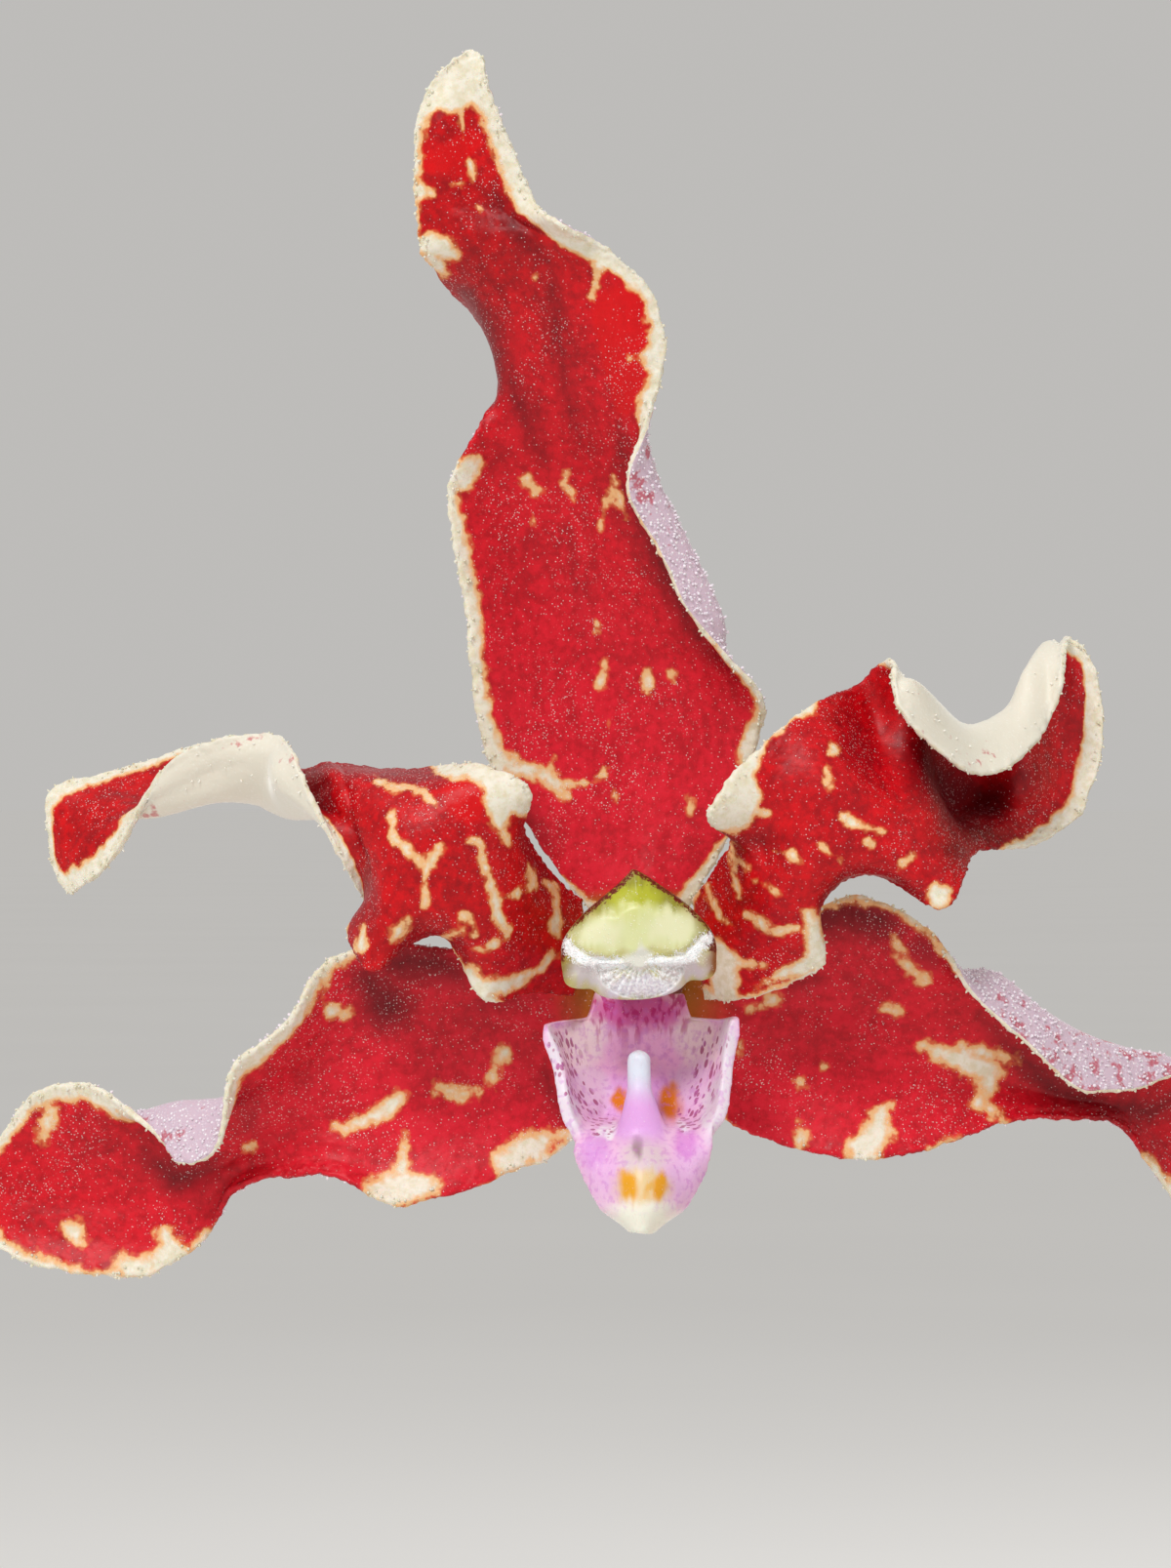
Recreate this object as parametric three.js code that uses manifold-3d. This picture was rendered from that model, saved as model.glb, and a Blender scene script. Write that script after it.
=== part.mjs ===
// A potted dimorphorchis orchid: a monopodial orchid with two ranks of strap leaves, standing in bark in a
// terracotta pot, with one hanging flower spike. The spike's lead bloom is the large red and cream one, built
// petal by petal. Two smaller blooms nearest the plant are the yellow form that this genus bears on the same
// spike. Units are millimetres, +Z is up, and the origin is the centre of the pot's flat base.
import * as THREE from "three";
import { mergeVertices } from "three/addons/utils/BufferGeometryUtils.js";
import Module from "manifold-3d";

const wasm = await Module();
wasm.setup();

// Driving dimensions
const GAP = 0.3; // clearance between pieces that touch on the real plant
const POT = { height: 136, base: 61, rimBase: 79, rim: 86, rimHeight: 24, wall: 6, floor: 8, draftRim: 1.5 };
const DRAIN = { count: 4, radius: 6, ring: 36 };
const BARK = { top: 116, crown: 6, chips: 28, chip: 23, seed: 7 };
const STEM = { radius: 7, sheath: 1.5, bottom: 92, top: 312 };
const LEAF = { count: 11, first: 158, step: 14.5, width: 38, thickness: 1.6, longest: 236, shortest: 96 };
const LOW_LEAVES = [0.84, 0.6]; // the two lowest leaves are old, short ones
// How far a leaf's tip is cut back at midrib, lobe and margin, as a share of its length
const NOTCH = [-0.045, 0, -0.035];
const UNEVEN = 0.028; // how much shorter one lobe of the tip is
const SPIKE = { foot: 2.6, tip: 1.3 };
const PEDICEL = { foot: 0.9, ovary: 1.5 };
const TEPAL = { thickness: 0.8 };
const LEAD_AT = [-185, -90, 195]; // the lead bloom's column, which every bloom's own frame is centred on

// Material colours, sRGB
const TERRACOTTA = 0xb5653f;
const BARK_BROWN = 0x5b3a26;
const LEAF_GREEN = 0x3f6b2c;
const SHEATH_GREEN = 0x6d7a3c;
const ROOT_GREY = 0xa9a893;
const SPIKE_GREEN = 0x7c7a3a;
const TEPAL_RED = 0xb3151f;
const TEPAL_YELLOW = 0xd9b43a;
const LIP_PINK = 0xcf8fc6;
const COLUMN_CREAM = 0xd8cf8e;
const CAP_YELLOW = 0xe6e39c;
const BUD_GREEN = 0x9a8c3f;

// The bloom's own frame: x to the viewer's right, y away from the viewer, z up, centred on the column.
// Each row crosses the organ from one margin to the other through its midrib, and the rows run base to tip.
const DORSAL_SEPAL = [
  [[-2.6, 1.6, 2.6], [-1.4, 1.2, 2.8], [-0.1, 1, 2.9], [0.6, 1.1, 2.9], [1.3, 1.2, 2.8], [2.5, 1.6, 2.6]],
  [
      [-5.4, 1.2, 6.4], [-2.8, 1.6, 6.2], [-0.2, 1.8, 6.2],
      [1.1, 1.7, 6.3], [2.4, 1.6, 6.4], [4.8, 1.2, 6.8],
  ],
  [
      [-7.7, 0.6, 10.3], [-4.3, 1.8, 10.3], [-0.8, 2.2, 10.5],
      [1.2, 2, 10.6], [3.4, 1.5, 10.8], [6.1, 0.4, 11.2],
  ],
  [
      [-8.6, 0.4, 14.2], [-5, 1.8, 14.5], [-1.6, 2.2, 14.8],
      [0.8, 1.8, 14.8], [3.4, 0.9, 14.4], [6.2, -1, 13.6],
  ],
  [
      [-8.9, 0.2, 17.7], [-5.8, 1.6, 17.8], [-2.6, 1.8, 18],
      [0.9, 0.9, 17.6], [4.1, -1.2, 17.1], [2.7, -2.9, 17.5],
  ],
  [
      [-9.6, 0, 21.2], [-6.4, 1.2, 21.2], [-3.4, 1.2, 21.2],
      [-0.6, 0.2, 21], [2.5, -1.8, 20.8], [1, -3.4, 20.9],
  ],
  [
      [-9.8, -0.2, 24.3], [-7, 0.6, 24.6], [-4.2, 0.4, 24.8],
      [-1.6, -0.8, 24.8], [0.8, -2.6, 24.4], [-0.6, -4, 24.2],
  ],
  [
      [-8.2, -0.5, 27.4], [-6.6, -0.6, 27.8], [-4.2, -1.4, 28.2],
      [-2, -2.6, 28.2], [-0.2, -3.6, 28], [0.55, -4.4, 27.8],
  ],
  [
      [-6.6, 2, 30.2], [-7.1, -0.8, 31], [-5, -2.6, 31.4],
      [-2.6, -3.8, 31.4], [-0.6, -4.6, 31.2], [1.25, -4.8, 31],
  ],
  [
      [-8.8, 0.6, 33.6], [-8, -1.6, 33.6], [-5.8, -3.4, 34.2],
      [-3.6, -4.6, 34.6], [-1.6, -5.2, 34.6], [0.6, -5, 34],
  ],
  [
      [-10.9, -3, 35.7], [-9.2, -3.6, 36.4], [-7.2, -4.2, 36.4],
      [-5.4, -4.6, 36.4], [-3.78, -5.54, 36.3], [-2, -5.9, 36.3],
  ],
  [
      [-11.2, -3.2, 37.3], [-9.7, -3.8, 37.6], [-7.8, -4, 37.6],
      [-6.6, -4.2, 37.4], [-5.3, -4.8, 37.4], [-4.03, -7.36, 37.35],
  ],
  [
      [-11.4, -3.4, 38.8], [-10, -3.8, 38.8], [-8.4, -3.6, 38.8],
      [-7.4, -3.8, 38.7], [-6.4, -4.4, 38.6], [-5.35, -5, 38.6],
  ],
  [
      [-11.35, -3.6, 42.4], [-10.2, -4.2, 42.2], [-8.9, -3.8, 42],
      [-8.2, -4, 41.9], [-7.4, -4.4, 41.9], [-6.65, -4.8, 41.9],
  ],
  [
      [-10.6, -3.8, 44.7], [-9.77, -3.79, 44.77], [-8.9, -4, 45],
      [-8.5, -4.2, 44.9], [-8.1, -4.5, 44.7], [-7.7, -4.6, 44.5],
  ],
  [
      [-9.3, -4, 45.9], [-9.05, -4.1, 46.1], [-8.75, -4.1, 46.3],
      [-8.45, -4.1, 46.3], [-8.15, -4.2, 46.1], [-7.9, -4.3, 45.9],
  ],
];
const LEFT_PETAL = [
  [[-3.3, 1, -1.8], [-3.2, 0.8, -0.6], [-3.1, 0.6, 0.6], [-3, 0.7, 1.9], [-2.9, 1, 3.1]],
  [[-5.6, -0.8, -1.6], [-5.2, -1.4, 0.4], [-4.9, -1.6, 1.9], [-4.8, -1.4, 3.4], [-4.7, -0.8, 4.7]],
  [[-8, -2.6, -1.9], [-7.2, -3.4, 0.8], [-6.8, -3.8, 3.4], [-6.3, -3.6, 5.4], [-6, -2.6, 6.9]],
  [[-9.8, -2, 1.3], [-9, -4.4, 1.6], [-8.4, -5, 5], [-7.4, -5, 7.6], [-5.5, -4.8, 8.7]],
  [[-11.6, -2.2, 1], [-10.8, -4.8, 2.6], [-10, -5.4, 5.6], [-9.2, -5.2, 8.2], [-8, -4.2, 10.05]],
  [[-13.55, -4.3, -0.56], [-12.6, -4.8, 2.4], [-12, -5.2, 5.6], [-11.6, -4.4, 8.2], [-11.6, -0.6, 9.9]],
  [[-14.99, -1.95, 1.45], [-13.15, -3.98, 3.65], [-13.6, -3.8, 6.2], [-14, -3, 8.8], [-14.4, 0.4, 9.9]],
  [[-14.01, -0.75, 2.63], [-13.76, -2.63, 4.61], [-14.2, -3, 6.8], [-14.8, -2, 8.9], [-15.4, 0.9, 9.95]],
  [[-15.18, -3, 5.38], [-15.07, -2.8, 6.43], [-15.3, -1.9, 7.7], [-15.8, -0.8, 9.2], [-16.6, 1.6, 10]],
  [
      [-17.29, -2.66, 9.83], [-18.38, -0.77, 9], [-17.74, 2.89, 7.51],
      [-18.19, 5.61, 7.95], [-18.8, 6.6, 9.6],
  ],
  [[-18.52, 0.85, 11.59], [-19, 0.8, 10.4], [-19.46, 4.02, 8.38], [-20.2, 6, 8.6], [-20.8, 8, 10.2]],
  [[-21.8, 2.4, 11.3], [-21.8, 3.2, 10], [-22, 4.8, 8.4], [-22.4, 7.4, 8.9], [-22.8, 9.4, 11.2]],
  [[-24.6, 4.6, 9.9], [-24.9, 5.4, 8.6], [-25.2, 7, 7.6], [-25.6, 9.2, 8.6], [-25.9, 10.6, 10.2]],
  [[-27.2, 7, 5.4], [-27.3, 7.6, 6.5], [-27.6, 8.6, 7.6], [-28, 9.8, 8.6], [-28.4, 10.8, 9.5]],
  [[-28.9, 8.6, 3.9], [-29.2, 9, 5.1], [-29.7, 9.6, 6.2], [-30.3, 10.2, 7.4], [-31, 10.8, 8.6]],
  [[-29.7, 9.8, 3.3], [-29.9, 9.9, 3.3], [-30.1, 10, 3.5], [-30.4, 10.2, 3.9], [-30.8, 10.4, 4.8]],
];
const RIGHT_PETAL = [
  [[3.4, 1, -2], [3.2, 0.8, -0.8], [3.1, 0.6, 0.5], [3, 0.7, 1.8], [2.8, 1, 3]],
  [[5.6, -0.6, -1.9], [5.2, -1.3, 0.4], [4.8, -1.6, 2.2], [4.5, -1.6, 3.7], [4.1, -1.4, 5.1]],
  [[8.4, -2.2, -0.8], [7.3, -3.2, 1.4], [6.3, -3.8, 3.6], [5.6, -3.4, 5.2], [4.7, -2.6, 6.4]],
  [[9.5, -2.6, 0.1], [8.4, -4, 2.4], [7.2, -4.6, 4.6], [5.9, -3.8, 6.2], [3.4, -5.6, 7.4]],
  [[9, -1.6, 2.4], [8.9, -4.4, 3.6], [8, -5.2, 5.2], [6.8, -4.6, 7.4], [4.1, -5.8, 8.9]],
  [[10.4, -1.4, 4.3], [10.1, -4.8, 4.9], [9.2, -5.4, 6.6], [7.6, -5, 9], [6.2, -4.6, 11.1]],
  [[12.4, -2, 4.4], [12, -5, 5.2], [11, -5.4, 7.4], [9.8, -4.6, 10.2], [8.7, -3.2, 13.1]],
  [[15.3, -4.6, 2.7], [14.2, -4.6, 5.2], [13, -4.2, 7.8], [11.95, -0.93, 11.37], [11.23, -0.54, 14.25]],
  [[16.4, -3, 4.2], [15.5, -2.6, 6.2], [14.74, -1.69, 8.81], [13.5, -1, 13], [12.92, -2.02, 15.5]],
  [[17.2, 0.4, 5.5], [16.8, 1.2, 6.8], [15.69, 3.44, 7.95], [14.19, -1.93, 13.83], [13.21, -4.08, 12.94]],
  [[19, 3, 5.8], [18.4, 4, 7], [17.72, 6.2, 8.6], [16.7, 1.77, 11.9], [16.66, -2.55, 9.72]],
  [[21, 5, 6.1], [20.4, 5.8, 7.6], [19.72, 4.36, 9.27], [19.15, 4.92, 12.78], [19.4, 0.37, 10.26]],
  [[23.2, 6.8, 7.8], [22.2, 7.2, 9], [21.5, 7, 10.8], [20.23, 5.72, 14.78], [21.22, 4.34, 12.15]],
  [[24.3, 8, 11.6], [23.4, 8.2, 12.2], [22.6, 8, 13.2], [21.31, 8.02, 16.2], [22.01, 4.74, 14.5]],
  [[24, 8.6, 14.8], [23.5, 8.7, 15.2], [22.9, 8.6, 15.6], [22.14, 8.11, 16.16], [22.18, 6.51, 16.22]],
  [[23.4, 8.8, 16.1], [23.1, 8.8, 16.4], [22.8, 8.8, 16.6], [22.5, 8.8, 16.8], [22.56, 7.85, 16.56]],
];
const LEFT_SEPAL = [
  [[-1.6, 2.2, -3.6], [-1.9, 2, -2.6], [-2.2, 1.8, -1.6], [-2.5, 2, -0.8], [-2.6, 2.4, 0.2]],
  [[-3.4, 2.6, -9.2], [-3.8, 2.6, -6.6], [-4.4, 2.4, -4], [-5, 2.2, -1.6], [-5.6, 2, 0.2]],
  [[-6.9, 2, -11.1], [-7, 2.8, -8.2], [-7.6, 2.8, -5.2], [-8.6, 2.2, -2], [-9.6, 1.4, 0.6]],
  [[-10.2, 1.6, -12.2], [-10.6, 2.8, -9.2], [-11.2, 3, -6.2], [-12, 2.4, -2.8], [-13.2, 0.8, 0.9]],
  [[-12.9, 1.6, -12.6], [-13.3, 3, -10], [-14.2, 3.2, -7.2], [-15.2, 2.4, -3.8], [-16.4, 0.2, -0.4]],
  [[-15.6, 2.2, -11.2], [-15.9, 3.2, -9.8], [-16.6, 3.4, -7.8], [-17.4, 2.2, -5.4], [-18.2, -0.2, -3.2]],
  [[-18.6, 3.4, -11.2], [-18.6, 4, -10.2], [-19, 3.8, -8.8], [-19.8, 2, -6.8], [-20.9, -0.4, -5.6]],
  [[-21, 4.4, -12.1], [-21, 4.8, -11], [-21.2, 4.6, -9.8], [-21.6, 2.6, -7.4], [-21.6, 0.2, -9.6]],
  [[-22.4, 5, -14.5], [-22.9, 5.4, -12.6], [-23.4, 5.2, -10.8], [-23.8, 3.6, -7.6], [-23.6, 1.2, -10.4]],
  [[-25.4, 5.2, -16.4], [-25.5, 6, -14], [-25.6, 6, -11.6], [-25.6, 4.8, -8.2], [-25.2, 3, -8.8]],
  [[-28.6, 5.6, -16.5], [-28.4, 6.6, -14.2], [-28.2, 6.8, -11.8], [-28.2, 6, -9.2], [-28.4, 4.8, -6.5]],
  [[-31.6, 6.4, -15.9], [-31.4, 7.2, -13.9], [-31.2, 7.4, -11.8], [-31.2, 7, -9.4], [-31.4, 6.2, -7]],
  [[-33.8, 7.4, -14.9], [-33.7, 7.8, -13.4], [-33.6, 7.9, -12], [-33.5, 7.8, -10.6], [-33.2, 7.4, -9.2]],
  [[-35, 8, -13.6], [-35.1, 8, -13], [-35.2, 8.1, -12.4], [-35.1, 8, -11.8], [-34.8, 7.9, -11.2]],
];
const RIGHT_SEPAL = [
  [
      [1.6, 2.2, -3.6], [1.9, 2, -2.6], [2.2, 1.8, -1.6],
      [2.35, 1.9, -1.2], [2.5, 2, -0.8], [2.6, 2.4, 0.2],
  ],
  [
      [4, 2.4, -7.8], [4.4, 2.6, -5.4], [4.8, 2.4, -3.2],
      [5.05, 2.3, -2.2], [5.3, 2.2, -1.2], [5.8, 1.8, 0.8],
  ],
  [
      [7.2, 2, -9.4], [7.4, 2.8, -6.4], [7.7, 2.8, -3.6],
      [7.95, 2.6, -2.1], [8.2, 2.2, -0.6], [8.8, 1, 2.6],
  ],
  [
      [10.4, 1.6, -10.2], [10.6, 2.8, -7], [10.9, 3, -3.8],
      [11.05, 2.8, -2.1], [11.2, 2.2, -0.4], [11.6, 0.4, 3.2],
  ],
  [
      [13.6, 1.8, -10.1], [13.7, 3, -7.4], [13.9, 3.2, -4.6],
      [14.05, 2.9, -3.1], [14.2, 2, -1.6], [15, -0.2, 1.5],
  ],
  [
      [16.6, 2.6, -9.2], [16.6, 3.4, -7.4], [16.7, 3.4, -5.2],
      [17, 2.6, -3], [17.9, 1.2, -0.8], [17.1, -1, -1.7],
  ],
  [
      [19.4, 3.6, -8.4], [19.3, 4.2, -7.2], [19.3, 4.2, -5.8],
      [19.8, 3.2, -4.2], [20.4, 1.4, -2.6], [19.6, -0.8, -4.1],
  ],
  [
      [22.2, 4.6, -8.3], [22.2, 5, -7.6], [22.2, 5, -6.8],
      [22.4, 4, -5.4], [22.8, 2.2, -4], [22.3, 0.2, -6.5],
  ],
  [
      [24.8, 5.4, -8.6], [24.8, 5.8, -8], [24.8, 5.8, -7.2],
      [25, 5, -6], [25.2, 3.4, -4.8], [25, 1.6, -6.8],
  ],
  [
      [26.6, 5.8, -10.9], [26.8, 6.4, -9.6], [27, 6.6, -8.2],
      [27.2, 6, -6.8], [27.4, 4.8, -5.3], [27.3, 3.4, -6.1],
  ],
  [
      [29, 6.4, -13.6], [29.4, 7, -11.8], [29.8, 7.2, -10],
      [30.1, 7, -8.4], [30.4, 6.4, -7], [30.5, 5.8, -5.8],
  ],
  [
      [32.4, 7.4, -14], [32.6, 7.8, -12.6], [32.8, 8, -11.2],
      [33, 7.9, -9.9], [33.1, 7.6, -8.7], [33.2, 7.2, -7.8],
  ],
  [
      [34.6, 8.2, -12.6], [34.7, 8.3, -12.1], [34.8, 8.4, -11.6],
      [34.8, 8.4, -11.2], [34.7, 8.3, -10.8], [34.6, 8.2, -10.4],
  ],
];
const LIP = [
  [
      [-2.7, 0.5, -1.81], [-1.8, 0.9, -1.92], [-0.9, 1, -1.93], [0.01, 1, -1.93],
      [0.91, 1, -1.93], [1.81, 0.9, -1.92], [2.71, 0.5, -1.81],
  ],
  [
      [-4.82, -3, -3.17], [-3.9, -1, -3.17], [-2, 0.2, -3.31], [0, 0.3, -3.41],
      [2, 0.2, -3.31], [3.98, -1, -2.87], [4.88, -3.2, -2.34],
  ],
  [
      [-4.28, -4, -5.35], [-3.7, -1.8, -5.53], [-1.9, -0.1, -5.8], [0, -0.1, -5.9],
      [2, -0.1, -5.8], [3.87, -1.8, -5.43], [4.63, -4, -5.26],
  ],
  [
      [-3.88, -5.4, -7.57], [-3.1, -3.4, -7.85], [-1.61, -2.2, -8.1], [0.19, -1.8, -8.22],
      [1.97, -2.2, -8.1], [3.55, -3.4, -7.76], [4.3, -5.4, -7.47],
  ],
  [
      [-3.39, -6, -8.63], [-2.6, -5.8, -8.74], [-1.62, -5.6, -8.85], [0.16, -5.4, -8.95],
      [1.93, -5.6, -8.85], [2.92, -5.8, -8.74], [3.75, -6, -8.53],
  ],
  [
      [-2.9, -6.4, -9.99], [-2.21, -7.2, -10.05], [-1.23, -7.6, -10.13], [0.14, -7.8, -10.22],
      [1.52, -7.6, -10.13], [2.5, -7.2, -10.05], [3.35, -6.4, -9.79],
  ],
  [
      [-2.06, -6.9, -11.64], [-1.43, -7.7, -11.69], [-0.74, -8.2, -11.76], [0.09, -8.5, -11.85],
      [0.92, -8.2, -11.76], [1.71, -7.7, -11.69], [2.36, -6.9, -11.59],
  ],
  [
      [-0.64, -7.9, -13.15], [-0.45, -8.4, -13.22], [-0.21, -8.8, -13.3], [0.04, -9, -13.35],
      [0.28, -8.8, -13.3], [0.53, -8.4, -13.27], [0.78, -7.9, -13.15],
  ],
];
// The anther cap's outline in x and z, clockwise from its peak
const CAP_OUTLINE = [
  [-0.35, 4.75], [1.0, 3.95], [2.3, 3.05], [3.3, 2.1], [3.8, 1.2], [3.85, 0.3], [3.75, -0.5], [3.3, -0.85],
  [2.4, -0.95], [1.8, -1.4], [1.0, -1.75], [0.0, -1.85], [-1.6, -1.8], [-2.2, -1.5], [-2.6, -1.3],
  [-3.5, -1.25], [-3.9, -0.8], [-4.05, 0.5], [-3.7, 1.7], [-2.8, 2.7], [-1.5, 3.65],
];
// How the dome of the cap rises: share of the outline, and depth
const CAP_RINGS = [[0.86, -3.8], [1.0, -4.5], [0.95, -5.4], [0.7, -6.15], [0.38, -6.5]];

// The places where each bloom hangs: its column, the way it faces (degrees about +Z, 0 faces -Y), its forward
// tilt, its roll, its size beside the lead bloom, and the share of the spike's length where its pedicel leaves
const LEAD = { name: "lead", at: LEAD_AT, turn: 0, tilt: 0, roll: 0, size: 1, share: 0.69 };
// Points on each pedicel behind its bloom, in the bloom's own frame
const LEAD_PEDICEL = [[6, 10, -3], [15, 18, -5], [26, 23, -7.5]];
const PEDICEL_PATH = [[0, 15, -3]];
const BLOOMS = [
  { name: "bloom_2", at: [-104, -80, 164], turn: 14, tilt: 6, roll: 7, size: 0.96, share: 0.66, mirror: true },
  { name: "bloom_3", at: [-178, -74, 102], turn: -22, tilt: 4, roll: -6, size: 0.93, share: 0.84 },
  { name: "yellow_bloom_1", at: [-60, -66, 226], turn: 10, tilt: 2, roll: -5, size: 0.84, share: 0.2, mirror: true },
  { name: "yellow_bloom_2", at: [-112, -72, 272], turn: -8, tilt: -6, roll: 8, size: 0.84, share: 0.37 },
];
const BUDS = [
  { at: [-117, -64, 96], share: 0.86, length: 15, radius: 4.2 },
  { at: [-163, -60, 58], share: 0.95, length: 12, radius: 3.5 },
  { at: [-144, -57, 49.4], share: 1.0, length: 9, radius: 2.7 },
];
const SPIKE_PATH = [
  [-1, -4, 194], [-9, -19, 206], [-26, -27, 226], [-54, -31, 243], [-95, -40, 247], [-128, -50, 228],
  [-139, -56, 196], [-144, -56, 150], [-146, -56, 95], [-144, -57, 50],
];
const STEM_PATH = [[0, 0, STEM.bottom], [2, 1, 170], [3, 2, 250], [0, 3, STEM.top]];
// Aerial roots, each from the stem to its tip
const ROOTS = [
  { radius: 3.0, path: [[2, 0, 148], [20, -14, 152], [38, -26, 140], [48, -32, 116], [49, -34, 98]] },
  { radius: 3.2, path: [[1, 0, 140], [-14, 20, 146], [-28, 40, 134], [-34, 50, 110], [-34, 52, 94]] },
  { radius: 2.8, path: [[1, 0, 134], [-16, -14, 140], [-32, -34, 130], [-38, -44, 108], [-38, -46, 94]] },
  {
    radius: 3.1,
    path: [[2, 1, 147], [24, 20, 156], [56, 42, 160], [84, 58, 142], [96, 64, 104], [93, 61, 66], [94, 64, 40]],
  },
  { radius: 2.9, path: [[1, 2, 152], [8, 30, 162], [10, 64, 160], [6, 94, 144], [2, 105, 110], [5, 103, 74]] },
];

// Geometry helpers

function mix(a, b, t) {
  return a + (b - a) * t;
}

function smoothstep(t) {
  const k = Math.min(1, Math.max(0, t));
  return k * k * (3 - 2 * k);
}

// One coordinate on the curve that passes through p1 and p2
function throughPoints(p0, p1, p2, p3, t) {
  const t2 = t * t;
  const t3 = t2 * t;
  const bend = (2 * p0 - 5 * p1 + 4 * p2 - p3) * t2;
  return 0.5 * (2 * p1 + (p2 - p0) * t + bend + (3 * p1 - p0 - 3 * p2 + p3) * t3);
}

// The point at share t of a smooth curve through a list of points
function along(points, t) {
  const n = points.length - 1;
  const s = Math.min(n - 1e-9, Math.max(0, t * n));
  const i = Math.floor(s);
  const at = (k) => {
    if (k < 0) return points[0].map((v, a) => 2 * v - points[1][a]);
    if (k > n) return points[n].map((v, a) => 2 * v - points[n - 1][a]);
    return points[k];
  };
  const four = [at(i - 1), at(i), at(i + 1), at(i + 2)];
  return [0, 1, 2].map((a) => throughPoints(...four.map((p) => p[a]), s - i));
}

// The point of a net of rows at share u across and v along
function onNet(net, u, v) {
  return along(net.map((row) => along(row, u)), v);
}

function mirrored(net) {
  return net.map((row) => row.map(([x, y, z]) => [-x, y, z]).reverse());
}

function solidFrom(vertices, triangles) {
  const make = (tris) =>
    new wasm.Manifold(
      new wasm.Mesh({
        numProp: 3,
        vertProperties: new Float32Array(vertices.flat()),
        triVerts: new Uint32Array(tris.flat()),
      }),
    );
  const made = make(triangles);
  return made.volume() < 0 ? make(triangles.map(([a, b, c]) => [a, c, b])) : made;
}

function solidOfGeometry(geometry) {
  const bare = geometry.clone().deleteAttribute("normal").deleteAttribute("uv");
  const merged = mergeVertices(bare, 1e-4);
  const position = merged.attributes.position;
  const vertices = [];
  for (let i = 0; i < position.count; i++) {
    vertices.push([position.getX(i), position.getY(i), position.getZ(i)]);
  }
  const triangles = [];
  for (let i = 0; i < merged.index.count; i += 3) {
    triangles.push([merged.index.array[i], merged.index.array[i + 1], merged.index.array[i + 2]]);
  }
  return solidFrom(vertices, triangles.filter(([a, b, c]) => a !== b && b !== c && a !== c));
}

function joined(solids) {
  return solids.reduce((whole, next) => whole.add(next));
}

// A sheet of a given thickness on a net. Both faces are split into the same triangles.
function blade(net, rows, columns, thickness) {
  const faces = [[], []];
  for (let i = 0; i <= rows; i++) {
    for (let j = 0; j <= columns; j++) {
      const u = j / columns;
      const v = i / rows;
      const step = 0.01;
      const p = new THREE.Vector3(...onNet(net, u, v));
      const across = new THREE.Vector3(...onNet(net, Math.min(1, u + step), v)).sub(
        new THREE.Vector3(...onNet(net, Math.max(0, u - step), v)),
      );
      const length = new THREE.Vector3(...onNet(net, u, Math.min(1, v + step))).sub(
        new THREE.Vector3(...onNet(net, u, Math.max(0, v - step))),
      );
      const normal = across.cross(length).normalize().multiplyScalar(thickness / 2);
      faces[0].push(p.clone().add(normal).toArray());
      faces[1].push(p.clone().sub(normal).toArray());
    }
  }
  const perFace = (rows + 1) * (columns + 1);
  const at = (i, j) => i * (columns + 1) + j;
  const triangles = [];
  for (let i = 0; i < rows; i++) {
    for (let j = 0; j < columns; j++) {
      const [a, b, c, d] = [at(i, j), at(i, j + 1), at(i + 1, j + 1), at(i + 1, j)];
      triangles.push([a, b, c], [a, c, d]);
      triangles.push([a + perFace, c + perFace, b + perFace], [a + perFace, d + perFace, c + perFace]);
    }
  }
  const rim = [];
  for (let j = 0; j < columns; j++) rim.push([at(0, j), at(0, j + 1)]);
  for (let i = 0; i < rows; i++) rim.push([at(i, columns), at(i + 1, columns)]);
  for (let j = columns; j > 0; j--) rim.push([at(rows, j), at(rows, j - 1)]);
  for (let i = rows; i > 0; i--) rim.push([at(i, 0), at(i - 1, 0)]);
  for (const [a, b] of rim) triangles.push([a, b + perFace, b], [a, a + perFace, b + perFace]);
  return solidFrom([...faces[0], ...faces[1]], triangles);
}

// A round tube through a list of points, with a radius for each share of its length and flat ends
function tube(points, radiusAt, steps, sides) {
  const centre = (t) => new THREE.Vector3(...along(points, t));
  let side = new THREE.Vector3(0, 1, 0.013);
  const vertices = [];
  for (let i = 0; i <= steps; i++) {
    const t = i / steps;
    const tangent = centre(Math.min(1, t + 0.004)).sub(centre(Math.max(0, t - 0.004))).normalize();
    side = side.clone().addScaledVector(tangent, -side.dot(tangent)).normalize();
    const up = tangent.clone().cross(side);
    for (let k = 0; k < sides; k++) {
      const a = (2 * Math.PI * k) / sides;
      const p = centre(t)
        .addScaledVector(side, radiusAt(t) * Math.cos(a))
        .addScaledVector(up, radiusAt(t) * Math.sin(a));
      vertices.push(p.toArray());
    }
  }
  const triangles = [];
  for (let i = 0; i < steps; i++) {
    for (let k = 0; k < sides; k++) {
      const [a, b] = [i * sides + k, i * sides + ((k + 1) % sides)];
      triangles.push([a, b, b + sides], [a, b + sides, a + sides]);
    }
  }
  const last = steps * sides;
  for (let k = 1; k < sides - 1; k++) {
    triangles.push([0, k + 1, k], [last, last + k, last + k + 1]);
  }
  return solidFrom(vertices, triangles);
}

// Pseudo-random numbers from 0 to 1, the same on every run
function dice(seed) {
  let state = seed;
  return () => {
    state = (state * 1664525 + 1013904223) % 4294967296;
    return state / 4294967296;
  };
}

// Pot

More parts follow.
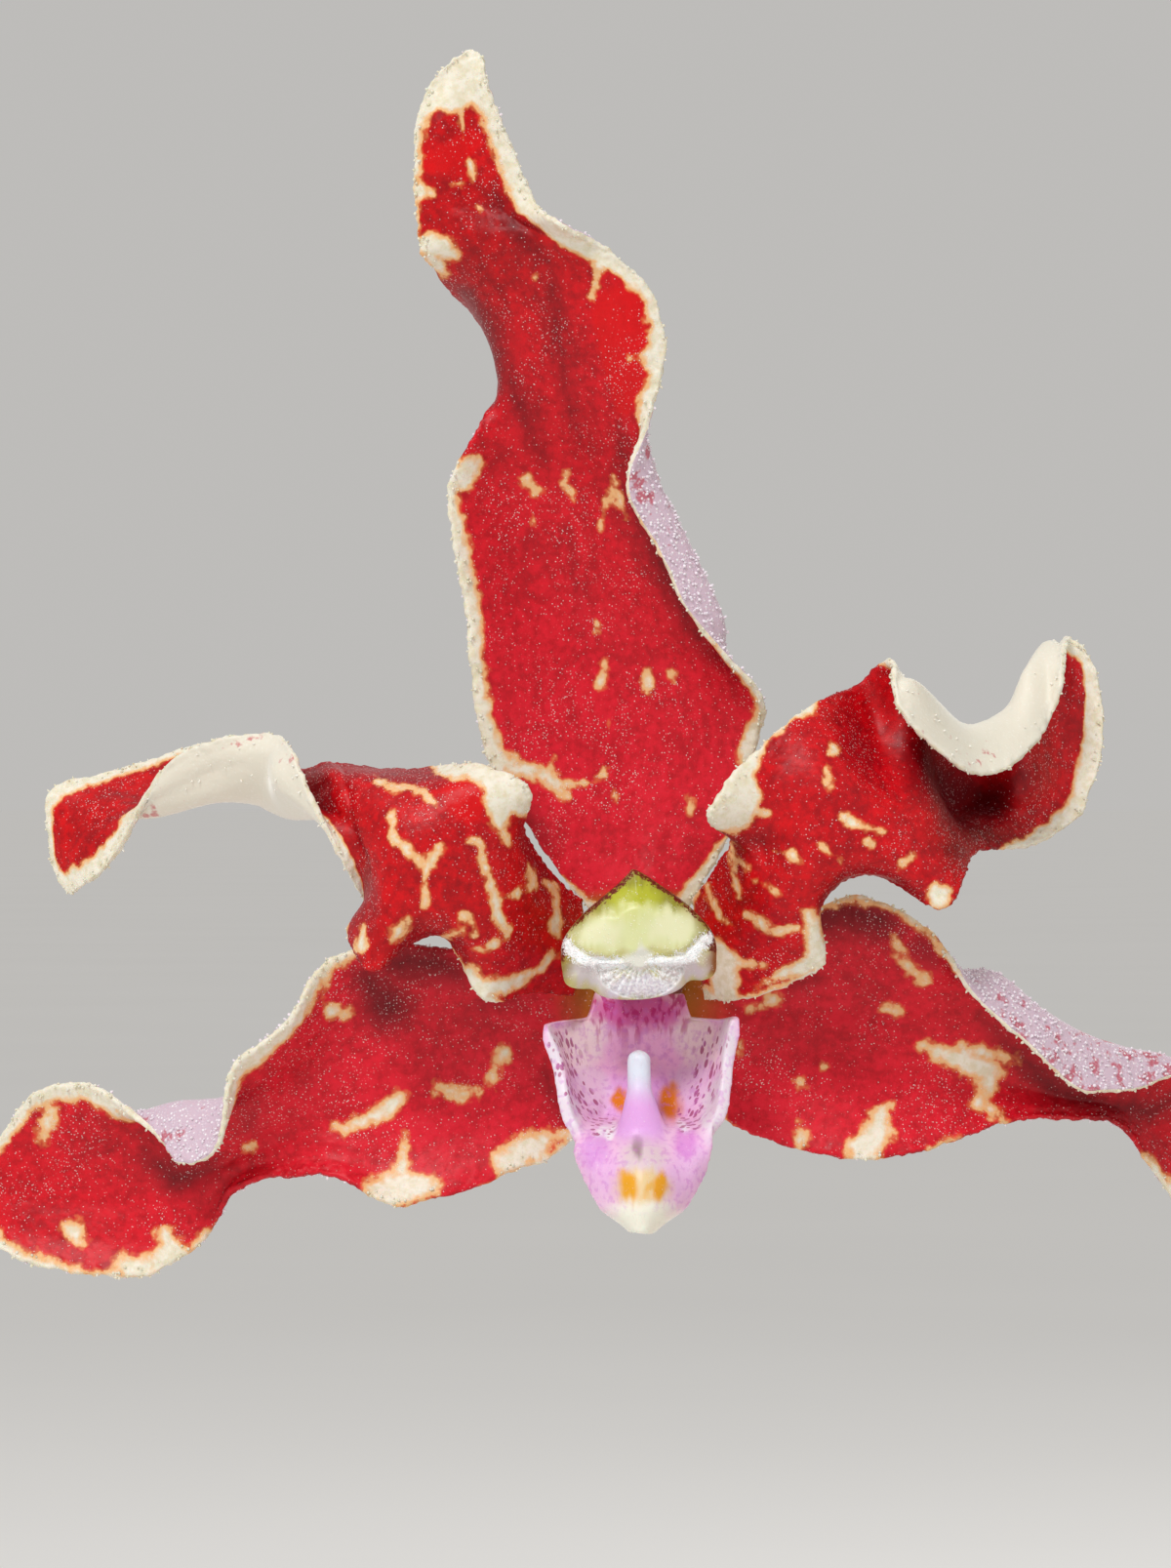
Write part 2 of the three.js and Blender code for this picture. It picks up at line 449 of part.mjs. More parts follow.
function potProfile() {
  const { height, base, rimBase, rim, rimHeight, wall, floor, draftRim } = POT;
  const shoulder = height - rimHeight;
  return [
    [0, 0], [base - 1.5, 0], [base, 1.5], [rimBase, shoulder], [rim - draftRim, shoulder + 0.5],
    [rim - 0.5, shoulder + 2.5], [rim, height - 3], [rim - 2, height], [rim - wall - 1, height],
    [rim - wall - 2.5, height - 2], [rimBase - wall, shoulder - 2], [base - wall + 0.6, floor], [0, floor],
  ];
}

function pot() {
  const outline = potProfile().map(([r, z]) => new THREE.Vector2(r, z));
  const body = solidOfGeometry(new THREE.LatheGeometry(outline, 32).rotateX(Math.PI / 2));
  const holes = [];
  for (let k = 0; k < DRAIN.count; k++) {
    const angle = ((k + 0.5) * 2 * Math.PI) / DRAIN.count;
    const drill = new THREE.CylinderGeometry(DRAIN.radius, DRAIN.radius, 4 * POT.floor, 16);
    drill.rotateX(Math.PI / 2).translate(DRAIN.ring * Math.cos(angle), DRAIN.ring * Math.sin(angle), 0);
    holes.push(solidOfGeometry(drill));
  }
  return body.subtract(joined(holes));
}

// Bark

function insideRadius(z) {
  const shoulder = POT.height - POT.rimHeight - 2;
  return mix(POT.base - POT.wall + 0.6, POT.rimBase - POT.wall, (z - POT.floor) / (shoulder - POT.floor));
}

function chip(random) {
  const size = BARK.chip * mix(0.65, 1.15, random());
  const block = new THREE.BoxGeometry(size, size * mix(0.5, 0.8, random()), size * mix(0.22, 0.36, random()));
  const position = block.attributes.position;
  const skew = new Map();
  for (let i = 0; i < position.count; i++) {
    const key = [position.getX(i), position.getY(i), position.getZ(i)].map((v) => Math.sign(v)).join();
    if (!skew.has(key)) skew.set(key, [random(), random(), random()].map((v) => (v - 0.5) * size * 0.22));
    const [dx, dy, dz] = skew.get(key);
    position.setXYZ(i, position.getX(i) + dx, position.getY(i) + dy, position.getZ(i) + dz * 0.4);
  }
  return block;
}

function bark(cutters) {
  const random = dice(BARK.seed);
  const { floor } = POT;
  const top = BARK.top - BARK.crown;
  const fill = solidOfGeometry(
    new THREE.LatheGeometry(
      [
        [0, floor + GAP], [insideRadius(floor) - GAP - 0.2, floor + GAP], [insideRadius(top) - GAP - 0.2, top],
        [insideRadius(top) * 0.6, top + 1], [0, top + 2],
      ].map(([r, z]) => new THREE.Vector2(r, z)),
      24,
    ).rotateX(Math.PI / 2),
  );
  const pieces = [];
  for (let k = 0; k < BARK.chips; k++) {
    const ring = Math.sqrt((k + 0.5) / BARK.chips);
    const angle = k * 2.39996;
    const reach = ring * (insideRadius(top) - BARK.chip * 0.78);
    const turn = new THREE.Matrix4().makeRotationFromEuler(
      new THREE.Euler((random() - 0.5) * 1.0, (random() - 0.5) * 1.0, random() * Math.PI),
    );
    const place = new THREE.Matrix4().makeTranslation(
      reach * Math.cos(angle), reach * Math.sin(angle), top + 1.5 + random() * 3.5,
    );
    pieces.push(solidOfGeometry(chip(random).applyMatrix4(place.multiply(turn))));
  }
  const cut = joined([fill, ...pieces]).subtract(joined(cutters));
  return cut.decompose().sort((a, b) => b.volume() - a.volume())[0];
}

// Stem, sheathed by the leaf bases

function leafFoot(k) {
  return LEAF.first + LEAF.step * k;
}

function stemTaper(z) {
  return mix(1, 0.62, smoothstep((z - 240) / (STEM.top - 240)));
}

function stemRadius(extra) {
  return (t) => {
    const z = along(STEM_PATH, t)[2];
    const k = (z - LEAF.first) / LEAF.step;
    const swell = k < 0 || k > LEAF.count ? 0 : STEM.sheath * (k - Math.floor(k));
    return (STEM.radius + swell) * stemTaper(z) + extra;
  };
}

function stem(extra = 0) {
  return tube(STEM_PATH, stemRadius(extra), 30, 9);
}

function stemAxis(z) {
  return along(STEM_PATH, (z - STEM.bottom) / (STEM.top - STEM.bottom));
}

// Leaves: a channelled strap that clasps the stem, arches over and ends in two uneven lobes

function leafPlan(k) {
  const share = k / (LEAF.count - 1);
  const side = k % 2 === 0 ? 1 : -1;
  return {
    foot: leafFoot(k),
    heading: (side > 0 ? 0 : 180) + 8 * Math.sin(2.3 * k + 0.4) - 10,
    length: mix(LEAF.longest, LEAF.shortest, Math.pow(share, 2.2)) * (LOW_LEAVES[k] ?? 1),
    rise: mix(52, 80, share),
    fall: mix(-42, 52, Math.pow(share, 1.4)),
    width: LEAF.width * mix(1, 0.72, Math.pow(share, 2)),
    lean: 5 * Math.sin(1.7 * k),
    clasp: (STEM.radius + STEM.sheath) * stemTaper(leafFoot(k)) + 1.6,
  };
}

function leafNet(plan) {
  const steps = 60;
  const rows = 13;
  const spine = [[0, 0, (plan.rise * Math.PI) / 180]];
  for (let i = 0; i < steps; i++) {
    const [r, z] = spine[i];
    const share = (i + 0.5) / steps;
    const pitch = (mix(plan.rise, plan.fall, Math.pow(share, 1.25)) * Math.PI) / 180;
    const ds = plan.length / steps;
    spine.push([r + Math.cos(pitch) * ds, z + Math.sin(pitch) * ds, pitch]);
  }
  const axis = stemAxis(plan.foot);
  const heading = (plan.heading * Math.PI) / 180;
  const net = [];
  for (let i = 0; i < rows; i++) {
    const s = i / (rows - 1);
    const open = smoothstep(s / 0.22);
    const fold = (mix(72, mix(24, 10, s), open) * Math.PI) / 180;
    const grow = mix(0.58, 1, smoothstep(s / 0.3));
    const taper = s < 0.72 ? 1 : mix(1, 0.5, Math.pow((s - 0.72) / 0.28, 2));
    const half = (plan.width / 2) * grow * taper;
    const lobes = smoothstep((s - 0.8) / 0.2);
    const row = [];
    for (const c of [-1, -0.5, 0, 0.5, 1]) {
      const notch = lobes * (NOTCH[2 * Math.abs(c)] - (c > 0 ? UNEVEN : 0));
      const place = Math.min(steps - 1e-6, Math.max(0, (s + notch) * steps));
      const low = Math.floor(place);
      const t = place - low;
      const r = mix(spine[low][0], spine[low + 1][0], t);
      const z = mix(spine[low][1], spine[low + 1][1], t);
      const pitch = spine[low + 1][2];
      const away = Math.abs(c) * half;
      const out = Math.cos(fold) * away * Math.sign(c) + plan.lean * s * s;
      const rise = Math.sin(fold) * away * mix(1, 0.85, Math.abs(c));
      const radial = plan.clasp + r - Math.sin(pitch) * rise;
      const clasp = 1.0 - open;
      const clear = Math.sign(c) * clasp * Math.abs(c) * 6.2;
      const x = axis[0] + radial * Math.cos(heading) - (out + clear) * Math.sin(heading);
      const y = axis[1] + radial * Math.sin(heading) + (out + clear) * Math.cos(heading);
      row.push([x, y, plan.foot + z + Math.cos(pitch) * rise]);
    }
    net.push(row);
  }
  return net;
}

function leaf(k) {
  const plan = leafPlan(k);
  return blade(leafNet(plan), 10, 4, LEAF.thickness);
}

// Blooms

function place({ at, turn, tilt, roll, size }) {
  const rad = Math.PI / 180;
  return new THREE.Matrix4()
    .makeTranslation(...at)
    .multiply(new THREE.Matrix4().makeRotationZ(turn * rad))
    .multiply(new THREE.Matrix4().makeRotationX(-tilt * rad))
    .multiply(new THREE.Matrix4().makeRotationY(roll * rad))
    .multiply(new THREE.Matrix4().makeScale(size, size, size));
}

function ellipsoid(centre, radii, detail = [10, 7]) {
  const ball = new THREE.SphereGeometry(1, ...detail).scale(...radii).translate(...centre);
  return solidOfGeometry(ball);
}

function leadLip() {
  const shell = blade(LIP, 10, 6, 0.9);
  const finger = ellipsoid([0, -1.6, -6.6], [0.55, 1.9, 2.2], [8, 6]);
  const mound = ellipsoid([0.2, -6, -10.6], [2.3, 1.7, 2.2], [8, 6]);
  return joined([shell, finger, mound]);
}

function smallLip() {
  const mound = ellipsoid([0.2, -6, -10.6], [2.3, 1.7, 2.2], [6, 4]);
  return joined([blade(LIP, 6, 4, 0.9), mound]).translate([0, -0.8, 0]);
}

// The column behind the cap, whose front end is cut back to leave the cap free
function column(back, front, sides) {
  return tube([[0, back, 0.3], [0, -0.8, 0.6], [0, front, 0.8]], (t) => mix(2.1, 2.45, t), 3, sides);
}

function antherCap(step = 1) {
  const centre = [0, 0.6];
  const outline = CAP_OUTLINE.filter((_, k) => k % step === 0);
  const n = outline.length;
  const vertices = [[centre[0], CAP_RINGS[0][1], centre[1]]];
  for (const [scale, depth] of CAP_RINGS) {
    for (const [x, z] of outline) {
      vertices.push([centre[0] + (x - centre[0]) * scale, depth, centre[1] + (z - centre[1]) * scale]);
    }
  }
  vertices.push([centre[0], CAP_RINGS.at(-1)[1] - 0.1, centre[1]]);
  const triangles = [];
  for (let k = 0; k < n; k++) {
    const next = (k + 1) % n;
    triangles.push([0, 1 + k, 1 + next]);
    for (let ring = 0; ring < CAP_RINGS.length - 1; ring++) {
      const [a, b] = [1 + ring * n + k, 1 + ring * n + next];
      triangles.push([a, a + n, b + n], [a, b + n, b]);
    }
    const lastRing = 1 + (CAP_RINGS.length - 1) * n;
    triangles.push([lastRing + k, vertices.length - 1, lastRing + next]);
  }
  return solidFrom(vertices, triangles);
}

function turned(net, mirror) {
  return mirror ? mirrored(net) : net;
}

// All five tepals of a bloom as one body, held by a small hub behind the column
function tepals(mirror) {
  const hub = ellipsoid([0, 1.9, 0.8], [3.4, 1.0, 3.4], [6, 4]);
  const bar = solidOfGeometry(new THREE.BoxGeometry(7.6, 1.2, 1.6).translate(0, 1.2, 0.7));
  const organs = [DORSAL_SEPAL, LEFT_SEPAL, RIGHT_SEPAL, LEFT_PETAL, RIGHT_PETAL];
  return joined([hub, bar, ...organs.map((net) => blade(turned(net, mirror), 6, 4, 0.9))]);
}

// Spike, with its pedicels and their ovaries

function pedicel(bloom) {
  const spot = place(bloom);
  const behind = [[0, 2.7 + GAP, -0.4], ...(bloom === LEAD ? LEAD_PEDICEL : PEDICEL_PATH)].map((p) =>
    new THREE.Vector3(...p).applyMatrix4(spot),
  );
  const foot = new THREE.Vector3(...along(SPIKE_PATH, bloom.share));
  const sag = foot.clone().lerp(behind.at(-1), 0.5);
  sag.z -= 2;
  return tube(
    [foot, sag, ...behind.reverse()].map((p) => p.toArray()),
    (t) => mix(PEDICEL.foot, PEDICEL.ovary * bloom.size, smoothstep(t)),
    bloom === LEAD ? 10 : 7,
    6,
  );
}

function spike(blooms) {
  const axis = tube(SPIKE_PATH, (t) => mix(SPIKE.foot, SPIKE.tip, t), 30, 6);
  const stalks = blooms.map(pedicel);
  const budStalks = BUDS.map(({ at, share, radius }) => {
    const foot = along(SPIKE_PATH, share);
    const end = new THREE.Vector3(...at);
    const near = new THREE.Vector3(...foot).lerp(end, 0.5);
    const tip = end.clone().add(new THREE.Vector3(0, 0, radius * 0.2));
    return share < 1 ? tube([foot, near.toArray(), tip.toArray()], (t) => mix(0.9, 1.3, t), 4, 6) : null;
  }).filter(Boolean);
  return joined([axis, ...stalks, ...budStalks]);
}

// The object

const object = new THREE.Group();

function addPiece(name, solid, color, roughness, group = object) {
  const mesh = solid.getMesh();
  const geometry = new THREE.BufferGeometry();
  const vertices = new Float32Array(mesh.numVert * 3);
  for (let i = 0; i < mesh.numVert; i++) {
    vertices.set(mesh.vertProperties.subarray(i * mesh.numProp, i * mesh.numProp + 3), i * 3);
  }
  geometry.setAttribute("position", new THREE.BufferAttribute(vertices, 3));
  geometry.setIndex(new THREE.BufferAttribute(new Uint32Array(mesh.triVerts), 1));
  geometry.computeVertexNormals();
  const piece = new THREE.Mesh(geometry, new THREE.MeshStandardMaterial({ color, roughness, metalness: 0 }));
  piece.name = name;
  group.add(piece);
}

function bloomGroup(bloom) {
  const group = new THREE.Group();
  group.name = bloom.name;
  group.applyMatrix4(place(bloom));
  object.add(group);
  return group;
}

const fatStem = stem(GAP);
const rootTube = ({ radius, path }, extra) =>
  tube(path, (t) => (radius + extra) * mix(1, 0.8, smoothstep((t - 0.9) / 0.1)), 3 * (path.length - 1), 6);
const roots = ROOTS.map((plan) => rootTube(plan, 0).subtract(fatStem));
const rootHoles = ROOTS.slice(0, 3).map((plan) => rootTube(plan, GAP + 0.1));

addPiece("pot", pot(), TERRACOTTA, 0.85);
addPiece("bark", bark([fatStem, ...rootHoles]), BARK_BROWN, 0.95);
addPiece("stem", stem(), SHEATH_GREEN, 0.6);
roots.forEach((solid, k) => addPiece(`root_${k + 1}`, solid, ROOT_GREY, 0.8));
for (let k = 0; k < LEAF.count; k++) {
  addPiece(`leaf_${k + 1}`, leaf(k).subtract(fatStem), LEAF_GREEN, 0.45);
}

const lead = bloomGroup(LEAD);
const leadOrgans = {
  dorsal_sepal: DORSAL_SEPAL,
  left_sepal: LEFT_SEPAL,
  right_sepal: RIGHT_SEPAL,
  left_petal: LEFT_PETAL,
  right_petal: RIGHT_PETAL,
};
for (const [organ, net] of Object.entries(leadOrgans)) {
  addPiece(`lead_${organ}`, blade(net, 18, 6, TEPAL.thickness), TEPAL_RED, 0.5, lead);
}
addPiece("lead_lip", leadLip(), LIP_PINK, 0.45, lead);
addPiece("lead_column", column(2, -3.5, 12), COLUMN_CREAM, 0.5, lead);
addPiece("lead_anther_cap", antherCap(), CAP_YELLOW, 0.4, lead);

for (const bloom of BLOOMS) {
  const group = bloomGroup(bloom);
  const colour = bloom.name.startsWith("yellow") ? TEPAL_YELLOW : TEPAL_RED;
  addPiece(`${bloom.name}_tepals`, tepals(bloom.mirror), colour, 0.5, group);
  addPiece(`${bloom.name}_lip`, smallLip(), LIP_PINK, 0.45, group);
  addPiece(`${bloom.name}_column`, joined([column(0.1, -4, 8), antherCap(2)]), CAP_YELLOW, 0.4, group);
}

addPiece("spike", spike([LEAD, ...BLOOMS]).subtract(fatStem), SPIKE_GREEN, 0.6);
BUDS.forEach(({ at, length, radius }, k) => {
  const [x, y, z] = at;
  const body = ellipsoid([x, y, z - length / 2 - radius * 0.1], [radius, radius, length / 2], [8, 6]);
  addPiece(`bud_${k + 1}`, body, BUD_GREEN, 0.6);
});

export default object;
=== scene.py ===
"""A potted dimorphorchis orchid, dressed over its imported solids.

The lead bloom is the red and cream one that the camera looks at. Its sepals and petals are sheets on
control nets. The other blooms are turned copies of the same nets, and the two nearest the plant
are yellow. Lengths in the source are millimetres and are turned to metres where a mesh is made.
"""

import logging
import math
import random
from dataclasses import dataclass, field
from enum import Enum

import bpy
import numpy as np
from mathutils import Matrix, Vector


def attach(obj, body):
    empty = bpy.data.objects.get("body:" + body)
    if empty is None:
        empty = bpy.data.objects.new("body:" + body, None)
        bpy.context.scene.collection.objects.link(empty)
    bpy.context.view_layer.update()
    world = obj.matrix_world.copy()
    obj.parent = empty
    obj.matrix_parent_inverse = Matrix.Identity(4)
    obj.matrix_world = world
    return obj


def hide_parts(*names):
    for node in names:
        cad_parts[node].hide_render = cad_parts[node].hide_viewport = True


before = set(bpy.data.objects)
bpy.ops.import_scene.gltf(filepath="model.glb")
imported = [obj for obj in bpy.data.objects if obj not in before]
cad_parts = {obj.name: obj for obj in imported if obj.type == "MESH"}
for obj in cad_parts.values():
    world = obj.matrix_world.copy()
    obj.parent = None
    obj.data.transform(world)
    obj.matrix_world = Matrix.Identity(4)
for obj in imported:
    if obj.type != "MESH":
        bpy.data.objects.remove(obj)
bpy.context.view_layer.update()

log = logging.getLogger("orchid")

MM = 0.001
Point = tuple[float, float, float]
Net = list[list[Point]]

# The bloom's own frame, in millimetres: x to the viewer's right, y away from the viewer, z up, centred on
# the column. Each row crosses the organ from margin to margin, and the rows run from its base to its tip.
DORSAL_SEPAL: Net = [
    [(-2.6, 1.6, 2.6), (-1.4, 1.2, 2.8), (-0.1, 1, 2.9), (0.6, 1.1, 2.9), (1.3, 1.2, 2.8), (2.5, 1.6, 2.6)],
    [
        (-5.4, 1.2, 6.4), (-2.8, 1.6, 6.2), (-0.2, 1.8, 6.2),
        (1.1, 1.7, 6.3), (2.4, 1.6, 6.4), (4.8, 1.2, 6.8),
    ],
    [
        (-7.7, 0.6, 10.3), (-4.3, 1.8, 10.3), (-0.8, 2.2, 10.5),
        (1.2, 2, 10.6), (3.4, 1.5, 10.8), (6.1, 0.4, 11.2),
    ],
    [
        (-8.6, 0.4, 14.2), (-5, 1.8, 14.5), (-1.6, 2.2, 14.8),
        (0.8, 1.8, 14.8), (3.4, 0.9, 14.4), (6.2, -1, 13.6),
    ],
    [
        (-8.9, 0.2, 17.7), (-5.8, 1.6, 17.8), (-2.6, 1.8, 18),
        (0.9, 0.9, 17.6), (4.1, -1.2, 17.1), (2.7, -2.9, 17.5),
    ],
    [
        (-9.6, 0, 21.2), (-6.4, 1.2, 21.2), (-3.4, 1.2, 21.2),
        (-0.6, 0.2, 21), (2.5, -1.8, 20.8), (1, -3.4, 20.9),
    ],
    [
        (-9.8, -0.2, 24.3), (-7, 0.6, 24.6), (-4.2, 0.4, 24.8),
        (-1.6, -0.8, 24.8), (0.8, -2.6, 24.4), (-0.6, -4, 24.2),
    ],
    [
        (-8.2, -0.5, 27.4), (-6.6, -0.6, 27.8), (-4.2, -1.4, 28.2),
        (-2, -2.6, 28.2), (-0.2, -3.6, 28), (0.55, -4.4, 27.8),
    ],
    [
        (-6.6, 2, 30.2), (-7.1, -0.8, 31), (-5, -2.6, 31.4),
        (-2.6, -3.8, 31.4), (-0.6, -4.6, 31.2), (1.25, -4.8, 31),
    ],
    [
        (-8.8, 0.6, 33.6), (-8, -1.6, 33.6), (-5.8, -3.4, 34.2),
        (-3.6, -4.6, 34.6), (-1.6, -5.2, 34.6), (0.6, -5, 34),
    ],
    [
        (-10.9, -3, 35.7), (-9.2, -3.6, 36.4), (-7.2, -4.2, 36.4),
        (-5.4, -4.6, 36.4), (-3.78, -5.54, 36.3), (-2, -5.9, 36.3),
    ],
    [
        (-11.2, -3.2, 37.3), (-9.7, -3.8, 37.6), (-7.8, -4, 37.6),
        (-6.6, -4.2, 37.4), (-5.3, -4.8, 37.4), (-4.03, -7.36, 37.35),
    ],
    [
        (-11.4, -3.4, 38.8), (-10, -3.8, 38.8), (-8.4, -3.6, 38.8),
        (-7.4, -3.8, 38.7), (-6.4, -4.4, 38.6), (-5.35, -5, 38.6),
    ],
    [
        (-11.35, -3.6, 42.4), (-10.2, -4.2, 42.2), (-8.9, -3.8, 42),
        (-8.2, -4, 41.9), (-7.4, -4.4, 41.9), (-6.65, -4.8, 41.9),
    ],
    [
        (-10.6, -3.8, 44.7), (-9.77, -3.79, 44.77), (-8.9, -4, 45),
        (-8.5, -4.2, 44.9), (-8.1, -4.5, 44.7), (-7.7, -4.6, 44.5),
    ],
    [
        (-9.3, -4, 45.9), (-9.05, -4.1, 46.1), (-8.75, -4.1, 46.3),
        (-8.45, -4.1, 46.3), (-8.15, -4.2, 46.1), (-7.9, -4.3, 45.9),
    ],
]
LEFT_PETAL: Net = [
    [(-3.3, 1, -1.8), (-3.2, 0.8, -0.6), (-3.1, 0.6, 0.6), (-3, 0.7, 1.9), (-2.9, 1, 3.1)],
    [(-5.6, -0.8, -1.6), (-5.2, -1.4, 0.4), (-4.9, -1.6, 1.9), (-4.8, -1.4, 3.4), (-4.7, -0.8, 4.7)],
    [(-8, -2.6, -1.9), (-7.2, -3.4, 0.8), (-6.8, -3.8, 3.4), (-6.3, -3.6, 5.4), (-6, -2.6, 6.9)],
    [(-9.8, -2, 1.3), (-9, -4.4, 1.6), (-8.4, -5, 5), (-7.4, -5, 7.6), (-5.5, -4.8, 8.7)],
    [(-11.6, -2.2, 1), (-10.8, -4.8, 2.6), (-10, -5.4, 5.6), (-9.2, -5.2, 8.2), (-8, -4.2, 10.05)],
    [(-13.55, -4.3, -0.56), (-12.6, -4.8, 2.4), (-12, -5.2, 5.6), (-11.6, -4.4, 8.2), (-11.6, -0.6, 9.9)],
    [(-14.99, -1.95, 1.45), (-13.15, -3.98, 3.65), (-13.6, -3.8, 6.2), (-14, -3, 8.8), (-14.4, 0.4, 9.9)],
    [(-14.01, -0.75, 2.63), (-13.76, -2.63, 4.61), (-14.2, -3, 6.8), (-14.8, -2, 8.9), (-15.4, 0.9, 9.95)],
    [(-15.18, -3, 5.38), (-15.07, -2.8, 6.43), (-15.3, -1.9, 7.7), (-15.8, -0.8, 9.2), (-16.6, 1.6, 10)],
    [
        (-17.29, -2.66, 9.83), (-18.38, -0.77, 9), (-17.74, 2.89, 7.51),
        (-18.19, 5.61, 7.95), (-18.8, 6.6, 9.6),
    ],
    [(-18.52, 0.85, 11.59), (-19, 0.8, 10.4), (-19.46, 4.02, 8.38), (-20.2, 6, 8.6), (-20.8, 8, 10.2)],
    [(-21.8, 2.4, 11.3), (-21.8, 3.2, 10), (-22, 4.8, 8.4), (-22.4, 7.4, 8.9), (-22.8, 9.4, 11.2)],
    [(-24.6, 4.6, 9.9), (-24.9, 5.4, 8.6), (-25.2, 7, 7.6), (-25.6, 9.2, 8.6), (-25.9, 10.6, 10.2)],
    [(-27.2, 7, 5.4), (-27.3, 7.6, 6.5), (-27.6, 8.6, 7.6), (-28, 9.8, 8.6), (-28.4, 10.8, 9.5)],
    [(-28.9, 8.6, 3.9), (-29.2, 9, 5.1), (-29.7, 9.6, 6.2), (-30.3, 10.2, 7.4), (-31, 10.8, 8.6)],
    [(-29.7, 9.8, 3.3), (-29.9, 9.9, 3.3), (-30.1, 10, 3.5), (-30.4, 10.2, 3.9), (-30.8, 10.4, 4.8)],
]
RIGHT_PETAL: Net = [
    [(3.4, 1, -2), (3.2, 0.8, -0.8), (3.1, 0.6, 0.5), (3, 0.7, 1.8), (2.8, 1, 3)],
    [(5.6, -0.6, -1.9), (5.2, -1.3, 0.4), (4.8, -1.6, 2.2), (4.5, -1.6, 3.7), (4.1, -1.4, 5.1)],
    [(8.4, -2.2, -0.8), (7.3, -3.2, 1.4), (6.3, -3.8, 3.6), (5.6, -3.4, 5.2), (4.7, -2.6, 6.4)],
    [(9.5, -2.6, 0.1), (8.4, -4, 2.4), (7.2, -4.6, 4.6), (5.9, -3.8, 6.2), (3.4, -5.6, 7.4)],
    [(9, -1.6, 2.4), (8.9, -4.4, 3.6), (8, -5.2, 5.2), (6.8, -4.6, 7.4), (4.1, -5.8, 8.9)],
    [(10.4, -1.4, 4.3), (10.1, -4.8, 4.9), (9.2, -5.4, 6.6), (7.6, -5, 9), (6.2, -4.6, 11.1)],
    [(12.4, -2, 4.4), (12, -5, 5.2), (11, -5.4, 7.4), (9.8, -4.6, 10.2), (8.7, -3.2, 13.1)],
    [(15.3, -4.6, 2.7), (14.2, -4.6, 5.2), (13, -4.2, 7.8), (11.95, -0.93, 11.37), (11.23, -0.54, 14.25)],
    [(16.4, -3, 4.2), (15.5, -2.6, 6.2), (14.74, -1.69, 8.81), (13.5, -1, 13), (12.92, -2.02, 15.5)],
    [(17.2, 0.4, 5.5), (16.8, 1.2, 6.8), (15.69, 3.44, 7.95), (14.19, -1.93, 13.83), (13.21, -4.08, 12.94)],
    [(19, 3, 5.8), (18.4, 4, 7), (17.72, 6.2, 8.6), (16.7, 1.77, 11.9), (16.66, -2.55, 9.72)],
    [(21, 5, 6.1), (20.4, 5.8, 7.6), (19.72, 4.36, 9.27), (19.15, 4.92, 12.78), (19.4, 0.37, 10.26)],
    [(23.2, 6.8, 7.8), (22.2, 7.2, 9), (21.5, 7, 10.8), (20.23, 5.72, 14.78), (21.22, 4.34, 12.15)],
    [(24.3, 8, 11.6), (23.4, 8.2, 12.2), (22.6, 8, 13.2), (21.31, 8.02, 16.2), (22.01, 4.74, 14.5)],
    [(24, 8.6, 14.8), (23.5, 8.7, 15.2), (22.9, 8.6, 15.6), (22.14, 8.11, 16.16), (22.18, 6.51, 16.22)],
    [(23.4, 8.8, 16.1), (23.1, 8.8, 16.4), (22.8, 8.8, 16.6), (22.5, 8.8, 16.8), (22.56, 7.85, 16.56)],
]
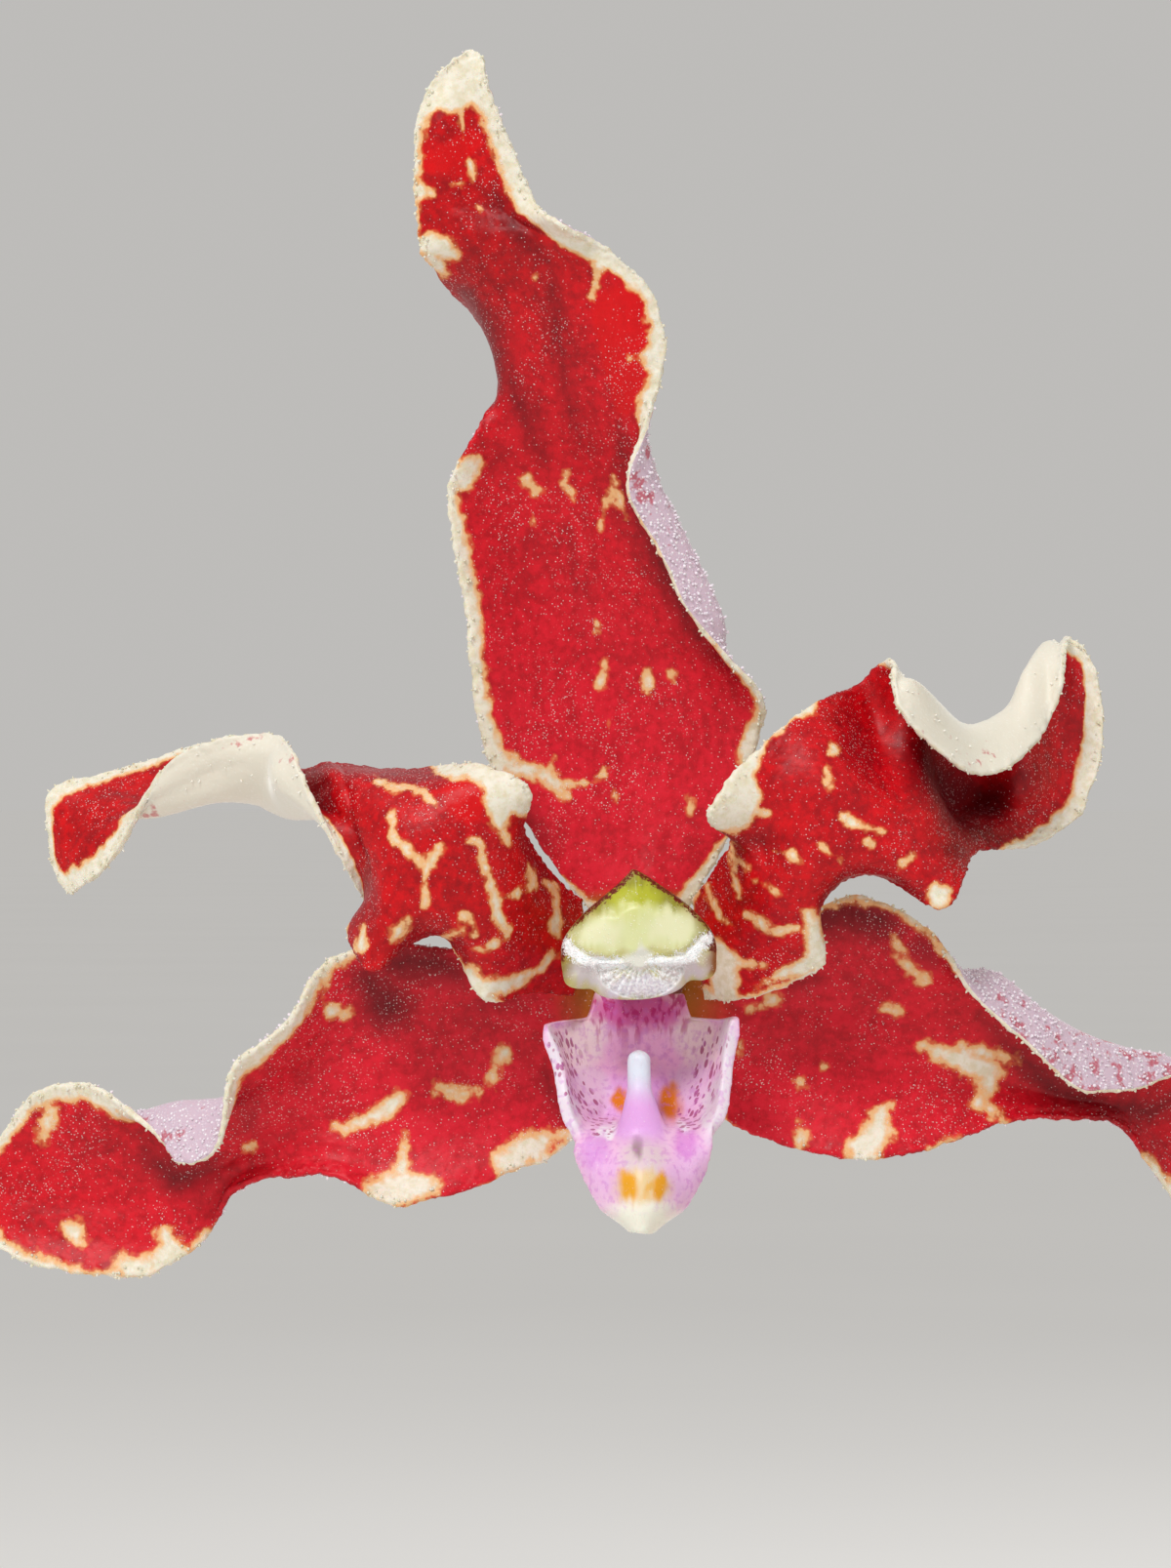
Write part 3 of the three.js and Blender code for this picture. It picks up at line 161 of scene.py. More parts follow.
LEFT_SEPAL: Net = [
    [(-1.6, 2.2, -3.6), (-1.9, 2, -2.6), (-2.2, 1.8, -1.6), (-2.5, 2, -0.8), (-2.6, 2.4, 0.2)],
    [(-3.4, 2.6, -9.2), (-3.8, 2.6, -6.6), (-4.4, 2.4, -4), (-5, 2.2, -1.6), (-5.6, 2, 0.2)],
    [(-6.9, 2, -11.1), (-7, 2.8, -8.2), (-7.6, 2.8, -5.2), (-8.6, 2.2, -2), (-9.6, 1.4, 0.6)],
    [(-10.2, 1.6, -12.2), (-10.6, 2.8, -9.2), (-11.2, 3, -6.2), (-12, 2.4, -2.8), (-13.2, 0.8, 0.9)],
    [(-12.9, 1.6, -12.6), (-13.3, 3, -10), (-14.2, 3.2, -7.2), (-15.2, 2.4, -3.8), (-16.4, 0.2, -0.4)],
    [(-15.6, 2.2, -11.2), (-15.9, 3.2, -9.8), (-16.6, 3.4, -7.8), (-17.4, 2.2, -5.4), (-18.2, -0.2, -3.2)],
    [(-18.6, 3.4, -11.2), (-18.6, 4, -10.2), (-19, 3.8, -8.8), (-19.8, 2, -6.8), (-20.9, -0.4, -5.6)],
    [(-21, 4.4, -12.1), (-21, 4.8, -11), (-21.2, 4.6, -9.8), (-21.6, 2.6, -7.4), (-21.6, 0.2, -9.6)],
    [(-22.4, 5, -14.5), (-22.9, 5.4, -12.6), (-23.4, 5.2, -10.8), (-23.8, 3.6, -7.6), (-23.6, 1.2, -10.4)],
    [(-25.4, 5.2, -16.4), (-25.5, 6, -14), (-25.6, 6, -11.6), (-25.6, 4.8, -8.2), (-25.2, 3, -8.8)],
    [(-28.6, 5.6, -16.5), (-28.4, 6.6, -14.2), (-28.2, 6.8, -11.8), (-28.2, 6, -9.2), (-28.4, 4.8, -6.5)],
    [(-31.6, 6.4, -15.9), (-31.4, 7.2, -13.9), (-31.2, 7.4, -11.8), (-31.2, 7, -9.4), (-31.4, 6.2, -7)],
    [(-33.8, 7.4, -14.9), (-33.7, 7.8, -13.4), (-33.6, 7.9, -12), (-33.5, 7.8, -10.6), (-33.2, 7.4, -9.2)],
    [(-35, 8, -13.6), (-35.1, 8, -13), (-35.2, 8.1, -12.4), (-35.1, 8, -11.8), (-34.8, 7.9, -11.2)],
]
RIGHT_SEPAL: Net = [
    [
        (1.6, 2.2, -3.6), (1.9, 2, -2.6), (2.2, 1.8, -1.6),
        (2.35, 1.9, -1.2), (2.5, 2, -0.8), (2.6, 2.4, 0.2),
    ],
    [
        (4, 2.4, -7.8), (4.4, 2.6, -5.4), (4.8, 2.4, -3.2),
        (5.05, 2.3, -2.2), (5.3, 2.2, -1.2), (5.8, 1.8, 0.8),
    ],
    [
        (7.2, 2, -9.4), (7.4, 2.8, -6.4), (7.7, 2.8, -3.6),
        (7.95, 2.6, -2.1), (8.2, 2.2, -0.6), (8.8, 1, 2.6),
    ],
    [
        (10.4, 1.6, -10.2), (10.6, 2.8, -7), (10.9, 3, -3.8),
        (11.05, 2.8, -2.1), (11.2, 2.2, -0.4), (11.6, 0.4, 3.2),
    ],
    [
        (13.6, 1.8, -10.1), (13.7, 3, -7.4), (13.9, 3.2, -4.6),
        (14.05, 2.9, -3.1), (14.2, 2, -1.6), (15, -0.2, 1.5),
    ],
    [
        (16.6, 2.6, -9.2), (16.6, 3.4, -7.4), (16.7, 3.4, -5.2),
        (17, 2.6, -3), (17.9, 1.2, -0.8), (17.1, -1, -1.7),
    ],
    [
        (19.4, 3.6, -8.4), (19.3, 4.2, -7.2), (19.3, 4.2, -5.8),
        (19.8, 3.2, -4.2), (20.4, 1.4, -2.6), (19.6, -0.8, -4.1),
    ],
    [
        (22.2, 4.6, -8.3), (22.2, 5, -7.6), (22.2, 5, -6.8),
        (22.4, 4, -5.4), (22.8, 2.2, -4), (22.3, 0.2, -6.5),
    ],
    [
        (24.8, 5.4, -8.6), (24.8, 5.8, -8), (24.8, 5.8, -7.2),
        (25, 5, -6), (25.2, 3.4, -4.8), (25, 1.6, -6.8),
    ],
    [
        (26.6, 5.8, -10.9), (26.8, 6.4, -9.6), (27, 6.6, -8.2),
        (27.2, 6, -6.8), (27.4, 4.8, -5.3), (27.3, 3.4, -6.1),
    ],
    [
        (29, 6.4, -13.6), (29.4, 7, -11.8), (29.8, 7.2, -10),
        (30.1, 7, -8.4), (30.4, 6.4, -7), (30.5, 5.8, -5.8),
    ],
    [
        (32.4, 7.4, -14), (32.6, 7.8, -12.6), (32.8, 8, -11.2),
        (33, 7.9, -9.9), (33.1, 7.6, -8.7), (33.2, 7.2, -7.8),
    ],
    [
        (34.6, 8.2, -12.6), (34.7, 8.3, -12.1), (34.8, 8.4, -11.6),
        (34.8, 8.4, -11.2), (34.7, 8.3, -10.8), (34.6, 8.2, -10.4),
    ],
]
LIP: Net = [
    [
        (-2.7, 0.5, -1.81), (-1.8, 0.9, -1.92), (-0.9, 1, -1.93), (0.01, 1, -1.93),
        (0.91, 1, -1.93), (1.81, 0.9, -1.92), (2.71, 0.5, -1.81),
    ],
    [
        (-4.82, -3, -3.17), (-3.9, -1, -3.17), (-2, 0.2, -3.31), (0, 0.3, -3.41),
        (2, 0.2, -3.31), (3.98, -1, -2.87), (4.88, -3.2, -2.34),
    ],
    [
        (-4.28, -4, -5.35), (-3.7, -1.8, -5.53), (-1.9, -0.1, -5.8), (0, -0.1, -5.9),
        (2, -0.1, -5.8), (3.87, -1.8, -5.43), (4.63, -4, -5.26),
    ],
    [
        (-3.88, -5.4, -7.57), (-3.1, -3.4, -7.85), (-1.61, -2.2, -8.1), (0.19, -1.8, -8.22),
        (1.97, -2.2, -8.1), (3.55, -3.4, -7.76), (4.3, -5.4, -7.47),
    ],
    [
        (-3.39, -6, -8.63), (-2.6, -5.8, -8.74), (-1.62, -5.6, -8.85), (0.16, -5.4, -8.95),
        (1.93, -5.6, -8.85), (2.92, -5.8, -8.74), (3.75, -6, -8.53),
    ],
    [
        (-2.9, -6.4, -9.99), (-2.21, -7.2, -10.05), (-1.23, -7.6, -10.13), (0.14, -7.8, -10.22),
        (1.52, -7.6, -10.13), (2.5, -7.2, -10.05), (3.35, -6.4, -9.79),
    ],
    [
        (-2.06, -6.9, -11.64), (-1.43, -7.7, -11.69), (-0.74, -8.2, -11.76), (0.09, -8.5, -11.85),
        (0.92, -8.2, -11.76), (1.71, -7.7, -11.69), (2.36, -6.9, -11.59),
    ],
    [
        (-0.64, -7.9, -13.15), (-0.45, -8.4, -13.22), (-0.21, -8.8, -13.3), (0.04, -9, -13.35),
        (0.28, -8.8, -13.3), (0.53, -8.4, -13.27), (0.78, -7.9, -13.15),
    ],
]

# The anther cap's outline in x and z, clockwise from its peak
CAP_OUTLINE: list[tuple[float, float]] = [
    (-0.32, 4.76), (0.4, 4.4), (1.2, 3.85), (2.2, 3.15), (3.05, 2.35), (3.6, 1.7), (3.86, 1.0), (3.88, 0.3),
    (3.86, -0.3), (3.66, -0.66), (3.2, -0.86), (2.7, -0.86), (2.4, -0.96), (2.1, -1.25), (1.6, -1.52),
    (0.9, -1.72), (0.0, -1.84), (-0.9, -1.84), (-1.6, -1.76), (-2.1, -1.58), (-2.45, -1.32), (-2.9, -1.3),
    (-3.4, -1.24), (-3.78, -0.98), (-3.92, -0.4), (-4.0, 0.35), (-3.9, 1.1), (-3.45, 1.85), (-2.8, 2.58),
    (-2.0, 3.27), (-1.15, 3.98), (-0.6, 4.52),
]


def linear(code: str) -> tuple[float, float, float, float]:
    """Turns an sRGB hex colour into linear red, green, blue and alpha.

    Args:
        code: A colour such as "#C80010".

    Returns:
        The four linear values.
    """
    parts = [int(code[k : k + 2], 16) / 255 for k in (1, 3, 5)]
    low = [c / 12.92 if c <= 0.04045 else ((c + 0.055) / 1.055) ** 2.4 for c in parts]
    return (low[0], low[1], low[2], 1.0)


def add_node(tree: bpy.types.NodeTree, kind: str, inputs: dict | None = None, **settings) -> bpy.types.Node:
    """Adds one shader node with its settings and links.

    Args:
        tree: The tree it goes in.
        kind: The node's type name.
        inputs: Socket name or number to a value, or to the output socket that feeds it.
        **settings: Properties of the node itself.

    Returns:
        The node.
    """
    made = tree.nodes.new(kind)
    for name, value in settings.items():
        setattr(made, name, value)
    for name, value in (inputs or {}).items():
        if isinstance(value, bpy.types.NodeSocket):
            tree.links.new(value, made.inputs[name])
        else:
            made.inputs[name].default_value = value
    return made


class Shades:
    """A node material in the making: its tree, its Principled shader and a short maker for each node used."""

    def __init__(self, name: str) -> None:
        """Makes an empty material of this name with a shader that is linked to its output."""
        self.material = bpy.data.materials.new(name)
        self.material.use_nodes = True
        self.tree = self.material.node_tree
        self.tree.nodes.clear()
        self.shader = self.node("ShaderNodeBsdfPrincipled")
        self.node("ShaderNodeOutputMaterial", {"Surface": self.shader.outputs[0]})

    def node(self, kind: str, inputs: dict | None = None, **settings) -> bpy.types.Node:
        """Adds one node with its inputs and settings."""
        return add_node(self.tree, kind, inputs, **settings)

    def dress(self, sockets: dict) -> None:
        """Sets the shader's sockets, each to a value or to the output that feeds it."""
        for name, value in sockets.items():
            if isinstance(value, bpy.types.NodeSocket):
                self.tree.links.new(value, self.shader.inputs[name])
            else:
                self.shader.inputs[name].default_value = value

    def noise(self, coords, scale: float, detail: float = 2.0, rough: float = 0.5):
        """A noise texture's value. The scale is in cells a metre or a UV unit."""
        inputs = {"Vector": coords, "Scale": scale, "Detail": detail, "Roughness": rough}
        return self.node("ShaderNodeTexNoise", inputs).outputs[0]

    def cells(self, coords, scale: float, feature: str = "F1"):
        """A Voronoi texture's node."""
        return self.node("ShaderNodeTexVoronoi", {"Vector": coords, "Scale": scale}, feature=feature)

    def sum(self, operation: str, a, b=0.0, c=0.0):
        """The result of one Math node."""
        return self.node("ShaderNodeMath", {0: a, 1: b, 2: c}, operation=operation).outputs[0]

    def times(self, a, b):
        """The product of two values."""
        return self.sum("MULTIPLY", a, b)

    def ramp(self, value, low: float, high: float, to_low: float = 0.0, to_high: float = 1.0):
        """A value mapped smoothly from one range to another, and clamped."""
        inputs = {"Value": value, 1: low, 2: high, 3: to_low, 4: to_high}
        return self.node("ShaderNodeMapRange", inputs, interpolation_type="SMOOTHSTEP", clamp=True).outputs[0]

    def mix(self, factor, a, b, how: str = "MIX"):
        """Two colours mixed. A colour is a hex code or a socket."""
        a, b = (linear(c) if isinstance(c, str) else c for c in (a, b))
        return self.node(
            "ShaderNodeMix", {0: factor, 6: a, 7: b}, data_type="RGBA", blend_type=how
        ).outputs[2]

    def bump(self, height, strength: float, distance: float, normal=None):
        """The normal over a bump of a given depth in metres."""
        inputs = {"Height": height, "Strength": strength, "Distance": distance}
        if normal is not None:
            inputs["Normal"] = normal
        return self.node("ShaderNodeBump", inputs).outputs[0]

    def painted(self, name: str):
        """A value that was painted on the mesh's points."""
        return self.node("ShaderNodeAttribute", attribute_name=name).outputs["Fac"]

    def coords(self):
        """Object coordinates, in metres."""
        return self.node("ShaderNodeTexCoord").outputs["Object"]

    def stretched(self, coords, scale: Point):
        """Coordinates scaled by a different amount on each axis."""
        return self.node("ShaderNodeMapping", {"Vector": coords, "Scale": scale}).outputs[0]


def through(knots: np.ndarray, shares: np.ndarray) -> np.ndarray:
    """Points on the smooth curve that passes through evenly spaced knots.

    Args:
        knots: The knots, first axis along the curve.
        shares: Where to read it, 0 at its start and 1 at its end.

    Returns:
        One row for each share.
    """
    last = len(knots) - 1
    place = np.clip(shares * last, 0, last - 1e-9)
    index = place.astype(int)
    t = (place - index).reshape(-1, *[1] * (knots.ndim - 1))
    padded = np.concatenate([2 * knots[:1] - knots[1:2], knots, 2 * knots[-1:] - knots[-2:-1]])
    p0, p1, p2, p3 = (padded[index + k] for k in range(4))
    bend = (2 * p0 - 5 * p1 + 4 * p2 - p3) * t**2
    return 0.5 * (2 * p1 + (p2 - p0) * t + bend + (3 * p1 - p0 - 3 * p2 + p3) * t**3)


def surface_on(net: Net, rows: int, columns: int) -> np.ndarray:
    """The smooth surface on a control net, read at evenly spaced rows and columns."""
    knots = np.array(net, float)
    across = through(knots.transpose(1, 0, 2), np.linspace(0, 1, columns + 1)).transpose(1, 0, 2)
    return through(across, np.linspace(0, 1, rows + 1))


def grain(points: np.ndarray, cell: float, seed: int) -> np.ndarray:
    """Smooth value noise from -1 to 1.

    Args:
        points: The points, one a row.
        cell: The size of one cell of the noise, in the points' unit.
        seed: Which noise it is.

    Returns:
        One value for each point.
    """
    spread = points / cell + seed * 17.31
    base = np.floor(spread).astype(np.int64)
    f = spread - base
    f = f * f * (3 - 2 * f)
    total = np.zeros(len(points))
    for corner in range(8):
        step = np.array([corner & 1, corner >> 1 & 1, corner >> 2 & 1])
        c = base + step
        h = (c[:, 0] * 374761393 + c[:, 1] * 668265263 + c[:, 2] * 974634777) & 0xFFFFFFFF
        h = ((h ^ (h >> 13)) * 1274126177) & 0xFFFFFFFF
        h = h ^ (h >> 16)
        total += np.prod(np.where(step, f, 1 - f), axis=1) * (h / 2**31 - 1)
    return total


class Slot(Enum):
    """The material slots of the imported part."""

    TERRACOTTA = "terracotta"
    BARK = "bark"
    STEM_SHEATHS = "stem_sheaths"
    AERIAL_ROOT = "aerial_root"
    LEAF = "leaf"
    SPIKE = "spike"
    BUD = "bud"
    COLUMN = "column"
    ANTHER_CAP = "anther_cap"
    RED_TEPAL = "red_tepal"
    YELLOW_TEPAL = "yellow_tepal"
    LIP = "lip"


def seat(obj: bpy.types.Object, slot: Slot, *nodes: str) -> bpy.types.Object:
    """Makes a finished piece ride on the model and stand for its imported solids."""
    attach(obj, "root")
    if nodes:
        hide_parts(*nodes)
    log.info("%s: %d faces", obj.name, len(obj.data.polygons))
    return obj


def select_only(obj: bpy.types.Object) -> None:
    """Selects one object and makes it active."""
    bpy.ops.object.select_all(action="DESELECT")
    obj.select_set(True)
    bpy.context.view_layer.objects.active = obj


def apply_modifier(obj: bpy.types.Object, kind: str, **settings) -> None:
    """Adds a modifier with its settings and applies it."""
    select_only(obj)
    modifier = obj.modifiers.new(kind.title(), kind)
    for name, value in settings.items():
        setattr(modifier, name, value)
    bpy.ops.object.modifier_apply(modifier=modifier.name)


def points_of(obj: bpy.types.Object) -> np.ndarray:
    """The mesh's points, one a row, in metres."""
    flat = np.zeros(len(obj.data.vertices) * 3)
    obj.data.vertices.foreach_get("co", flat)
    return flat.reshape(-1, 3)


def set_points(obj: bpy.types.Object, points: np.ndarray) -> None:
    """Moves the mesh's points."""
    obj.data.vertices.foreach_set("co", np.ascontiguousarray(points, float).ravel())
    obj.data.update()


def normals_of(obj: bpy.types.Object) -> np.ndarray:
    """The mesh's point normals, one a row."""
    flat = np.zeros(len(obj.data.vertices) * 3, np.float32)
    obj.data.vertex_normals.foreach_get("vector", flat)
    return flat.reshape(-1, 3).astype(float)


def paint(obj: bpy.types.Object, name: str, values: np.ndarray) -> None:
    """Keeps a value on each point of the mesh, for a material to read."""
    layer = obj.data.attributes.get(name) or obj.data.attributes.new(name, "FLOAT", "POINT")
    layer.data.foreach_set("value", np.ascontiguousarray(values, np.float32))


def painted(obj: bpy.types.Object, name: str) -> np.ndarray:
    """Reads back the values that paint kept."""
    values = np.zeros(len(obj.data.vertices), np.float32)
    obj.data.attributes[name].data.foreach_get("value", values)
    return values.astype(float)


def smooth(obj: bpy.types.Object) -> None:
    """Shades every face smooth."""
    obj.data.polygons.foreach_set("use_smooth", np.ones(len(obj.data.polygons), bool))
    obj.data.update()


def sheet(name: str, surface: np.ndarray) -> bpy.types.Object:
    """Makes a one-sided sheet by shaping a primitive grid onto a surface.

    Args:
        name: The piece's name.
        surface: Points in metres, rows by columns.

    Returns:
        The sheet, with a point attribute for its share across and its share along.
    """
    rows, columns = surface.shape[0] - 1, surface.shape[1] - 1
    bpy.ops.object.select_all(action="DESELECT")
    bpy.ops.mesh.primitive_grid_add(x_subdivisions=columns, y_subdivisions=rows, size=2)
    obj = bpy.context.object
    obj.name = obj.data.name = name
    flat = points_of(obj)
    across, along = (flat[:, 0] + 1) / 2, (flat[:, 1] + 1) / 2
    i, j = np.rint(along * rows).astype(int), np.rint(across * columns).astype(int)
    set_points(obj, surface[i, j])
    paint(obj, "across", across)
    paint(obj, "along", along)
    return obj


def lofted(name: str, surface: np.ndarray, capped: bool = True) -> bpy.types.Object:
    """Makes a closed body from rings of points, each ring round and each end filled.

    Args:
        name: The piece's name.
        surface: Points in metres, rings by points round.
        capped: Whether the two end rings are filled.

    Returns:
        The body, with a point attribute for its share round and its share along.
    """
    closed = np.concatenate([surface, surface[:, :1]], axis=1)
    obj = sheet(name, closed)
    select_only(obj)
    bpy.ops.object.mode_set(mode="EDIT")
    bpy.ops.mesh.select_all(action="SELECT")
    bpy.ops.mesh.remove_doubles(threshold=1e-7)
    if capped:
        bpy.ops.mesh.select_all(action="DESELECT")
        bpy.ops.mesh.select_non_manifold()
        bpy.ops.mesh.fill_holes(sides=0)
    bpy.ops.mesh.select_all(action="SELECT")
    bpy.ops.mesh.normals_make_consistent(inside=False)
    bpy.ops.object.mode_set(mode="OBJECT")
    return obj


def tube_rings(path: list[Point] | np.ndarray, radii: np.ndarray, steps: int, sides: int) -> np.ndarray:
    """The rings of a round tube along a smooth path.

    Args:
        path: The path's knots.
        radii: The radius at each ring, one for each step and one more.
        steps: How many stretches the tube has.
        sides: How many points go round.

    Returns:
        Rings by points round, in the path's unit.
    """
    shares = np.linspace(0, 1, steps + 1)
    knots = np.array(path, float)
    centre = through(knots, shares)
    tangent = through(knots, np.minimum(1, shares + 0.004)) - through(knots, np.maximum(0, shares - 0.004))
    tangent /= np.linalg.norm(tangent, axis=1)[:, None]
    side = np.array([0, 1, 0.013])
    rings = []
    turn = np.linspace(0, 2 * math.pi, sides, endpoint=False)
    for k in range(steps + 1):
        side = side - tangent[k] * (side @ tangent[k])
        side /= np.linalg.norm(side)
        up = np.cross(tangent[k], side)
        ring = np.outer(np.cos(turn), side) + np.outer(np.sin(turn), up)
        rings.append(centre[k] + ring * radii[k])
    return np.array(rings)


@dataclass(frozen=True)
class TepalFace:
    """The inner face of a live orchid petal: soft satin skin with painted glints on its papillae.

    The red lies in the cells under a clear skin, so it is deep and even, breaks off sharply at the cream
    margin and spots, and carries a warm orange seam where the two meet. Painted shade darkens it on steep
    faces and in folds.
    """

    name: str
    deep: str
    bright: str
    rosy: str
    pale: str
    seam: str
    glint_strength: float

    def build(self) -> bpy.types.Material:
        """Makes the material."""
        g = Shades(self.name)
        at = g.coords()
        edge = g.sum("MULTIPLY_ADD", g.noise(at, 1500, 2.0, 0.5), 0.7, -0.35)
        fine = g.sum("MULTIPLY_ADD", g.noise(at, 6500, 2.0), 0.12, -0.06)
        cream = g.sum("ADD", g.painted("cream"), g.sum("ADD", edge, fine))
        is_cream = g.ramp(cream, -0.05, 0.06)
        is_seam = g.ramp(cream, -0.16, -0.02)
        # The red is mottled in grains half a millimetre wide, and its veins run with the petal
        cloud = g.noise(at, 2100, 3.0, 0.65)
        broad = g.noise(at, 420, 2.0)
        veins = g.noise(self.along_petal(g), 1.0, 3.0, 0.6)
        tone = g.sum("MULTIPLY_ADD", veins, 0.35, g.sum("MULTIPLY_ADD", broad, 0.5, cloud))
        tone = g.ramp(tone, 0.62, 1.24)
        red = g.mix(tone, self.deep, self.bright)
        blush = g.times(g.painted("blush"), g.ramp(tone, 0.0, 1.0, 0.45, 0.95))
        red = g.mix(blush, red, self.rosy)
        # Painted shade: a darker purple red where the surface turns away from the camera, and near black red
        # in the painted fold strokes
        steep = g.painted("steep")
        red = g.mix(g.times(steep, 0.5), red, "#6A0818")
        red = g.mix(g.times(g.painted("dark"), 0.8), red, "#4A0008")
        red = g.mix(g.times(g.painted("vivid"), 0.7), red, "#D80006")
        red = g.mix(g.times(is_seam, 0.4), red, self.seam)
        red = g.mix(g.ramp(g.painted("base"), 0.0, 1.0), red, "#A8641C")
        whites = g.mix(g.ramp(cloud, 0.34, 0.62), self.pale, "#E9E3D2")
        whites = g.mix(g.ramp(cream, 0.05, 0.32), "#E8B47C", whites)
        colour = g.mix(is_cream, red, whites)
        # Painted highlights: pale pink glints on the papillae, finer and denser where the surface turns away
        # from the camera
        papilla_glints = g.times(self.papilla_glints(g, at, steep), self.glint_strength)
        colour = g.mix(papilla_glints, colour, "#FFEDE8")
        g.dress({
            "Base Color": colour, "Roughness": g.ramp(papilla_glints, 0.0, 0.6, 0.44, 0.25), "IOR": 1.42,
            "Subsurface Weight": 0.12, "Subsurface Radius": (1.0, 0.35, 0.2), "Subsurface Scale": 0.0006,
            "Specular IOR Level": 0.3,
        })
        low = g.bump(cloud, 0.5, 0.00006)
        g.dress({"Normal": g.bump(papilla_glints, 0.7, 0.00005, low)})
        return g.material

    def papilla_glints(self, g, at, steep):
        """Painted highlights on the papillae: bright grains, and finer, denser ones on steep folds."""
        coarse = g.cells(at, 5400)
        glint = g.ramp(coarse.outputs["Distance"], 0.24, 0.08)
        glint = g.times(glint, g.ramp(coarse.outputs["Color"], 0.3, 0.8))
        dense = g.cells(at, 7400)
        shimmer = g.ramp(dense.outputs["Distance"], 0.34, 0.12)
        shimmer = g.times(shimmer, g.ramp(dense.outputs["Color"], 0.35, 0.7))
        drift = g.noise(at, 330, 2.0)
        patch = g.sum("ADD", steep, g.ramp(drift, 0.48, 0.7))
        glint = g.times(glint, g.ramp(drift, 0.3, 0.6, 0.45, 1.0))
        return g.sum("MAXIMUM", glint, g.times(shimmer, g.sum("MINIMUM", patch, 0.8)))

    def along_petal(self, g):
        """Coordinates that are long along the petal and short across it, from the painted shares."""
        across = g.times(g.painted("across_mm"), 1.1)
        along = g.times(g.painted("along_mm"), 0.13)
        return g.node("ShaderNodeCombineXYZ", {0: across, 1: along}).outputs[0]


@dataclass(frozen=True)
class TepalBack:
    """The outer face of the petal: a coat of short pale hairs over skin with scattered red freckles."""

    name: str
    coat: str
    hair: str
    freckle: str
    share: float
    fuzz: float = 0.8

    def build(self) -> bpy.types.Material:
        """Makes the material."""
        g = Shades(self.name)
        at = g.coords()
        spots = g.noise(at, 1200, 3.0, 0.6)
        patch = g.ramp(g.sum("ADD", spots, g.noise(at, 130, 2.0)), self.share, self.share + 0.1)
        colour = g.mix(g.times(patch, 0.8), self.coat, self.freckle)
        hairs = g.cells(at, 5200)
        tuft = g.times(g.ramp(hairs.outputs["Distance"], 0.5, 0.1), self.fuzz)
        colour = g.mix(g.times(tuft, 0.5), colour, self.hair)
        bright = g.times(tuft, g.ramp(hairs.outputs["Color"], 0.5, 0.65))
        colour = g.mix(bright, colour, "#FFFFFF")
        colour = g.mix(g.painted("bead"), colour, self.hair)
        g.dress({
            "Base Color": colour, "Roughness": 0.55, "Sheen Weight": 0.5, "Sheen Roughness": 0.35,
            "Subsurface Weight": 0.1, "Subsurface Radius": (1.0, 0.6, 0.5), "Subsurface Scale": 0.0006,
            "Normal": g.bump(tuft, 0.6, 0.00006),
        })
        return g.material


Stroke = list[tuple[float, float, float]]
EYE = np.array([-2.75, 9.075])
EYE_GAP = 400.0


@dataclass
class Markings:
    """Where a sepal or petal is cream and where it is red, as the camera in front of the lead bloom sees it.

    Each band is the cream margin's width in millimetres at points spaced evenly from base to tip, below zero
    where the margin is red. A stroke is a line of points with x, z and a half width at each.
    """

    first_band: list[float] = field(default_factory=lambda: [0.8])
    last_band: list[float] = field(default_factory=lambda: [0.8])
    tip: float = 1.2
    cream: list[Stroke] = field(default_factory=list)
    red: list[Stroke] = field(default_factory=list)
    # Painted shade: strokes in folds and under rolled or overlapping parts, which the face material darkens
    dark: list[Stroke] = field(default_factory=list)
    vivid: list[Stroke] = field(default_factory=list)
    base: float = 0.8
    soft: float = 1.0
    blush: tuple[float, float] = (0.2, 0.0)

    def field_at(
        self, spot: np.ndarray, ends: np.ndarray, along: np.ndarray, tip_gap: np.ndarray
    ) -> np.ndarray:
        """How far inside the cream each point lies, in millimetres, below zero in the red.

        Args:
            spot: The points in x and z.
            ends: How far each point is from the first and the last margin.
            along: Each point's share from base to tip.
            tip_gap: How far each point is from the tip.

        Returns:
            One value for each point.
        """
        inside = self.tip - tip_gap
        for band, gap in ((self.first_band, ends[:, 0]), (self.last_band, ends[:, 1])):
            widths = np.interp(along, np.linspace(0, 1, len(band)), band)
            inside = np.maximum(inside, widths - gap)
        for stroke in self.cream:
            inside = np.maximum(inside, stroke_depth(spot, stroke))
        for stroke in self.red:
            inside = np.minimum(inside, -stroke_depth(spot, stroke))
        return np.clip(inside / self.soft, -3, 3)

    def painted_shade(self, spot: np.ndarray) -> np.ndarray:
        """How much painted shade darkens each point, from 0 to 1, where it lies deep in a fold."""
        return self.softened(spot, self.dark, -0.9, 1.1)

    def brightness(self, spot: np.ndarray) -> np.ndarray:
        """How far each point lies in a patch of the clearest red, from 0 to 1."""
        return self.softened(spot, self.vivid, -0.25, 0.1)

    def softened(self, spot: np.ndarray, strokes: list[Stroke], low: float, high: float) -> np.ndarray:
        """How far inside any of the strokes each point lies, rising smoothly from low to high."""
        depths = [stroke_depth(spot, stroke) for stroke in strokes]
        return soft_step(low, high, np.max(depths, axis=0)) if depths else np.zeros(len(spot))


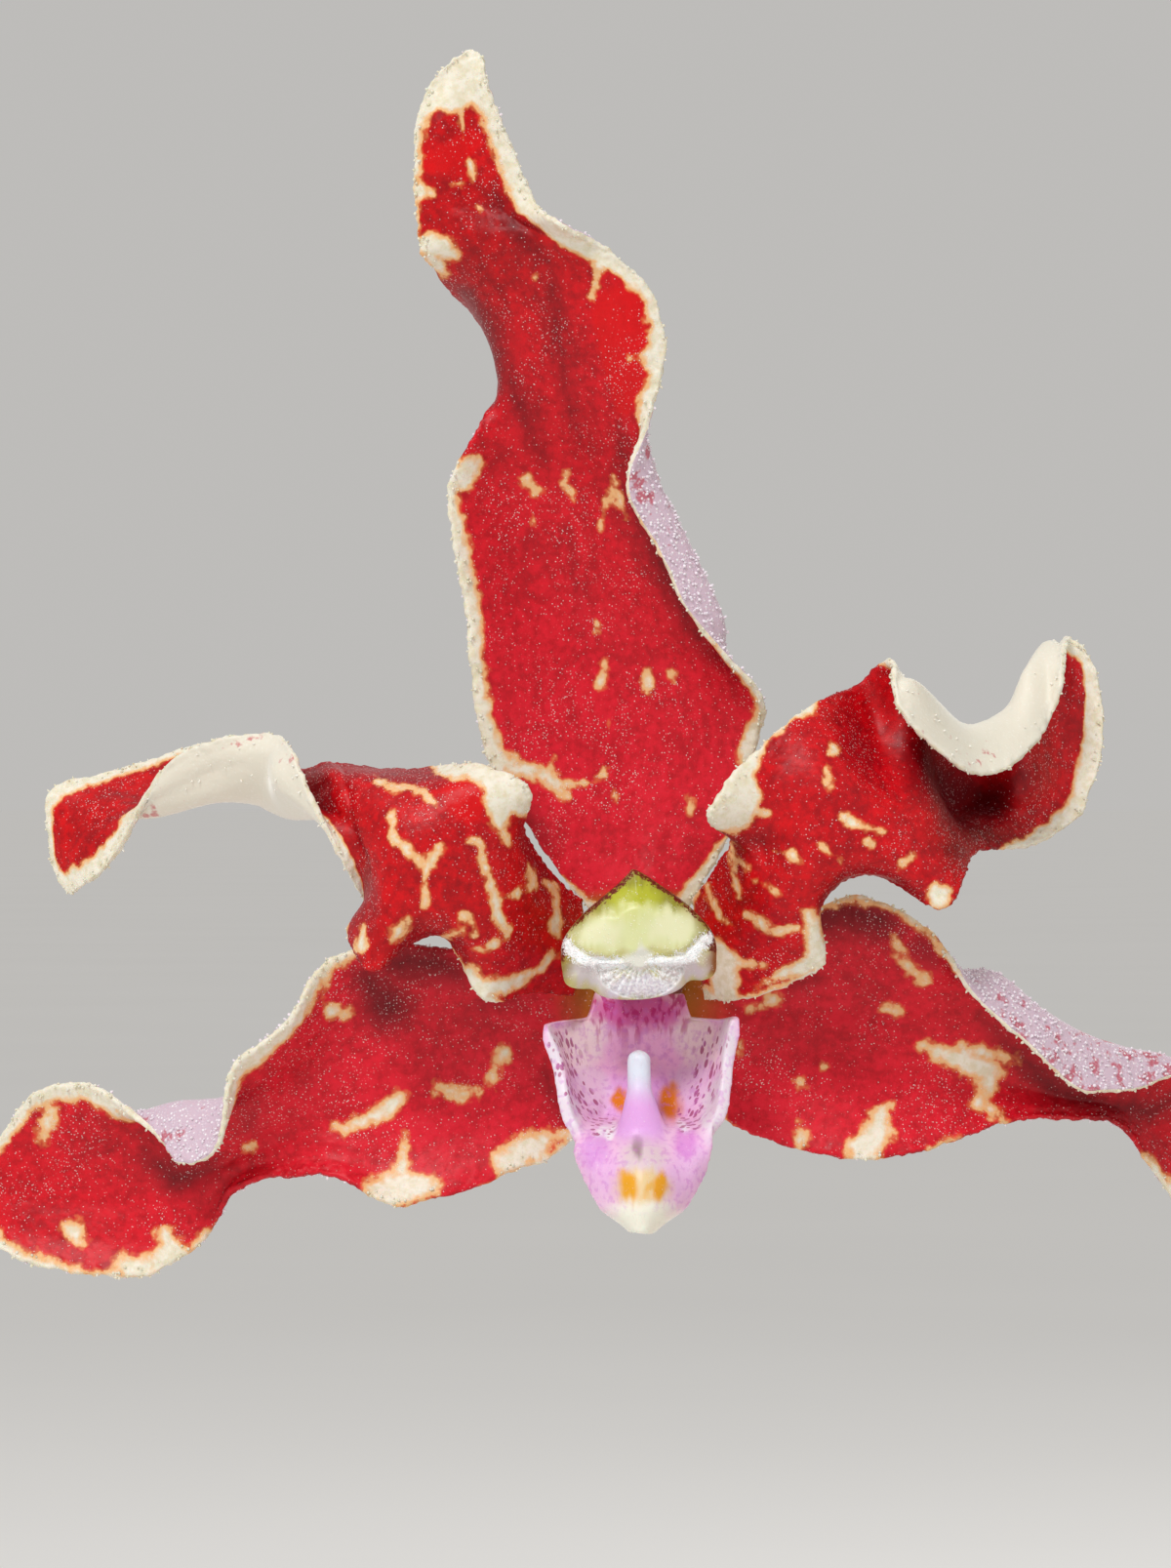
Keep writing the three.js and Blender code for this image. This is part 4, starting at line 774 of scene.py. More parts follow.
def stroke_depth(spot: np.ndarray, stroke: Stroke) -> np.ndarray:
    """How deep each point in x and z lies inside a stroke, below zero outside it."""
    knots = np.array(stroke if len(stroke) > 1 else stroke * 2, float)
    best = np.full(len(spot), -1e9)
    for a, b in zip(knots[:-1], knots[1:]):
        step = b[:2] - a[:2]
        share = np.clip((spot - a[:2]) @ step / max(step @ step, 1e-9), 0, 1)
        gap = np.linalg.norm(spot - (a[:2] + share[:, None] * step), axis=1)
        best = np.maximum(best, a[2] + share * (b[2] - a[2]) - gap)
    return best


def distance_to_line(spot: np.ndarray, line: list[tuple[float, float]]) -> np.ndarray:
    """How far each point in x and z is from a line of points."""
    return -stroke_depth(spot, [(x, z, 0.0) for x, z in line])


@dataclass(frozen=True)
class Papillae:
    """The beaded hairs that stand on a sepal's outer face and roughen the outline of its rolled margin."""

    per_mm2: float = 6.0
    reach: float = 2.6
    radius: tuple[float, float] = (0.05, 0.1)
    length: tuple[float, float] = (0.07, 0.15)
    seed: int = 51

    def grow(self, obj: bpy.types.Object) -> None:
        """Scatters the hairs near the sheet's margin and joins them to it.

        Args:
            obj: The finished sheet, which takes them in.
        """
        dice = np.random.default_rng(self.seed)
        faces = obj.data.polygons
        table = {}
        for name, width in (
            ("center", 3), ("normal", 3), ("area", 1), ("material_index", 1), ("loop_start", 1)
        ):
            values = np.empty(len(faces) * width, float if width == 3 or name == "area" else np.int32)
            faces.foreach_get(name, values)
            table[name] = values.reshape(len(faces), width).squeeze()
        corners = np.empty(len(obj.data.loops), np.int32)
        obj.data.loops.foreach_get("vertex_index", corners)
        first = corners[table["loop_start"]]
        edge, cream = painted(obj, "edge")[first], painted(obj, "cream")[first]
        outer = (table["material_index"] == 1) & (edge < self.reach)
        rim = (table["material_index"] == 0) & (edge < 0.5) & (cream > 0.1)
        chance = table["area"] / MM**2 * (self.per_mm2 * outer + 4.0 * rim)
        chosen = np.flatnonzero(dice.random(len(faces)) < chance)
        self.plant(
            obj, dice, table["center"][chosen], table["normal"][chosen], table["material_index"][chosen]
        )

    def plant(
        self, obj: bpy.types.Object, dice, feet: np.ndarray, ups: np.ndarray, slots: np.ndarray
    ) -> None:
        """Sets one small bead on each foot, leaning a little, and joins them all to the sheet."""
        bpy.ops.object.select_all(action="DESELECT")
        bpy.ops.mesh.primitive_ico_sphere_add(subdivisions=1, radius=1.0)
        bead = bpy.context.object
        shape = points_of(bead)
        faces = np.array([face.vertices[:] for face in bead.data.polygons])
        bpy.data.objects.remove(bead)
        count = len(feet)
        ahead = ups + 0.4 * dice.normal(size=(count, 3))
        ahead /= np.linalg.norm(ahead, axis=1)[:, None]
        side = np.cross(ahead, (0.31, 0.22, 0.93))
        side /= np.linalg.norm(side, axis=1)[:, None]
        third = np.cross(ahead, side)
        wide = dice.uniform(*self.radius, count)[:, None, None] * MM
        long = dice.uniform(*self.length, count)[:, None, None] * MM
        points = feet[:, None] + ahead[:, None] * long * (0.4 + shape[None, :, 2:3])
        points = points + (side[:, None] * shape[None, :, 0:1] + third[:, None] * shape[None, :, 1:2]) * wide
        mesh = bpy.data.meshes.new("beads")
        links = faces[None] + np.arange(count)[:, None, None] * len(shape)
        mesh.from_pydata(points.reshape(-1, 3).tolist(), [], links.reshape(-1, 3).tolist())
        beads = bpy.data.objects.new("beads", mesh)
        bpy.context.collection.objects.link(beads)
        for made in obj.data.materials:
            mesh.materials.append(made)
        mesh.polygons.foreach_set("material_index", np.repeat(slots, len(faces)).astype(np.int32))
        for name, value in (("cream", 1.5), ("edge", 0.2), ("bead", 1.0)):
            paint(beads, name, np.full(count * len(shape), value))
        select_only(obj)
        beads.select_set(True)
        bpy.ops.object.join()


@dataclass
class Tepal:
    """One sepal or petal: a thin sheet on a control net, thicker at its midrib, with a granular margin."""

    name: str
    net: Net
    marks: Markings
    rows: int
    columns: int
    thickness: float = 0.62
    grit: float = 0.045
    reverse: bool = False
    hairs: "Papillae | None" = None

    def build(self, spot: Matrix, face: bpy.types.Material, back: bpy.types.Material) -> bpy.types.Object:
        """Builds the sheet and puts it in its place.

        Args:
            spot: The bloom's place on the plant.
            face: The inner face's material.
            back: The outer face's material.

        Returns:
            The finished piece.
        """
        net = [row[::-1] for row in self.net] if self.reverse else self.net
        surface = surface_on(net, self.rows, self.columns)
        surface = self.ruffled(surface)
        obj = sheet(self.name, surface * MM)
        self.paint_marks(obj, surface)
        for made in (face, back):
            obj.data.materials.append(made)
        thin = obj.vertex_groups.new(name="thick")
        weight = np.clip(painted(obj, "edge") / 2.2, 0.0, 1.0)
        for k, w in enumerate(weight):
            thin.add([k], float(w), "REPLACE")
        apply_modifier(
            obj,
            "SOLIDIFY",
            thickness=self.thickness * MM,
            offset=0.0,
            vertex_group="thick",
            thickness_vertex_group=0.5,
            material_offset=1,
            material_offset_rim=0,
        )
        apply_modifier(obj, "SUBSURF", levels=1, render_levels=1)
        self.roughen(obj)
        # How far the surface turns away from the camera's line of sight; the face material paints shade and
        # denser glints there
        facing = np.abs(normals_of(obj)[:, 1])
        paint(obj, "steep", 1 - soft_step(0.3, 0.72, facing))
        if self.hairs:
            self.hairs.grow(obj)
        smooth(obj)
        obj.data.transform(spot)
        obj.data.update()
        return obj

    def ruffled(self, surface: np.ndarray) -> np.ndarray:
        """Adds the small waves and nicks that the net is too coarse for."""
        rows, columns = surface.shape[:2]
        across = np.gradient(surface, axis=1)
        along = np.gradient(surface, axis=0)
        normal = np.cross(across, along)
        normal /= np.linalg.norm(normal, axis=2)[..., None] + 1e-9
        unit = across / (np.linalg.norm(across, axis=2)[..., None] + 1e-9)
        u = np.linspace(-1, 1, columns)[None, :]
        v = np.linspace(0, 1, rows)[:, None]
        near = np.abs(u) ** 5 * np.sin(np.pi * np.clip(v * 1.02, 0, 1)) ** 0.3
        flat = surface.reshape(-1, 3)
        wave = grain(flat, 2.6, 3).reshape(rows, columns)
        nick = (grain(flat, 0.9, 5) + 0.6 * grain(flat, 0.42, 9)).reshape(rows, columns)
        ribs = np.sin(u * 11.0 + 0.6 * wave) * (1 - np.abs(u) ** 3) * np.sin(np.pi * v) ** 0.5
        lift = 0.22 * wave * near + 0.05 * ribs
        return surface + normal * lift[..., None] + unit * (0.13 * nick * near * np.sign(u))[..., None]

    def paint_marks(self, obj: bpy.types.Object, surface: np.ndarray) -> None:
        """Paints the cream field, the painted shade of folds, the distances from the margins and the pale
        base.
        """
        rows, columns = surface.shape[:2]
        step_u = np.linalg.norm(np.diff(surface, axis=1), axis=2)
        from_first = np.concatenate([np.zeros((rows, 1)), np.cumsum(step_u, axis=1)], axis=1)
        from_last = from_first[:, -1:] - from_first
        middle = surface[:, columns // 2]
        step_v = np.concatenate([[0], np.cumsum(np.linalg.norm(np.diff(middle, axis=0), axis=1))])
        i = np.rint(painted(obj, "along") * (rows - 1)).astype(int)
        j = np.rint(painted(obj, "across") * (columns - 1)).astype(int)
        ends = np.stack([from_first[i, j], from_last[i, j]], axis=1)
        if self.reverse:
            ends = ends[:, ::-1]
        tip_gap = (step_v[-1] - step_v)[i]
        spot = surface[i, j]
        spot = EYE + (spot[:, [0, 2]] - EYE) * (EYE_GAP / (EYE_GAP + spot[:, 1]))[:, None]
        cream = self.marks.field_at(spot, ends, painted(obj, "along"), tip_gap)
        paint(obj, "cream", cream)
        # The painted shade of folds, from the dark strokes
        paint(obj, "dark", self.marks.painted_shade(spot))
        paint(obj, "vivid", self.marks.brightness(spot))
        paint(obj, "edge", np.minimum(np.minimum(ends[:, 0], ends[:, 1]), tip_gap))
        paint(obj, "across_mm", from_first[i, j] - from_first[i, columns // 2])
        paint(obj, "along_mm", step_v[i])
        paint(obj, "base", np.clip(1 - step_v[i] / max(self.marks.base, 0.01), 0, 1))
        paint(obj, "blush", np.interp(painted(obj, "along"), [0, 1], self.marks.blush))

    def roughen(self, obj: bpy.types.Object) -> None:
        """Moves the points in and out by a grain of papillae, most of all along the margin."""
        points = points_of(obj)
        edge = painted(obj, "edge")
        fine = grain(points / MM, 0.2, 11) + 0.5 * grain(points / MM, 0.45, 12)
        amount = self.grit * (0.35 + 1.4 * np.clip(1 - edge / 0.9, 0, 1))
        set_points(obj, points + normals_of(obj) * (fine * amount * MM)[:, None])


DORSAL_MARKS = Markings(
    first_band=[0.9, -1, 1.0, 0.8, 0.8, 0.85, 0.5, -1, -1, -1, 0.1, 0.15, 0.25, 0.7, 1.6, 2.0],
    last_band=[1.3, 0.1, 1.0, 0.45, 0.3, 0.3, 0.3, 0.8, 1.1, 1.4, 1.9, 2.0, 1.2, 1.0, 1.3, 2.0],
    tip=3.3,
    cream=[
        [(-9.1, 43.7, 0.3), (-9.05, 42.2, 0.05)],
        [(-8.65, 40.85, 0.2), (-8.45, 40.45, 0.28), (-8.4, 40.05, 0.1)],
        [(-9.5, 39.8, 0.1), (-9.3, 39.8, 0.14)],
        [(-8.35, 38.7, 0.08), (-8.2, 38.5, 0.1)],
        [(-11.2, 39.5, 0.5), (-10.6, 39.4, 0.24)],
        [(-10.8, 36.7, 0.6), (-9.9, 36.6, 0.55), (-9.4, 36.3, 0.25)],
        [(-10.7, 36.2, 0.5), (-10.1, 35.5, 0.3)],
        [(-2.0, 36.0, 0.4), (-2.15, 35.2, 0.2), (-2.3, 34.1, 0.06)],
        [(1.1, 31.2, 0.6), (0.3, 31.1, 0.25), (-0.35, 30.95, 0.1)],
        [(-5.25, 35.2, 0.1)],
        [(-9.3, 24.9, 0.8), (-8.6, 25.5, 0.5)],
        [(-5.75, 24.75, 0.26), (-5.35, 24.2, 0.34), (-4.9, 24.15, 0.12)],
        [(-3.6, 25.15, 0.12), (-3.65, 24.7, 0.22), (-3.4, 24.1, 0.18), (-3.2, 23.7, 0.08)],
        [(-1.15, 24.9, 0.1), (-1.2, 24.2, 0.26), (-1.6, 23.4, 0.13), (-1.9, 22.2, 0.06)],
        [(-1.1, 24.2, 0.2), (-0.75, 23.6, 0.12), (-0.5, 22.8, 0.05)],
        [(-5.4, 22.8, 0.08), (-5.45, 22.5, 0.05)],
        [(-2.1, 17.4, 0.14), (-2.1, 16.9, 0.1)],
        [(-2.05, 14.2, 0.3), (-1.75, 14.9, 0.22), (-1.7, 15.4, 0.06)],
        [(0.45, 14.85, 0.16), (0.5, 14.3, 0.24), (0.55, 13.8, 0.08)],
        [(1.6, 14.9, 0.12), (1.95, 14.3, 0.1)],
        [(-8.0, 11.2, 0.5), (-7.2, 10.3, 0.5), (-6.0, 9.8, 0.4), (-4.6, 9.3, 0.42), (-3.9, 8.5, 0.32)],
        [(-4.7, 9.5, 0.28), (-4.5, 10.2, 0.12), (-4.3, 10.6, 0.04)],
        [(-3.9, 9.0, 0.24), (-2.8, 9.0, 0.1), (-1.9, 9.35, 0.14), (-1.7, 9.8, 0.06)],
        [(-1.3, 8.5, 0.14), (-1.2, 8.1, 0.1)],
        [(2.7, 8.3, 0.18), (2.65, 7.7, 0.14)],
        [(-1.6, 12.1, 0.1), (-1.5, 11.8, 0.08)],
    ],
    red=[
        [(-10.15, 41.0, 0.75), (-10.25, 42.6, 0.62)],
        [(-8.4, 41.8, 0.75), (-8.6, 43.3, 0.52)],
        [(-10.2, 38.2, 0.85)],
        [(-3.05, 35.2, 0.78)],
        [(-1.0, 33.3, 1.3)],
        [(-0.15, 32.6, 0.6)],
        [(-0.25, 30.0, 0.72)],
        [(-7.3, 14.4, 0.6)],
        [(-7.3, 19.9, 1.15)],
        [(-7.8, 23.0, 1.1)],
    ],
    # Painted shade in the folds and under the rolled margins
    dark=[
        [(-7.4, 39.5, 0.2), (-6.7, 38.0, 0.55), (-5.6, 36.7, 0.6), (-4.4, 35.8, 0.2)],
        [(-8.4, 34.2, 0.3), (-7.2, 32.6, 0.4), (-7.0, 30.6, 0.1)],
        [(-0.7, 27.0, 0.1), (-0.6, 24.0, 0.2), (0.9, 21.2, 0.5), (2.6, 17.8, 0.5), (4.0, 15.6, 0.2)],
        [(-1.8, 24.5, -0.3), (0.0, 21.0, -0.2), (2.2, 17.0, -0.3)],
        [(-8.6, 36.8, -0.5), (-7.2, 34.6, -0.1), (-6.4, 32.0, 0.0), (-6.0, 29.0, -0.3)],
        [(-5.9, 7.6, 0.3), (-4.9, 6.2, 0.3)],
        [(-7.0, 31.5, 0.3), (-6.0, 28.5, 0.5), (-4.8, 25.8, -0.1)],
        [(-4.4, 35.4, 0.1), (-4.1, 32.6, 0.3), (-3.6, 29.4, 0.2), (-2.8, 26.6, -0.1)],
        [(-3.6, 22.2, -0.3), (-3.1, 18.6, -0.2), (-2.6, 15.4, -0.4)],
    ],
    vivid=[[(-1.0, 33.3, 1.3), (-0.4, 30.4, 1.2), (-0.6, 28.6, 0.5)], [(-10.2, 41.0, 0.7),
     (-8.6, 42.0, 0.6)]],
    base=1.0,
    soft=1.2,
    blush=(1.0, -0.4),
)

LEFT_PETAL_MARKS = Markings(
    first_band=[-1, -1, 0.6, 0.1, -1, -1, 0.3, 0.9, 0.9, 1.0, 1.0, 1.0, 1.1, 1.1, 1.1, 1.2],
    last_band=[-1, -1, -1, 0.6, 0.6, -1, -1, -1, -1, 0.6, 0.6, 0.6, 0.6, 0.9, 1.0, 1.2],
    tip=1.0,
    cream=[
        [(-10.0, 9.8, 0.55), (-8.4, 9.6, 0.7), (-7.0, 9.0, 1.2), (-6.0, 8.4, 0.9)],
        [(-7.2, 8.0, 0.75), (-7.3, 7.2, 0.5), (-7.0, 6.5, 0.2), (-6.95, 6.1, 0.1)],
        [(-8.6, 6.2, 0.2), (-8.2, 6.1, 0.12), (-8.15, 5.2, 0.17), (-7.75, 4.3, 0.24), (-7.55, 3.2, 0.3),
         (-7.35, 2.4, 0.3), (-7.0, 1.6, 0.2), (-6.95, 1.25, 0.1)],
        [(-13.4, 9.0, 0.1), (-12.8, 8.65, 0.2), (-11.6, 8.6, 0.13), (-10.9, 8.4, 0.22), (-10.3, 7.9, 0.07)],
        [(-12.55, 7.6, 0.13), (-12.5, 6.7, 0.16), (-12.3, 6.2, 0.24), (-11.5, 5.4, 0.25), (-10.9, 4.9, 0.3),
         (-10.3, 5.7, 0.2), (-10.1, 6.0, 0.08)],
        [(-10.9, 5.0, 0.3), (-10.95, 4.2, 0.08), (-11.0, 3.5, 0.24), (-11.05, 3.0, 0.2)],
        [(-5.9, 4.9, 0.06), (-5.75, 4.4, 0.2), (-5.75, 3.8, 0.2), (-5.95, 3.6, 0.12)],
        [(-6.8, 3.4, 0.16), (-6.4, 3.6, 0.18)],
        [(-4.9, 4.0, 0.2), (-4.5, 3.7, 0.26), (-4.45, 2.6, 0.2), (-4.5, 1.9, 0.36), (-4.35, 1.4, 0.14)],
        [(-9.2, 2.3, 0.18), (-8.9, 2.4, 0.26), (-8.55, 1.9, 0.1), (-8.5, 1.5, 0.06)],
        [(-9.1, 1.65, 0.07), (-9.8, 1.5, 0.18), (-10.2, 1.2, 0.07)],
        [(-8.1, 0.8, 0.2), (-7.5, 1.0, 0.22)],
        [(-11.9, 2.2, 0.16), (-12.4, 1.7, 0.32), (-12.7, 1.2, 0.14)],
        [(-8.6, -0.6, 0.5), (-8.2, -1.3, 0.6), (-7.2, -1.2, 0.45), (-6.2, -0.85, 0.35), (-5.2, -0.3, 0.24),
         (-4.6, 0.4, 0.2)],
        [(-14.1, 0.7, 0.35), (-13.9, 1.7, 0.1)],
    ],
    red=[[(-8.9, 8.2, 0.95)], [(-6.5, 6.8, 0.4), (-6.4, 7.1, 0.42)], [(-8.9, 6.9, 0.5), (-8.0, 6.4, 0.1)]],
    # Painted shade in the folds and under the overlapping parts
    dark=[[(-13.6, 1.6, -0.2), (-13.2, 0.9, 0.1)], [(-9.6, 0.9, -0.4), (-12.0, 0.6, -0.2)]],
    vivid=[[(-8.9, 8.2, 1.0)]],
    base=0.3,
    blush=(0.1, 0.0),
)

RIGHT_PETAL_MARKS = Markings(
    first_band=[0.8, 0.2, 0.3, 0.7, -1, -1, -1, -1, -1, -1, 0.2, 0.8, 1.1, 1.3, 1.3, 1.5],
    last_band=[0.6, -1, -1, 1.2, 1.6, 0.2, 0.2, -1, 0.7, 1.0, 1.1, 1.1, 1.1, 1.1, 1.1, 1.2],
    tip=1.2,
    cream=[
        [(4.1, 7.4, 0.6), (4.9, 7.7, 0.9), (5.3, 8.4, 0.95), (5.3, 9.4, 0.55), (5.5, 10.2, 0.3)],
        [(6.0, 7.8, 0.3), (6.7, 7.6, 0.06)],
        [(8.3, 12.75, 0.4), (8.8, 12.8, 0.3)],
        [(15.4, 3.3, 0.6), (15.1, 3.7, 0.3)],
        [(9.8, 11.0, 0.14), (9.8, 10.6, 0.24), (9.6, 10.3, 0.06)],
        [(9.5, 9.7, 0.12), (9.6, 9.2, 0.24), (9.85, 8.7, 0.1)],
        [(10.3, 7.4, 0.14), (10.7, 7.1, 0.24), (11.4, 6.8, 0.12), (12.4, 6.6, 0.12)],
        [(7.3, 5.8, 0.2), (8.0, 5.5, 0.26), (8.2, 5.2, 0.2)],
        [(9.4, 5.9, 0.16), (9.7, 5.6, 0.08)],
        [(11.6, 6.2, 0.14), (11.9, 6.0, 0.06)],
        [(10.2, 5.3, 0.12)],
        [(13.4, 5.1, 0.2), (13.8, 5.3, 0.14)],
        [(4.85, 6.1, 0.08), (5.0, 5.3, 0.2), (5.1, 4.4, 0.14), (5.3, 3.4, 0.1)],
        [(5.2, 5.2, 0.16), (5.8, 4.8, 0.08)],
        [(6.2, 4.2, 0.05), (7.2, 3.6, 0.13), (6.6, 4.0, 0.14)],
        [(3.6, 3.8, 0.14), (4.0, 3.0, 0.18), (4.5, 2.2, 0.12), (4.9, 1.9, 0.05)],
        [(5.6, 2.5, 0.14), (6.3, 2.2, 0.24), (7.0, 1.6, 0.2), (8.1, 1.8, 0.18)],
        [(8.6, 2.6, 0.2), (8.9, 1.4, 0.4), (9.2, 0.4, 0.6), (8.6, -0.2, 0.55), (7.4, -0.5, 0.22),
         (6.3, -1.2, 0.12)],
        [(4.0, 1.0, 0.3), (4.6, 0.2, 0.65), (4.5, -1.0, 0.75), (4.4, -2.4, 0.7)],
        [(4.9, 0.0, 0.3), (6.0, -0.1, 0.16), (6.6, -0.2, 0.05)],
    ],
    red=[[(6.4, 5.9, 0.5), (9.0, 6.1, 0.12)], [(7.9, 9.8, 1.0)]],
    # Painted shade in the folds and under the rolled margins
    dark=[
        [(5.0, 6.4, 0.0), (6.6, 6.2, 0.3), (8.6, 6.2, -0.3)],
        [(13.4, 11.6, 0.1), (14.6, 9.6, 1.1), (16.4, 8.4, 1.5), (18.0, 8.0, 1.2), (19.6, 9.4, 0.3)],
        [(16.4, 6.8, 0.6), (18.2, 6.2, 0.5), (20.0, 6.2, 0.1)],
        [(15.0, 5.6, 0.0), (16.0, 5.6, 0.2)],
    ],
    base=0.3,
    blush=(0.1, 0.15),
)

LEFT_SEPAL_MARKS = Markings(
    first_band=[0.8, 0.5, 0.3, -1, -1, -1, -1, -1, 0.3, 0.5, 0.25, 0.6, 0.9, 1.4],
    last_band=[0.4, 0.3, -1, 0.2, 0.9, 1.0, 1.1, 1.2, 1.3, 1.3, 1.1, 0.9, 1.2, 1.4],
    tip=1.6,
    cream=[
        [(-15.2, -8.6, 0.4), (-14.2, -8.2, 0.45), (-12.9, -7.5, 0.6), (-12.2, -7.0, 0.35)],
        [(-10.2, -6.5, 0.3), (-9.2, -6.8, 0.42), (-8.4, -6.7, 0.25)],
        [(-7.6, -6.2, 0.16), (-7.2, -5.2, 0.26), (-6.9, -4.7, 0.36), (-6.8, -4.2, 0.14)],
        [(-6.9, -10.5, 0.7), (-5.8, -9.7, 0.85), (-4.6, -9.1, 0.5), (-3.8, -8.9, 0.2)],
        [(-13.2, -12.0, 0.9), (-12.1, -11.7, 1.0), (-10.5, -11.6, 0.4)],
        [(-12.1, -10.9, 0.5), (-12.1, -9.6, 0.2), (-12.0, -9.0, 0.08)],
        [(-24.2, -14.0, 0.4), (-23.9, -15.0, 0.9), (-24.6, -15.6, 0.7)],
        [(-26.2, -15.7, 0.7), (-25.0, -15.8, 0.6)],
        [(-28.9, -13.9, 0.55), (-28.7, -14.4, 0.4)],
        [(-30.4, -8.8, 0.4), (-30.0, -7.6, 0.4)],
        [(-15.9, -2.4, 0.4), (-15.0, -2.5, 0.2)],
        [(-19.9, -9.3, 0.3)],
    ],
    red=[[(-15.7, -3.3, 0.55)], [(-15.4, -1.3, 0.5)], [(-28.8, -8.0, 0.5), (-27.2, -8.2, 0.4)]],
    # Painted shade in the folds and under the overlapping petals
    dark=[
        [(-14.0, -0.8, 0.8), (-13.0, -2.2, 1.3)],
        [(-12.4, 0.0, 0.9), (-10.6, 0.0, 1.0), (-9.2, -0.6, 0.5)],
        [(-8.2, -2.2, 0.1), (-6.4, -2.0, 0.1)],
        [(-4.6, -6.0, 0.3), (-3.9, -7.6, 0.4), (-3.6, -8.6, 0.3)],
        [(-20.0, -8.2, 0.1), (-19.4, -6.4, -0.2)],
        [(-25.2, -10.0, 0.4), (-23.6, -11.0, 0.9), (-22.0, -10.6, 0.5)],
        [(-29.0, -10.0, -0.2), (-27.0, -9.6, 0.0)],
    ],
    base=3.4,
    soft=1.6,
    blush=(1.0, 0.3),
)

RIGHT_SEPAL_MARKS = Markings(
    first_band=[0.8, 0.3, -1, -1, -1, -1, -1, -1, -1, 0.4, 1.0, 1.2, 1.4],
    last_band=[0.3, -1, 0.2, 0.3, 0.3, 0.5, 0.5, 0.5, 0.5, 0.6, 0.9, 1.2, 1.4],
    tip=1.6,
    cream=[
        [(11.5, -9.8, 0.9), (12.1, -9.0, 0.85), (12.4, -8.0, 0.5), (12.9, -7.6, 0.2)],
        [(8.3, -9.6, 0.3), (8.3, -8.9, 0.36), (8.1, -8.5, 0.16)],
        [(14.9, -9.8, 0.2), (15.7, -9.5, 0.35), (16.2, -9.3, 0.15)],
        [(14.3, -4.2, 0.2), (15.3, -4.7, 0.4), (16.6, -5.0, 0.75), (17.7, -5.6, 0.75), (17.7, -6.6, 0.4),
         (17.3, -7.4, 0.3), (18.4, -7.9, 0.25), (18.8, -8.3, 0.1)],
        [(16.6, -4.6, 0.4), (18.0, -4.6, 0.3), (19.3, -4.9, 0.12)],
        [(12.5, -2.4, 0.16), (13.3, -2.3, 0.22), (13.6, -2.5, 0.1)],
        [(13.1, 1.3, 0.1), (13.4, 0.6, 0.2), (14.0, -0.2, 0.26), (14.4, -0.6, 0.38), (14.8, -0.8, 0.2)],
        [(9.4, -5.4, 0.2)],
        [(8.2, -6.3, 0.22)],
        [(5.1, -4.4, 0.2)],
        [(6.9, -1.9, 0.3), (5.6, -2.4, 0.12)],
    ],
    red=[[(14.8, 0.7, 0.6)]],
    # Painted shade in the folds and under the overlapping petals and rolled margin
    dark=[
        [(8.6, 2.2, 1.0), (10.4, 2.6, 1.0), (12.4, 2.2, 1.0)],
        [(14.6, 0.8, 0.5), (15.2, 0.2, 0.3)],
        [(9.0, -0.9, 0.1), (7.8, -1.2, 0.0)],
        [(17.6, -2.8, 0.1), (19.4, -4.6, 0.5), (21.4, -6.6, 0.9), (24.0, -7.6, 0.9), (26.0, -7.6, 0.7),
         (27.2, -7.0, 0.5)],
        [(15.6, -1.6, -0.5), (16.8, -2.4, -0.3)],
    ],
    base=3.4,
    soft=1.6,
    blush=(1.0, 0.2),
)


def soft_step(low: float, high: float, value: np.ndarray) -> np.ndarray:
    """Rises smoothly from 0 at low to 1 at high."""
    t = np.clip((value - low) / (high - low), 0, 1)
    return t * t * (3 - 2 * t)


@dataclass(frozen=True)
class Blot:
    """A soft patch of colour at a place in x and z, with its half width and half height in millimetres."""

    x: float
    z: float
    wide: float
    high: float
    colour: str
    strength: float = 1.0
    lean: float = 0.0

    def weight(self, x: np.ndarray, z: np.ndarray) -> np.ndarray:
        """How much of the patch's colour each point takes."""
        turn = math.radians(self.lean)
        dx, dz = x - self.x, z - self.z
        a = (dx * math.cos(turn) + dz * math.sin(turn)) / self.wide
        b = (-dx * math.sin(turn) + dz * math.cos(turn)) / self.high
        return self.strength * (1 - soft_step(0.55, 1.25, np.hypot(a, b)))


def tint(obj: bpy.types.Object, ground: str, blots: list[Blot], x: np.ndarray, z: np.ndarray) -> None:
    """Paints a ground colour and soft patches over it on the mesh's points."""
    shade = np.tile(np.array(linear(ground)), (len(x), 1))
    spot = np.stack([x, 0.0 * x, z], axis=1)
    x, z = x + 0.16 * grain(spot, 0.45, 41), z + 0.2 * grain(spot, 0.45, 42)
    z = z + 0.22 * grain(spot * (1.0, 1.0, 0.1), 0.16, 43)
    for blot in blots:
        w = blot.weight(x, z)[:, None]
        shade = shade * (1 - w) + np.array(linear(blot.colour)) * w
    layer = obj.data.color_attributes.new("tint", "FLOAT_COLOR", "POINT")
    layer.data.foreach_set("color", shade.astype(np.float32).ravel())


def cavity(x: np.ndarray, z: np.ndarray, line: list[tuple[float, float]], width: float) -> np.ndarray:
    """A smooth groove's depth, 1 on the line of points and 0 at its width."""
    gap = distance_to_line(np.stack([x, z], axis=1), line)
    return 1 - soft_step(0, width, gap)


